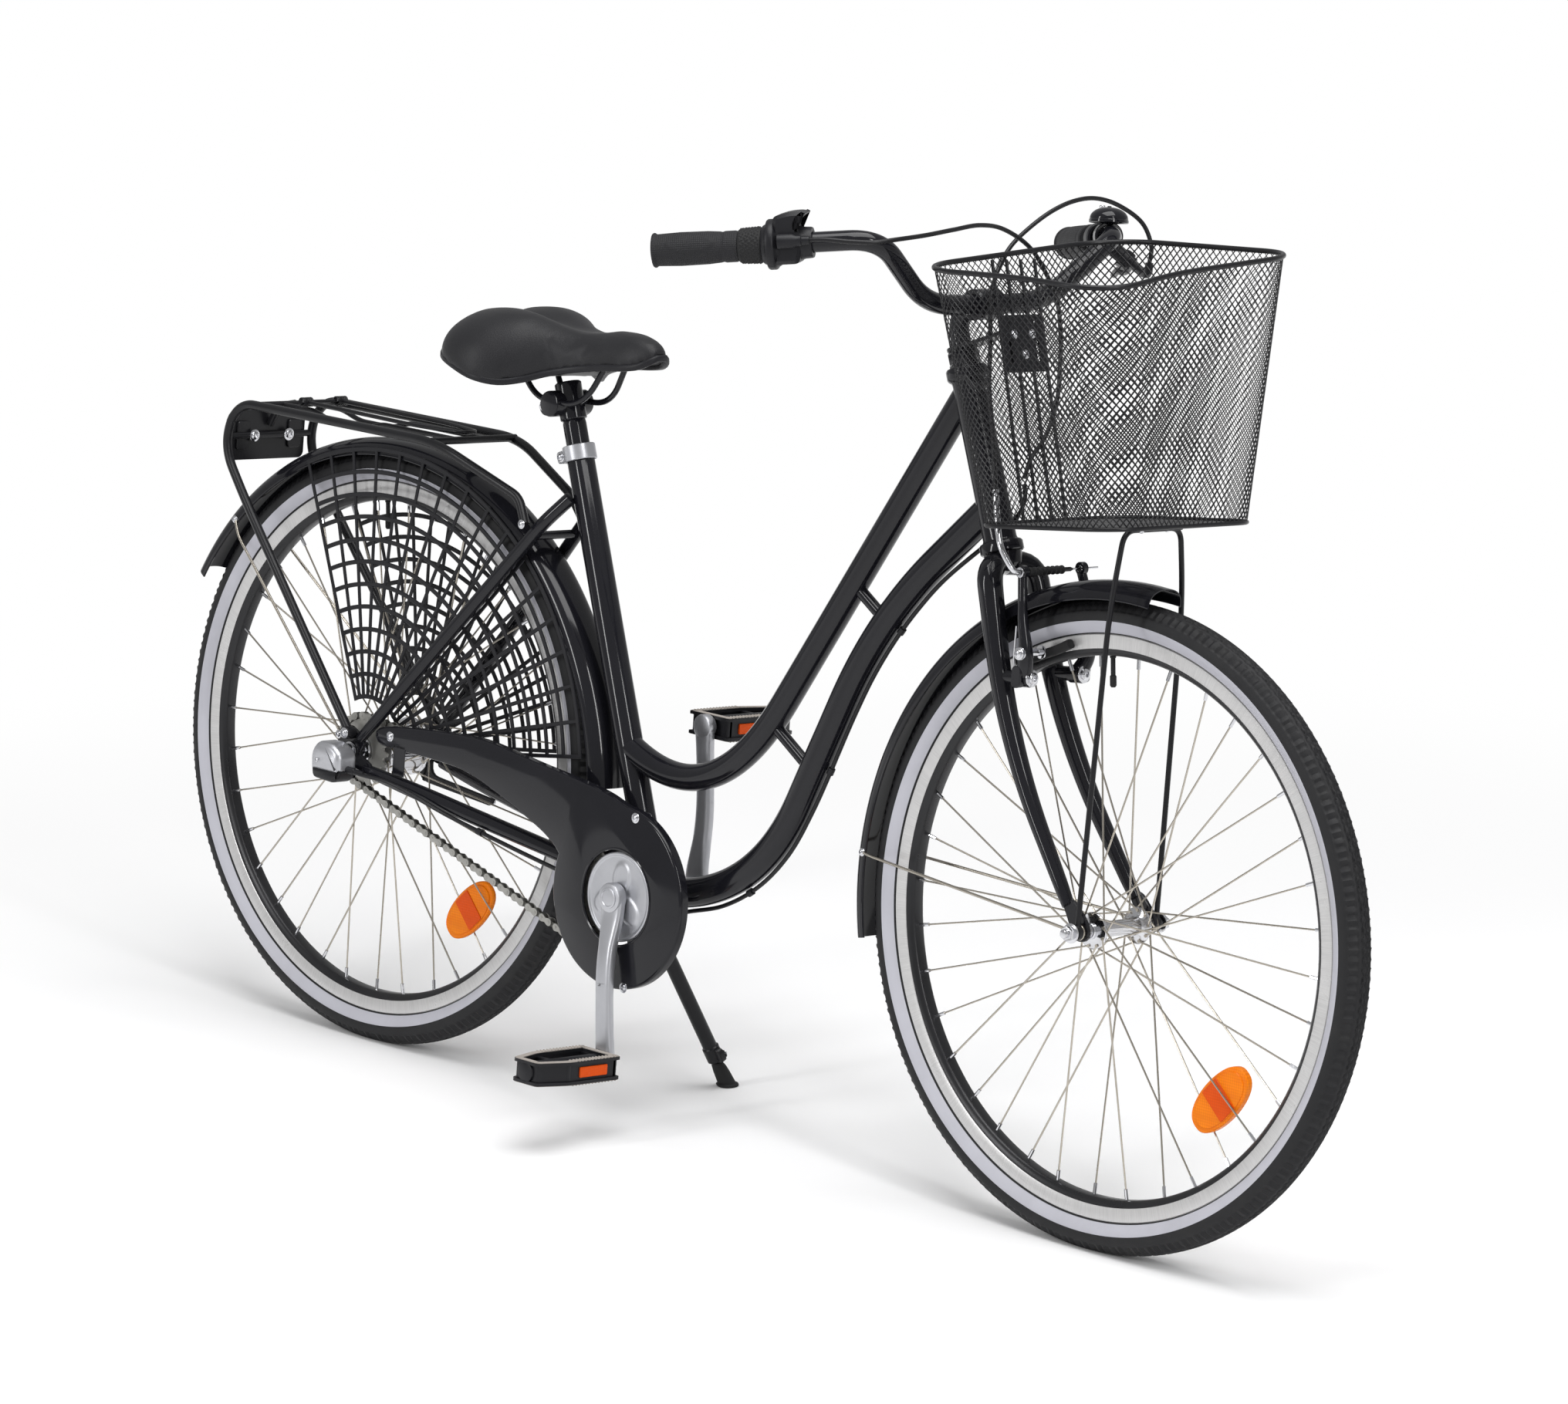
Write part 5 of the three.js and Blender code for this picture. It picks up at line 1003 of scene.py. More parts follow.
rear_fittings = [
    joined(nut(REAR_AXLE + (outside + 1.8) * way, way, 8.6, 8), knob(5, 50, end, REAR_AXLE, way),
           knob(8, washer, 59, REAR_AXLE, way, 0.3))
    for way, end, washer in ((Y, 80, 57.8), (-Y, 75, 50.5))]
piece("rear_axle_nuts", "root", "steel", ["rear_axle"], (joined(*rear_fittings), CHROME))

arm_outline = eased_outline([(-14, 8), (-12, -12), (-6, -42), (6, -45), (118, -54), (122, -45),
                             (12, -34), (14, 8), (8, 14), (-8, 14)], [8, 8, 8, 4, 4, 12, 6, 5, 5])
piece("coaster_arm_pressed", "root", "satin_black", ["coaster_arm"],
      (moved(slab(arm_outline, 53.5, 57.5), REAR_AXLE), POWDER),
      (bolt((118, 57.5, 302), Y, 3.4, 3), CHROME))

# The shift box: a rounded silver cap over a black shoe, on the axle's right end.
cap_outline = eased_outline([(-22, -22), (-24, 0), (-12, 13), (10, 13), (27, 2), (27, -22)],
                            [10, 7, 7, 9, 3], 6)
shoe_outline = eased_outline([(-22, -20), (-20, -32), (18, -34), (27, -24), (27, -18)],
                             [6, 8, 6, 2], 6)


def pillow(outline, near, far, swell):
    """A plate whose faces round off: drawn in by swell * (1 - sqrt(1 - t^2)), to 0.7 swell."""
    t = np.linspace(0, 1, 6)
    shrink = np.minimum(swell * (1 - np.sqrt(np.clip(1 - t**2, 0, 1))), 0.7 * swell)
    below = swell * (1 - t)
    rings = [inset(outline, by) for by in (*shrink[::-1], *shrink)]
    return surface(raised(rings, [*(near + below[::-1]), *(far - below)]))


silver_cap = moved(pillow(cap_outline, 76, 108, 8), REAR_AXLE)
black_shoe = moved(pillow(shoe_outline, 77, 106, 5), REAR_AXLE)
piece("shift_box_cap", "root", "plastic", ["shift_box"],
      (other_side(silver_cap), ALLOY), (other_side(black_shoe), NYLON),
      (other_side(bolt((-10, 107, 341), Y, 2.4, 2.5)), CHROME))
ferrule = turned([(0, 0), (4.2, 0), (4.2, 12), (3.4, 13), (3.4, 24), (2.9, 26), (0, 26)],
                 (25, -92, 334.4), unit(rear_line[-8] - rear_line[-1]), 24)
clips = joined(*(collar(rear_line, at, CABLE, 8, 1.6) for at in (34, 62, 90, 118, 150)))
piece("shift_cable_clips", "root", "cable", [], (joined(ferrule, clips), NYLON))

# ---------------------------------------------------------------- rack

DECK, RAIL_OUT, PLATE_AT = 731, 66, 688
rack_path = eased([(2, 70.4, 373), (-215, RAIL_OUT, 618), (-262, RAIL_OUT, 680),
                   (-236, RAIL_OUT, DECK), (112, RAIL_OUT, DECK), (232, 41, 683), (250, 46, 655)],
                  [40, 36, 28, 36, 12], 12)
rack_rail = joined(tube(rack_path, 5.5, 24), knob(7.5, 64.9, 78, (2, 0, 373), Y, 1.2))
deck_wires = [wire([(-208, y, DECK), (-150, y, DECK), (-118, y, DECK - 9), (-60, y, DECK - 9),
                    (-30, y, DECK), (105, y, DECK)], [10, 12, 12, 10], 3) for y in (-22, 22)]
cross_rods = [tube([(x, -RAIL_OUT, z), (x, RAIL_OUT, z)], r, 20)
              for x, z, r in ((-208, DECK, 4), (105, DECK, 4.5), (-253, PLATE_AT, 4))]
neck = wire([(-254, 0, 700), (-240, 0, 724), (-211, 0, DECK)], [14], 4.5)
plate_face = slab(rounded_box(116, 60, 8, 5), -259.5, -256.5, 0.6, ((0, 0, PLATE_AT), Y, Z, X))
plate_pads = [slab(rounded_box(20, 34, 4, 4), -256.5, -253.5, 0.8, ((0, y, PLATE_AT), Y, Z, X))
              for y in (-40, 40)]
plate_bolts = joined(*(bolt((-259.5, y, PLATE_AT - 2), -X, 4.4, 3) for y in (-27, 27)),
                     *(bolt((-249.4, y, PLATE_AT), X, 5, 3) for y in (-27, 27)))
end_bolts = joined(both(bolt((2, 78, 373), Y, 4.4, 4)), both(bolt((250, 51, 655), Y, 3.6, 3)))
piece("rack_tubes", "root", "satin_black", ["rack_frame"],
      (joined(both(rack_rail), *deck_wires, *cross_rods, neck, plate_face, *plate_pads), POWDER),
      (joined(plate_bolts, end_bolts), CHROME))

CLIP_LEVEL = 738.6
clip_pivot = np.array([-160.0, 0, 740.2])


def coil(centre, half, radius, turns, gauge):
    """A wound spring: point = centre + radius * (cos, 0, sin) of the turns, climbing across."""
    a = np.linspace(0, turns * tau, turns * 14)
    y = np.linspace(-half, half, len(a))
    path = centre + np.stack([radius * np.cos(a), y, radius * np.sin(a)], -1)
    return tube(path, gauge, 8)


clip_loop = wire([clip_pivot - 27 * Y, (38, -27, CLIP_LEVEL), (98, -12, CLIP_LEVEL),
                  (98, 12, CLIP_LEVEL), (38, 27, CLIP_LEVEL), clip_pivot + 27 * Y],
                 [24, 12, 12, 24], 2.5)
clip_coils = [coil(clip_pivot + y * Y, 8.5, 4.4, 6, 1.5) for y in (-27, 27)]
clip_pin = tube([clip_pivot - 36 * Y, clip_pivot + 36 * Y], 2.5, 16)
piece("rack_clip_sprung", "rack_clip", "satin_black", ["rack_clip"],
      (joined(clip_loop, clip_pin, *clip_coils), POWDER))

# ---------------------------------------------------------------- stand

DOWN = np.array([0, sin(LEAN), -cos(LEAN)])
stand_foot = np.array([444.0, 157, 16])
stand_top = KICK_PIVOT + 10 * KICK_AXIS
stand_run = stand_foot - stand_top
knee = stand_top + 0.8 * stand_run
axis_down = unit(stand_run)
leg = joined(knob(11, 0, 20, KICK_PIVOT, KICK_AXIS, 1.4), tube([stand_top, knee], 8.5, 28),
             band(6, 10, -10, 10, knee, axis_down, 1.5, 32),
             tube([knee, stand_foot - 12 * axis_down], 5.5, 24))
ear_side = np.cross(X, axis_down)
ear = slab(rounded_box(16, 18, 6, 5), -4, 4, 1, (knee + 9 * X, X, axis_down, ear_side))
to_floor = AXLE_PLACE[2] * PER_MM - (stand_foot - REAR_AXLE) @ DOWN
sole = stand_foot + axis_down * to_floor / (axis_down @ DOWN)
slant = DOWN - axis_down / (axis_down @ DOWN)
shoe = turned([(0, 0.2), (12.2, 0.2), (13, 1.2), (13, 3), (10.6, 4.4), (9.6, 18), (8.4, 26),
               (6.6, 30), (0, 30)], (0, 0, 0), -DOWN, 40)
# The sole lies flat on the floor while the shoe leans with the leg: sideways = height * slant.
shoe = Shape(sole + shoe.points - (shoe.points @ DOWN)[:, None] * slant, shoe.faces, shoe.runs)
piece("stand_leg_tube", "stand", "enamel", ["stand_leg"], (joined(leg, ear), POWDER),
      (shoe, SHOE_RUBBER), (bolt(knee + 14 * X + 4 * ear_side, ear_side, 3.4, 3), CHROME))

# ---------------------------------------------------------------- wheels


def tyre_shapes(axle, tread_steps=720):
    """A tyre's section about its own middle, turned about the axle: the black and the pale parts.

    radius = core + r cos a, across = r sin a, for a from the left bead to the right one. The tread
    is cut by zigzag grooves round it and by notches across its shoulders, up to 1.9 mm deep.
    """
    sides = np.linspace(96, 144, 9)
    a = np.radians(np.concatenate([-sides[::-1], np.linspace(-92, 92, 57), sides]))[:, None]
    turn = (np.arange(tread_steps) * tau / tread_steps)[None]
    lateral = TYRE["section"] * a
    off_middle = np.abs(lateral)
    core = TYRE["radius"] - TYRE["section"]
    swing = np.abs((TREAD["pitches"] * turn / tau) % 1 - 0.5)

    def groove(distance, wide):
        return np.clip(1.5 - np.abs(distance) / wide, 0, 1)

    zigzag = 1.6 * (2 * swing - 0.5) * 2
    cut_in = np.maximum(groove(off_middle - 4.6 - zigzag, 1.0), groove(lateral - zigzag, 0.8) * 0.7)
    shoulder = np.clip((off_middle - 9) / 2, 0, 1) * np.clip((23 - off_middle) / 2, 0, 1)
    notch = np.clip(1.7 - 4.6 * swing, 0, 1) * shoulder
    r = TYRE["section"] - TREAD["depth"] * np.maximum(cut_in, notch)
    radius = core + r * np.cos(a)
    across = r * np.sin(a) + 0 * turn
    points = axle + np.stack([radius * np.cos(turn), across, radius * np.sin(turn)], -1)
    black, pale = (joined(*(surface(points[rows], capped=False) for rows in groups))
                   for groups in ((slice(8, -8), [-1, 0], slice(0, 2), slice(-2, None)),
                                  (slice(1, 9), slice(-9, -1))))
    return black, pale


def wheel(end, body, axle, hub_profile, hub, reflector_turn, reflector_thick):
    """A laced wheel: tyre, rim, 36 spokes with nipples, hub, valve and reflector."""
    black, pale = tyre_shapes(axle)
    piece(f"{end}_tyre_cover", body, "tyre", [f"{end}_tyre"], (black, RUBBER), (pale, WHITEWALL))
    edge, half, shoulder, well = RIM["edge"], RIM["half"], RIM["shoulder"], RIM["well"]
    track = [(edge, 9.6), (edge + 0.4, 11.4), (edge - 0.6, half), (shoulder + 1, half),
             (shoulder, half - 0.6), (shoulder, 9.6), (edge, 9.6)]
    slope = [(shoulder - 1, half - 0.9), (well + 3, 9.2), (well + 0.8, 7.4), (well, 5.5)]
    top = [(shoulder + 1.5, 1 - half), (shoulder + 1.5, half - 1)]
    box_section = [*top, *slope, *((r, -y) for r, y in slope[::-1]), top[0]]
    dark, bright = turned(box_section, axle, Y, 180), both(turned(track, axle, Y, 180))
    piece(f"{end}_rim_rolled", body, "aluminium", [f"{end}_rim"], (dark, RIM_BLACK),
          (bright, TRACK))
    i = np.arange(SPOKES["count"])
    side = np.where(i % 2, 1, -1)
    lead = np.where(i % 4 < 2, 1, -1)
    rim_angle = tau * i / SPOKES["count"]
    hub_angle = rim_angle + lead * SPOKES["crossing"]

    def ring_points(r, y, angle):
        return axle + np.stack([r * np.cos(angle), y, r * np.sin(angle)], -1)

    feet_across = side * (hub["flange_at"] + lead * SPOKES["side"])
    feet = ring_points(hub["flange"] - 3, feet_across, hub_angle)
    tips = ring_points(well + 1, side * 2.0, rim_angle)
    head = 1.2 * (side * lead)[:, None] * Y
    spokes = joined(rods(feet, tips, SPOKES["radius"], 6), rods(feet - head, feet + head, 1.9, 8))
    nipples = rods(tips - 13 * unit(tips - feet), tips, 2.0, 8)
    piece(f"{end}_spokes", body, "steel", [], (spokes, STAINLESS), (nipples, CHROME))
    piece(f"{end}_hub_turned", body, "aluminium", [f"{end}_hub"],
          (turned(hub_profile, axle, Y, 64), CHROME))
    out = np.array([cos(VALVE_TURN), 0, sin(VALVE_TURN)])
    valve = turned([(0, -2), (3.4, -2), (3.4, 3), (2.6, 4), (2.6, 22), (3.6, 23), (3.6, 33),
                    (2.2, 35), (0, 35)], axle + (well + 1) * out, -out, 20)
    piece(f"{end}_tyre_valve", body, "rubber", [], (valve, SHOE_RUBBER))
    radial = np.array([cos(reflector_turn), 0, sin(reflector_turn)])
    tangent = np.array([-radial[2], 0, radial[0]])
    at = (axle + REFLECTOR["reach"] * radial, radial, tangent, Y)
    long, wide, thick = REFLECTOR["long"] / 2, REFLECTOR["wide"] / 2, reflector_thick / 2
    angle = np.arange(48) * tau / 48
    oval = np.stack([wide * powered(np.cos(angle), 0.8), long * np.sin(angle)], -1)
    plate = joined(slab(oval, 1.2 - thick, thick - 1.2, 1.2, at),
                   slab(0.86 * oval, -thick, thick, 0.8, at))
    strips = [slab(rounded_box(2 * wide - 8, 26, 2, 3), near, far, 0.5, at)
              for near, far in ((thick - 0.4, thick + 1.0), (-thick - 1.0, 0.4 - thick))]
    piece(f"{end}_spoke_reflector", body, "amber", [f"{end}_reflector"], (plate, AMBER),
          (joined(*strips), DEEP_AMBER))


def mirrored_profile(half):
    """A closed profile of a hub: the half from its left end, then the same half mirrored."""
    left = [(radius, -height) for radius, height in half]
    return [*left, *half[::-1], left[0]]


front_profile = mirrored_profile([
    (5.4, 42), (8, 42), (9, 41), (9, 37.5), (12, 36.9), (19, 36.6), (20, 35.6), (20, 34.4),
    (19, 33.6), (12, 33), (9.6, 31), (8.6, 24)])
rear_profile = [(5.4, -50), (15, -50), (16, -49), (16, -36), (24, -34), (28, -31.6), (33, -31.2),
                (34, -30.4), (34, -28.6), (33, -28), (29.6, -27.4), (28.6, -24), (28.2, 0),
                (28.6, 24), (29.6, 27.4), (33, 28), (34, 28.6), (34, 30.4), (33, 31.2), (26, 32),
                (25, 33.5), (24.6, 44), (22, 49), (17, 50), (5.4, 50), (5.4, -50)]
wheel("front", "front_wheel", FRONT_AXLE, front_profile, FRONT_HUB, radians(-42), 10.8)
wheel("rear", "rear_wheel", REAR_AXLE, rear_profile, REAR_HUB, radians(-47), 8.0)

front_nuts = joined(nut(FRONT_AXLE + 70.5 * Y, Y, 8.6, 8), knob(5, 43, 80, FRONT_AXLE, Y),
                    knob(8, 42.3, 50.2, FRONT_AXLE, Y, 1.2))
piece("front_axle_nuts", "steering", "steel", ["front_axle"], (both(front_nuts), CHROME))

# ---------------------------------------------------------------- sprockets and cranks


def toothed(teeth, hole, near, far, centre):
    """A sprocket: radius = pitch radius - 0.6 + 3.4 * (1.5 cos(teeth * turn), held within 1)."""
    count = teeth * 8
    angle = np.arange(count) * tau / count
    pitch_radius = teeth * PITCH / tau
    tooth = np.clip(1.5 * np.cos(angle * teeth), -1, 1)
    around = np.stack([np.cos(angle), np.sin(angle)], -1)
    outer = (pitch_radius - 0.6 + 3.4 * tooth)[:, None] * around
    return holed(outer, hole * around, near, far, (centre, X, Z, -Y))


piece("rear_sprocket_teeth", "rear_sprocket", "steel", ["rear_sprocket"],
      (toothed(TEETH["rear"], 16.5, 43.6, 46.4, REAR_AXLE), CHAIN_STEEL))
ring_teeth = toothed(TEETH["front"], 62, 43.8, 46.2, BRACKET)
spider = [slab([(8, -9), (66, -7), (66, 7), (8, 9)], 42, 48, 0.8,
               (BRACKET, (cos(a), 0, sin(a)), (-sin(a), 0, cos(a)), -Y))
          for a in np.arange(5) * tau / 5]
ring_boss = band(8.8, 22, 44, 56, BRACKET, -Y, 0.6)


def round_cover(sides=120):
    """The cover's height over its face: 1.6 mm inside three smooth lobes, and 1.6 mm at its rim."""
    r = np.concatenate([np.linspace(0, 46, 40), [47, 47.6, 48.2, 50, 50.8, 51, 51]])[:, None]
    angle = (np.arange(sides) * tau / sides)[None]
    lobe = 26 + 14 * np.cos(3 * (angle + CRANK["turn"] - pi / 2))
    rise = 1.6 / (1 + np.exp(np.clip((r - lobe) / 1.1, -30, 30)))
    rim = np.interp(r, [0, 46, 46.8, 48, 50.2, 51, 51.01], [0, 0, 0.2, 1.6, 1.6, 0.9, -1.6])
    height = 57.2 + np.where(r < 46.5, rise, 0) + rim
    rows = np.stack([r * np.cos(angle), -height + 0 * angle, r * np.sin(angle)], -1)
    back = rows[-1:] * [1, 0, 1] - [0, 56, 0]
    closing = back * [0, 1, 0]
    return moved(surface(np.concatenate([rows, back, closing])), BRACKET)


piece("chainring_toothed", "crankset", "aluminium", ["chainring"],
      (joined(ring_teeth, *spider, ring_boss), CHAIN_STEEL), (round_cover(), ALLOY))
piece("crank_axle_turned", "crankset", "steel", ["crank_axle"],
      (knob(8.5, -66, 66, BRACKET, Y, 0.8), CHROME))


def crank_arm(hand, up):
    """An arm: a rounded section whose width and thickness follow the path from boss to eye."""
    path = even(eased([(0, 66, -2), (0, 66, 18), (0, 80, 74), (0, 82, 120), (0, 82, 186)],
                      [12, 26, 26], 10), 46)
    share = path[:, 2] / CRANK["length"]
    width = np.interp(share, [0, 0.12, 0.3, 0.6, 0.85, 1.0], [34, 30, 23, 21.5, 23, 26])
    thick = np.interp(share, [0, 0.12, 0.3, 0.9, 1.0], [12, 12.5, 13, 11.5, 12])
    t = np.arange(28) * tau / 28
    unit_box = np.stack([powered(np.cos(t), 0.45), powered(np.sin(t), 0.6)], -1) / 2
    beam = carried(path, unit_box, Y, np.stack([width, thick], -1))
    eye = (0, 0, CRANK["length"])
    arm = joined(beam, knob(17, 60.2, 73.6, (0, 0, 0), Y, 2.4, 48), knob(14, 76, 88, eye, Y, 2, 40))
    cap = turned([(0, 73), (12, 73), (12, 74.6), (11, 75.2), (9.6, 75.2), (9, 74.4), (6, 74.6),
                  (0, 74.9)], (0, 0, 0), Y, 40)
    spindle = joined(knob(6, 77, 196, eye, Y, 0.8, 24), knob(8, 88, 92, eye, Y, 0.8, 6))
    turn = np.array([np.cross(Y, up), hand * Y, up])
    return [Shape(s.points @ turn + BRACKET, s.faces, s.runs) for s in (arm, cap, spindle)]


crank_up = np.array([-sin(CRANK["turn"]), 0, cos(CRANK["turn"])])


def pedal_shapes(hand, centre):
    """A block pedal: a tapered cage with two gritted tread edges, a barrel and amber lenses."""
    out = hand * Y
    at = (centre, X, out, Z)
    half, straight, long = 32, 78, 117.7
    plan = eased_outline([(-half, 0), (half, 0), (half, straight), (20, long), (-20, long),
                          (-half, straight)], [4, 8, 5, 5, 8])
    plan = even(np.concatenate([plan, plan[:1]]), 97)[:-1]
    edges = [holed(plan, inset(plan, 10), near, far, at) for near, far in ((-13, -9.4), (9.4, 13))]
    treads = [holed(inset(plan, 0.6), inset(plan, 8.6), near, far, at)
              for near, far in ((-13.6, -12.8), (12.8, 13.6))]
    wall = holed(inset(plan, 3), inset(plan, 7), -9.6, 9.6, at)
    barrel = turned([(6.5, 0.6), (11, 0.6), (11, 110), (9, 117), (6.5, 117), (6.5, 0.6)], centre,
                    out, 28)
    bars = [slab(rounded_box(58, 7, 2, 2), -9.6, 9.6, 0.6, (centre + y * out, X, out, Z))
            for y in (7, 76)]
    ridges_at = np.array([(sx * 27, y, sz * 13.6) for sx in (-1, 1) for sz in (-1, 1)
                          for y in np.arange(6, straight - 2, 5.0)]) * [1, hand, 1]
    ridges = rods(centre + ridges_at - 4.4 * X, centre + ridges_at + 4.4 * X, 1.0, 6)
    lenses = [slab(rounded_box(42, 12, 1, 2), 28.4, 31, 0.6, (centre + 40 * out, out, Z, sx * X))
              for sx in (-1, 1)]
    cap = knob(12, 110, long, centre, out, 1.6, 28)
    return joined(*edges, wall, barrel, *bars, cap), joined(*lenses), joined(ridges, *treads)


for (side, hand, _), up in zip(SIDES, (crank_up, -crank_up)):
    arm_shape, cap_shape, spindle = crank_arm(hand, up)
    piece(f"{side}_crank_forged", "crankset", "aluminium", [f"{side}_crank"], (arm_shape, ALLOY),
          (cap_shape, ALLOY), (spindle, CHROME))
    pedal_foot = BRACKET + CRANK["length"] * up + hand * CRANK["face"] * Y
    cage, lenses, grit = pedal_shapes(hand, pedal_foot)
    piece(f"{side}_pedal_cage", f"{side}_pedal", "plastic", [f"{side}_pedal"], (cage, NYLON),
          (lenses, DEEP_AMBER), (grit, GRIT))

# ---------------------------------------------------------------- fork and brakes

BRAKE_AXIS = unit(np.array([0.993, 0, 0.116]))
BOSS_FOOT = np.array([1002.0, 41, 599.5])
CALIPER = np.array([1028.0, 0, 717])
CALIPER_TOP = CALIPER + 46 * Y


def on_boss(distance):
    """A point on a brake boss's axis."""
    return BOSS_FOOT + distance * BRAKE_AXIS


blade_path = even(eased([(957, 3, 714), (967, 36, 714), (1021, 44, 536), (1138, 53, 376)],
                        [24, 110], 16), 70)
blade_share = np.linspace(0, 1, 70)
blade_radius = np.interp(blade_share, [0, 0.1, 0.2, 0.5, 0.95, 1], [13, 14, 13.4, 11.4, 8, 7])
end_outline = eased_outline([(-32, 31), (-14, 0), (-6, -11), (8, -10), (13, 0), (6, 14),
                             (-14, 33)], [8, 5, 6, 6, 6, 8])
fork_end = moved(slab(end_outline, FORK_END["inner"], FORK_END["inner"] + FORK_END["sheet"], 0.8),
                 FRONT_AXLE)
boss = joined(tube([on_boss(0), on_boss(28)], 8, 24), tube([on_boss(20), on_boss(47)], 4, 16))
fork_half = joined(tube(blade_path, blade_radius, 36), fork_end, boss)
steerer = turned([(11.4, -6), (12.7, -6), (12.7, 202.3), (11.4, 202.3), (11.4, -6)], HEAD_FOOT,
                 STEERING_UP, 40)
crown = turned([(0, -22), (15, -22), (19.5, -18), (20.5, -10), (21, -4.6), (0, -4.6)], HEAD_FOOT,
               STEERING_UP, 48)
locknut = turned([(11.4, 202.4), (17, 202.4), (17.6, 203.4), (17.6, 206), (16.8, 207),
                  (16.8, 207.6), (17, 208), (17, 219), (15.6, 221.2), (11.4, 221.2),
                  (11.4, 202.4)], HEAD_FOOT, STEERING_UP, 8)
piece("fork_blades", "steering", "enamel", ["fork"],
      (joined(both(fork_half), steerer, crown, locknut), ENAMEL))
piece("fork_boss_bolts", "steering", "steel", [],
      (both(bolt(on_boss(46), BRAKE_AXIS, 6.4, 5)), CHROME))

arm_line = even(smooth([on_boss(37) + [0, 2, 2], (1044, 48, 622), (1043, 50, 642),
                        (1037, 50.5, 668), (1034, 50, 690), CALIPER_TOP - 4 * Z], 60), 44)
arm_radius = np.interp(np.linspace(0, 1, 44), [0, 0.2, 0.42, 0.7, 1], [9.5, 8.4, 6.6, 5.2, 5.4])
arm_body = joined(
    tube(arm_line, arm_radius, 24),
    band(4.5, 10, 28.3, 45, BOSS_FOOT, BRAKE_AXIS, 1.4, 36),
    band(3.6, 7, -4, 4, CALIPER_TOP, Y, 0.8, 28),
    slab(rounded_box(14, 24, 5, 4), -4, 4, 1.2, (on_boss(36) + [0, 11, 2], BRAKE_AXIS, Z, Y)))
pad_line = np.array([(1007, 19.2, 616), (1024, 19.2, 621), (1044, 19.2, 629.4), (1064, 19.2, 638),
                     (1080, 19.2, 646.5)])
pad = carried(smooth(pad_line, 24), rounded_box(10, 10.5, 3, 3), Y)
rib_at = smooth(pad_line, 7)[1:-1]
pad_ribs = rods(rib_at + 5.4 * Z, rib_at - 5.4 * Z, 0.9, 6)
STUD_AT = np.array([1044.0, 0, 632])
stud = joined(knob(4, 22, 60, STUD_AT, Y, 0.8, 24), knob(7.5, 24.6, 27, STUD_AT, Y, 0.6, 28),
              knob(7, 56, 58, STUD_AT, Y, 0.5, 28))
pad_bolt = bolt(STUD_AT + 59.6 * Y, Y, 4.6, 4)
spring = wire([on_boss(30) + [0, 6, 0], (1030, 52, 620), (1033, 55, 660)], [10], 1.0, 8)
for side, _, turn in SIDES:
    piece(f"{side}_brake_arm_forged", f"{side}_brake_arm", "satin_black", [f"{side}_brake_arm"],
          (turn(arm_body), ENAMEL), (turn(joined(pad, pad_ribs)), SHOE_RUBBER),
          (turn(joined(stud, pad_bolt, spring)), CHROME))


def nearest(path, target):
    """The number of the station closest to a point."""
    return int(np.argmin(np.linalg.norm(path - np.asarray(target, float), axis=1)))


noodle_end = nearest(brake_line, CALIPER - 50 * Y)
noodle = brake_line[nearest(brake_line, (984, -53, 800)) : noodle_end]
boot_at = np.linspace(-38, 16, 40)
boot_radius = 4.2 + 0.7 * np.cos(boot_at * tau / 7)
boot = turned([(2.7, -38), *zip(boot_radius, boot_at), (2.7, 16), (2.7, -38)], CALIPER, Y, 28)
bare_wire = tube([CALIPER + 27 * Y, CALIPER + 71 * Y], 1.1, 10)
piece("brake_noodle", "steering", "steel", [], (joined(tube(noodle, 3.3, 20), bare_wire), CHROME),
      (collar(brake_line, noodle_end, 2.6, 7, 3), CHROME))
piece("brake_cable_boot", "steering", "rubber", [], (boot, SHOE_RUBBER))

stay_inner = FORK_END["inner"] + FORK_END["sheet"] + 3.6
stay_level = basket_floor(1166) - 3.3
basket_leg = wire([(1166, 0, stay_level), (1166, 44, stay_level), (1166, 57, 700),
                   FRONT_AXLE + [2, stay_inner + 3, 7]], [16, 44], 3, 16)
stay_tab = slab(rounded_box(34, 60, 6, 4), -1.4, 0.2, 0.4, ((1168, 0, stay_level + 2.4), X, Y, Z))
tab_bolts = joined(*(bolt((1168, y, stay_level + 1), -Z, 3, 4) for y in (-20, 20)))
stay_eye = band(5.4, 9, stay_inner, stay_inner + 6, FRONT_AXLE, Y, 0.8, 32)
piece("basket_stay_wire", "steering", "satin_black", ["basket_stay"],
      (joined(both(joined(basket_leg, stay_eye)), stay_tab), POWDER), (tab_bolts, CHROME))

# ---------------------------------------------------------------- stem, bar and grips

BAR_END = np.array([716.0, 325, 1028])
BAR_BEND = np.array([913.0, 185, 1062])
BAR_CENTRE = np.array([897.5, 0, 987])
BAR_IN = unit(BAR_BEND - BAR_END)
LEVER_SIDE = np.array([0.573, 0.819, 0])
BAR_UP = unit(np.cross(BAR_IN, LEVER_SIDE))
LEVER_OUT = unit(LEVER_SIDE * cos(radians(38)) - BAR_UP * sin(radians(38)))
LEVER_AXIS = unit(np.cross(BAR_IN, LEVER_OUT))
LEVER_AT = 158


def on_bar(s):
    """A point on the left end of the bar, s mm inwards from its end."""
    return BAR_END + s * BAR_IN


def on_lever(s, out):
    """A point beside the bar, towards the brake lever."""
    return on_bar(s) + out * LEVER_OUT


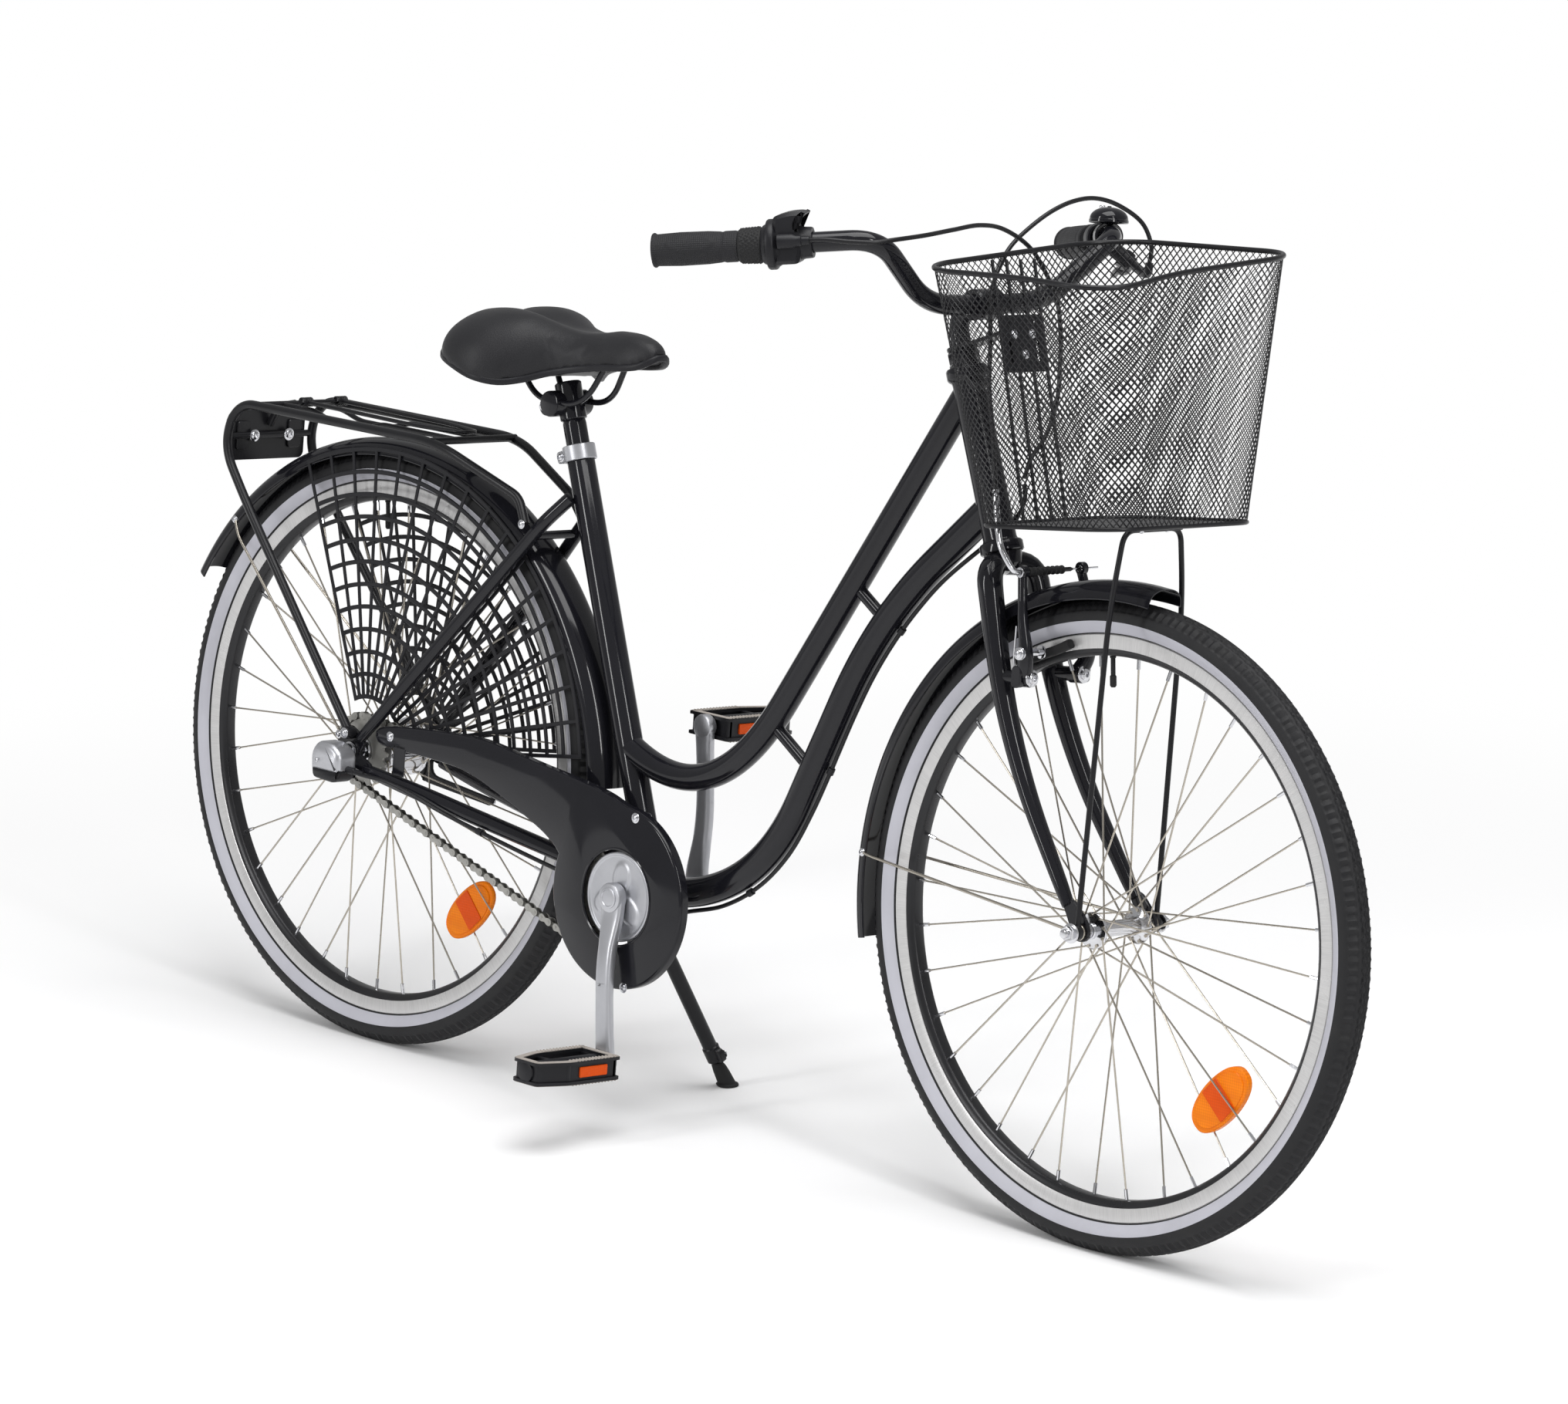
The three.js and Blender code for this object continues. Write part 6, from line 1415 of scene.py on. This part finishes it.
stem_path = eased([on_head(90), on_head(262), BAR_CENTRE + [-4, 0, -4]], [26], 14)
stem_clamp = turned([(11.6, -19), (15, -19), (17, -17), (17, 17), (15, 19), (11.6, 19),
                     (11.6, -19)], BAR_CENTRE, Y, 48)
piece("stem_forged", "steering", "satin_black", ["stem"],
      (joined(tube(stem_path, 11, 36), stem_clamp), ENAMEL),
      (bolt(on_head(262) + 14 * STEERING_UP - [4, 0, 0], STEERING_UP, 6, 6), CHROME))

half_bar = eased([on_bar(2.3), BAR_BEND, (898, 92, 988), (897.5, 26, 987), BAR_CENTRE],
                 [34, 40, 4], 14)
whole_bar = np.concatenate([half_bar, (half_bar * [1, -1, 1])[::-1][1:]])
piece("handlebar_bent", "steering", "satin_black", ["handlebar"],
      (tube(whole_bar, 11, 32), ENAMEL))

PAD_TURN = pi + 0.4


def around_bar(s, turn, radius):
    """A sleeve: point = bar's end + s * inwards + radius * (side * cos turn + other * sin turn)."""
    side = unit(np.cross(BAR_IN, Z))
    spoke = np.cos(turn)[..., None] * side + np.sin(turn)[..., None] * np.cross(BAR_IN, side)
    return surface(BAR_END + s[..., None] * BAR_IN + radius[..., None] * spoke)


def grip_sleeve(length, pad_at):
    """A moulded grip: radius by distance, an oval pad with a lip on its outer face, and end rings.

    oval = (distance / 24)^2 + (turn / 0.5)^2; the pad is where that is under 1, and its lip is
    where it is 1.
    """
    s = np.linspace(-0.6, length, 120)[:, None]
    turn = (np.arange(56) * tau / 56)[None]
    body = np.interp(s, [-0.6, 0.2, 1.6, 3.2, 4.4, 6, 30, 60, length - 20, length - 17, length - 14,
                         length - 3, length],
                     [14.5, 17.6, 18.6, 18.4, 17.2, 17.0, 18.0, 17.6, 16.6, 15.9, 16.8, 16.8, 15.8])
    oval = ((s - pad_at) / 24) ** 2 + (((turn - PAD_TURN + pi) % tau - pi) / 0.5) ** 2
    radius = body + 0.5 * np.clip(6 * (1 - oval), 0, 1) + 0.8 * np.exp(-(((oval - 1) / 0.2) ** 2))
    return around_bar(s, turn, radius)


def twist_sleeve(start, length):
    """The twist grip: two rows of knobs to each of its staggered ribs.

    knob = sine of the distance, shifted by half a wave on every other rib, times cos 24 turns.
    """
    s = np.linspace(0, length, 60)[:, None]
    turn = (np.arange(120) * tau / 120)[None]
    shift = pi / 2 * (np.round(turn * 12 / pi) % 2)
    knobs = np.clip(np.sin(s * tau / 6.5 + shift) * np.cos(turn * 24), 0, 1)
    sleeve = np.interp(s, [0, 1.5, length - 1.5, length], [17, 18.2, 19.2, 18.4])
    return around_bar(start + s, turn, sleeve + 1.1 * knobs * (s > 2) * (s < length - 2))


piece("left_grip_moulded", "steering", "rubber", ["left_grip"], (grip_sleeve(124, 46), GRIP_RUBBER))
piece("right_grip_moulded", "steering", "rubber", ["right_grip"],
      (other_side(grip_sleeve(93, 42)), GRIP_RUBBER))

piece("twist_grip_knobbed", "twist_grip", "rubber", ["twist_grip"],
      (other_side(twist_sleeve(93.3, 25)), SHOE_RUBBER))

shifter_body = turned([(11.7, 118.6), (19, 118.6), (20.6, 120), (22, 123), (26, 124.4), (27, 126),
                       (27, 132), (26, 133.6), (24.4, 134.4), (23, 137), (19, 141), (18, 160),
                       (17, 164), (16.6, 171), (16, 172.6), (11.7, 172.6), (11.7, 118.6)], BAR_END,
                      BAR_IN, 56)
pod_outline = eased_outline([(131, 0), (133, 30), (148, 34), (163, 34.5), (169, 32), (161, 27),
                             (156, 20), (160, 12), (163, 0), (159, -21), (132, -21)],
                            [5, 6, 5, 2, 5, 8, 5, 6, 5, 5])
pod_side = unit(np.cross(BAR_IN, BAR_UP))
POD_HALF = 20
pod = slab(pod_outline, -POD_HALF, POD_HALF, 4, (BAR_END, BAR_IN, BAR_UP, pod_side))
cable_exit = np.array([868.0, 245, 1056])
spout = turned([(0, -34), (8.4, -34), (8, -18), (6.2, -14), (6.2, -9), (5, -8), (4.4, 0), (0, 0)],
               cable_exit, BAR_IN, 32)
piece("shifter_housing_moulded", "steering", "plastic", ["shifter_housing"],
      (other_side(joined(shifter_body, pod, spout)), NYLON),
      (other_side(bolt(on_bar(148) - 12 * BAR_UP + POD_HALF * pod_side, pod_side, 2.4, 2)),
       CHROME))

# ---------------------------------------------------------------- brake lever and bell

pin_at = on_lever(LEVER_AT - 4, 36)
perch_neck = tube(smooth([on_lever(LEVER_AT + 4, 8), on_lever(LEVER_AT + 8, 26),
                          on_lever(LEVER_AT + 14, 46)], 16), np.linspace(9.5, 7.6, 16), 24)
cable_end = np.array(BRAKE_CABLE[0], float)
cable_run = unit(np.array(BRAKE_CABLE[1], float) - cable_end)
barrel = tube(smooth([on_lever(LEVER_AT + 12, 42), cable_end - 12 * cable_run,
                      cable_end - 0.3 * cable_run], 16), np.linspace(6, 4.4, 16), 24)
cheeks = [slab(rounded_box(22, 11, 5, 5), at - 1.6, at + 1.6, 0.5,
               (on_lever(LEVER_AT + 4, 37), BAR_IN, LEVER_OUT, LEVER_AXIS)) for at in (-8.4, 8.4)]
pin = tube([pin_at - 10 * LEVER_AXIS, pin_at + 10 * LEVER_AXIS], 3, 20)
piece("brake_lever_perch", "steering", "satin_black", ["brake_lever_mount"],
      (joined(band(11.6, 17, LEVER_AT - 9, LEVER_AT + 9, BAR_END, BAR_IN, 1.4), perch_neck, barrel,
              *cheeks), NYLON), (pin, CHROME))
blade_line = smooth([pin_at, on_lever(LEVER_AT - 30, 52), on_lever(LEVER_AT - 70, 50),
                     on_lever(LEVER_AT - 100, 52), on_lever(LEVER_AT - 112, 56)], 48)
blade_scale = np.stack([np.interp(np.linspace(0, 1, 48), [0, 0.2, 0.9, 1], sizes)
                        for sizes in ([12, 13, 14, 9], [9, 6, 6, 6])], -1)
lever_blade = carried(blade_line, circle(0.5, 20), LEVER_OUT, blade_scale)
piece("brake_lever_blade", "brake_lever", "satin_black", ["brake_lever"],
      (joined(lever_blade, band(3.5, 6.4, -6.2, 6.2, pin_at, LEVER_AXIS, 0.8, 28)), POWDER))

BELL_AT = 200
bell_foot = on_bar(BELL_AT) + 12 * BAR_UP
dome = [(0, 0), (6, 0), (8, 1.6), (21, 2.6), (22, 3.4), (22, 6), (21.4, 6.6)]
dome += [(21.4 * np.cos(climb) ** 0.9, 7 + 13.2 * np.sin(climb))
         for climb in np.linspace(0, pi / 2, 18)]
piece("bell_dome", "steering", "satin_black", ["bell"],
      (joined(turned(dome, bell_foot, BAR_UP, 64),
              knob(2.4, 19, 21.4, bell_foot, BAR_UP, 0.8, 20),
              band(11.6, 16, BELL_AT - 6, BELL_AT + 6, BAR_END, BAR_IN, 1)), ENAMEL))
striker_foot = on_bar(BELL_AT - 24.8) + 12.2 * BAR_UP
striker_knee = striker_foot + 12 * BAR_UP
striker_tip = striker_knee + 10 * BAR_UP - 12 * BAR_IN
piece("bell_striker", "bell_lever", "plastic", ["bell_lever"],
      (joined(wire([striker_foot, striker_knee, striker_tip], [6], 1.7, 14),
              knob(3.4, -1.5, 1.5, striker_tip, BAR_UP, 0.8, 20)), CHROME))

# ---------------------------------------------------------------- basket


def basket_ring(height, count):
    """One level of the wall, 0 at the floor and 1 at the brim: a rectangle with round corners."""
    mix = {key: FLOOR[key] + (BRIM[key] - FLOOR[key]) * height for key in FLOOR}
    rear, front, half = mix["rear"], mix["front"], mix["half"]
    r, f = mix["rear_corner"], mix["front_corner"]
    a = np.linspace(0, pi / 2, 16)
    corners = [(front - f, half - f, f, 0), (rear + r, half - r, r, pi / 2),
               (rear + r, r - half, r, pi), (front - f, f - half, f, 1.5 * pi)]
    flat = np.concatenate([np.stack([x + c * np.cos(a + s), y + c * np.sin(a + s)], -1)
                           for x, y, c, s in corners])
    flat = even(np.concatenate([flat, flat[:1]]), count + 1)[:-1]
    x, y = flat.T
    z = basket_floor(x) + (basket_brim(x, y) - basket_floor(x)) * height
    return np.stack([x, y, z], -1)


COLUMNS, LEVELS = 228, 30
PLATE_LEVEL = 952
wall = np.array([basket_ring(h, COLUMNS) for h in np.linspace(0, 1, LEVELS + 1)])
mesh_level = np.arange(LEVELS + 1)[None]
mesh_start = np.arange(0, COLUMNS, 2)[:, None]
outward = unit((wall - wall.mean(axis=1, keepdims=True)) * [1, 1, 0])
mesh_columns = [(mesh_start + 2 * way * mesh_level) % COLUMNS for way in (1, -1)]
MESH_WIRE = np.array([(0.75, 0), (0, 0.5), (-0.75, 0), (0, -0.5)])
mesh_wires = joined(*(
    carried(wall[mesh_level, columns], MESH_WIRE, outward[mesh_level, columns])
    for columns in mesh_columns))


def closed_ring(path, radius, sides=14):
    """A wire hoop: a circle carried along a closed path."""
    return carried(path, circle(radius, sides), Z, along=True)


brim_wire = closed_ring(wall[-1], 2.9)
foot_wire = closed_ring(wall[0] + [0, 0, 1.5], 2.4)
centre_floor = wall[0].mean(axis=0)


def floor_wires(direction):
    """Straight floor wires 9 mm apart, each cut where it meets the floor's outline.

    The outline is read as a superellipse: a point is inside while |a|^4 + |b|^4 < 1.
    """
    flat = np.array(direction, float)
    normal = np.array([-flat[1], flat[0]])
    lines, t = np.arange(-400, 400, 9.0), np.linspace(-220, 220, 221)
    grid = centre_floor[:2] + lines[:, None, None] * normal + t[None, :, None] * flat
    share = np.abs((grid - centre_floor[:2]) / [103, 117]) ** 4
    inside = share.sum(-1) < 1
    kept = inside.sum(1) > 3
    first, last = inside.argmax(1)[kept], len(t) - 1 - inside[:, ::-1].argmax(1)[kept]
    row = np.arange(kept.sum())
    ends = [np.insert(grid[kept][row, i], 2, basket_floor(grid[kept][row, i][:, 0]), axis=1)
            for i in (first, last)]
    return rods(*ends, 0.8, 4)


floor_mesh = joined(*(floor_wires(unit(np.array([1.0, way * 0.8]))) for way in (1, -1)))
rear_x = FLOOR["rear"] + (BRIM["rear"] - FLOOR["rear"]) * np.array([0.02, 0.97])
rear_z = np.array([basket_floor(FLOOR["rear"]) + 4, basket_brim(BRIM["rear"], 0) - 6])
rod_ends = [np.array([(x + 2, y, z) for y in (-33, -11, 11, 33)]) for x, z in zip(rear_x, rear_z)]
wall_rods = rods(*rod_ends, 1.9, 10)
rear_up = unit(np.array([rear_x[1] - rear_x[0], 0, rear_z[1] - rear_z[0]]))
rear_out = np.array([-rear_up[2], 0, rear_up[0]])


def rear_wall(z):
    """A point in the middle of the rear wall at a height."""
    share = (z - rear_z[0]) / (rear_z[1] - rear_z[0])
    return np.array([rear_x[0] + (rear_x[1] - rear_x[0]) * share, 0, z])


plate_middle = rear_wall(PLATE_LEVEL)
plate_at = (plate_middle, Y, rear_up, rear_out)
basket_plate = slab(rounded_box(70, 62, 4, 4), -3.4, -0.8, 0.5, plate_at)
plate_cuts = [turned([(0, -6), (2.6, -6), (2.6, 4), (0, 4)], plate_middle + y * Y + 22 * rear_up,
                     rear_out, 20) for y in (-21, 21)]
plate_cuts += [slab(rounded_box(5.4, 26, 2.6, 5), -6, 4, 0.1,
                    (plate_middle + y * Y - 8 * rear_up, Y, rear_up, rear_out))
               for y in (-21, 21)]
piece("basket_wire_mesh", "steering", "satin_black", ["basket"],
      (joined(mesh_wires, brim_wire, foot_wire, floor_mesh, wall_rods), POWDER))
piece("basket_back_plate", "steering", "satin_black", [], (basket_plate, POWDER), cuts=plate_cuts)

bracket_level = HEAD_TOP + 27.6
forward_flat = np.array([STEERING_UP[2], 0, -STEERING_UP[0]])
arm_at = (on_head(bracket_level), forward_flat, Y, STEERING_UP)
arm_plan = eased_outline([(8, -15), (40, -12), (84, -12), (84, 12), (40, 12), (8, 15)],
                         [8, 2, 2, 8, 3])
back_plate = slab(rounded_box(44, 50, 4, 4), 1, 4, 0.6, plate_at)
back_bolts = joined(*(bolt(plate_middle - 3.4 * rear_out + y * Y + z * rear_up, -rear_out, 3.4, 3)
                      for y, z in ((-14, 10), (14, 10), (0, -12))))
piece("basket_bracket_pressed", "steering", "satin_black", ["basket_bracket"],
      (joined(band(11.4, 17, 0, 4, on_head(bracket_level), STEERING_UP, 0.6),
              slab(arm_plan, 0, 4, 0.6, arm_at), back_plate), POWDER), (back_bolts, CHROME))

# ---------------------------------------------------------------- seat post, rails and saddle

piece("seat_post_swaged", "seat", "steel", ["seat_post"], (turned(
    [(0, 542), (12.1, 542), (12.1, 360), (13.6, 360), (13.6, 545), (13.2, 548), (11.4, 552),
     (11, 555), (11, 588), (10, 592), (0, 592)], BRACKET, SEAT_UP, 44), ENAMEL))

clamp_at = on_seat(SEAT_TUBE + SADDLE_RISE)
rail_path = eased([(-87, 34, 83), (-37, 22, 0), (43, 22, 0), (87, 12, 79)], [24, 30], 12)
rails = both(tube(clamp_at + rail_path, 3.5, 20))
clamp_body = joined(band(11.2, 15.5, -22, 22, clamp_at, SEAT_UP, 1.4),
                    knob(15, -29, 29, clamp_at + [-6, 0, -3], Y, 2, 28),
                    *(knob(11, a, b, clamp_at + [-20, 0, -8], Y, 1.5, 28)
                      for a, b in ((-20, -8), (8, 20))))
clamp_bolts = both(nut(clamp_at + [-20, 20, -8], Y, 6, 5))
piece("saddle_rails_bent", "seat", "steel", ["saddle_rails"], (joined(rails, clamp_body), ENAMEL),
      (clamp_bolts, CHROME))

# x from the clamp, half width, height of the lobes, height of the lower edge, depth of the groove
SADDLE = np.array([
    (-143.5, 40, 62, 50, 0), (-141, 62, 71, 45, 1), (-133, 84, 81, 40, 3), (-119, 97, 89, 36, 6),
    (-96, 102, 94, 29, 9), (-66, 99, 96.5, 20, 12), (-40, 85, 95, 17, 12), (-18, 66, 91, 22, 9),
    (5, 50, 86.5, 31, 6), (30, 39, 83.5, 38, 3), (55, 32, 84.5, 43, 1), (82, 28.5, 89, 47, 0),
    (108, 25.5, 91, 50, 0), (128, 20, 88, 54, 0), (139, 14, 82, 60, 0), (143.5, 7, 75, 65, 0)])


def saddle_cover(rows=90, ring=64):
    """The cover: at each station a superellipse over the lower edge, with a groove between lobes.

    top = edge + rise * (1 - |y/half|^2.7)^(1/2.3), less groove * exp(-(y/15)^2), and the underside
    curves up by 9 mm inside the edge.
    """
    x, half, top, edge, groove = (c[:, None] for c in smooth(SADDLE, rows).T)
    t = np.linspace(0, pi, ring // 2 + 1)[None]
    share = powered(np.cos(t), 0.82)
    y = half * share
    rise = top - edge
    lobe = 3.0 * np.exp(-(((np.abs(y) - 46) / 26) ** 2)) * groove / 12
    upper = edge + rise * (1 - np.abs(share) ** 2.7) ** (1 / 2.3)
    upper = upper + lobe - groove * np.exp(-((y / 15) ** 2))
    under_share = np.cos(np.linspace(pi, tau, ring // 2 + 1))[None, 1:-1]
    bead = 2.5 * np.exp(-(((np.abs(under_share) - 0.96) / 0.05) ** 2))
    lower = edge + 9 * (1 - under_share**4) - bead
    across = np.concatenate([y, half * under_share], 1)
    height = np.concatenate([upper, lower], 1)
    return surface(clamp_at + np.stack([x + 0 * across, across, height], -1))


FOAM = {"voxel": 0.004, "pressure": 4, "stiffness": 40, "steps": 20, "most": 0.0025}


def plumped(cover):
    """Foam under stretched vinyl: the cover is remeshed and blown up as cloth.

    Each point moves at most the foam's most, which is in metres, as its voxel is.
    """
    mesh = cover.data
    remesh = cover.modifiers.new("even", "REMESH")
    remesh.mode, remesh.voxel_size, remesh.use_smooth_shade = "VOXEL", FOAM["voxel"], True
    graph = bpy.context.evaluated_depsgraph_get()
    cover.data = bpy.data.meshes.new_from_object(cover.evaluated_get(graph))
    cover.modifiers.clear()
    cover.data.materials.clear()
    cover.data.materials.append(mesh.materials[0])
    count = len(cover.data.vertices)
    before = np.empty(count * 3, np.float32)
    cover.data.vertices.foreach_get("co", before)
    cloth = cover.modifiers.new("foam", "CLOTH")
    cloth.settings.use_pressure = True
    cloth.settings.uniform_pressure_force = FOAM["pressure"]
    cloth.settings.effector_weights.gravity = 0
    cloth.settings.tension_stiffness = FOAM["stiffness"]
    cloth.settings.quality = 4
    for step in range(1, FOAM["steps"] + 1):
        scene.frame_set(step)
    graph = bpy.context.evaluated_depsgraph_get()
    blown = cover.evaluated_get(graph).to_mesh()
    after = np.empty(count * 3, np.float32)
    blown.vertices.foreach_get("co", after)
    move = (after - before).reshape(-1, 3)
    size = np.linalg.norm(move, axis=1, keepdims=True)
    move = move * np.minimum(1, FOAM["most"] / np.maximum(size, 1e-9))
    cover.modifiers.clear()
    scene.frame_set(1)
    cover.data.vertices.foreach_set("co", (before.reshape(-1, 3) + move).ravel())
    cover.data.update()
    finer = cover.modifiers.new("finer", "SUBSURF")
    finer.levels = finer.render_levels = 1


saddle = piece("saddle_cover", "seat", "vinyl", ["saddle"], (saddle_cover(), VINYL), sharp=80)
plumped(saddle)
rim_x, rim_half, _, rim_edge, _ = smooth(SADDLE, 60).T
rim_left = np.stack([0.98 * rim_x, 0.95 * rim_half, rim_edge + 2.6], -1)
rim_line = np.concatenate([rim_left, (rim_left * [1, -1, 1])[::-1]])
saddle_rim = carried(clamp_at + rim_line, rounded_box(9, 8, 2.6, 4), Z, along=True)
piece("saddle_base_rim", "seat", "plastic", [], (saddle_rim, NYLON))
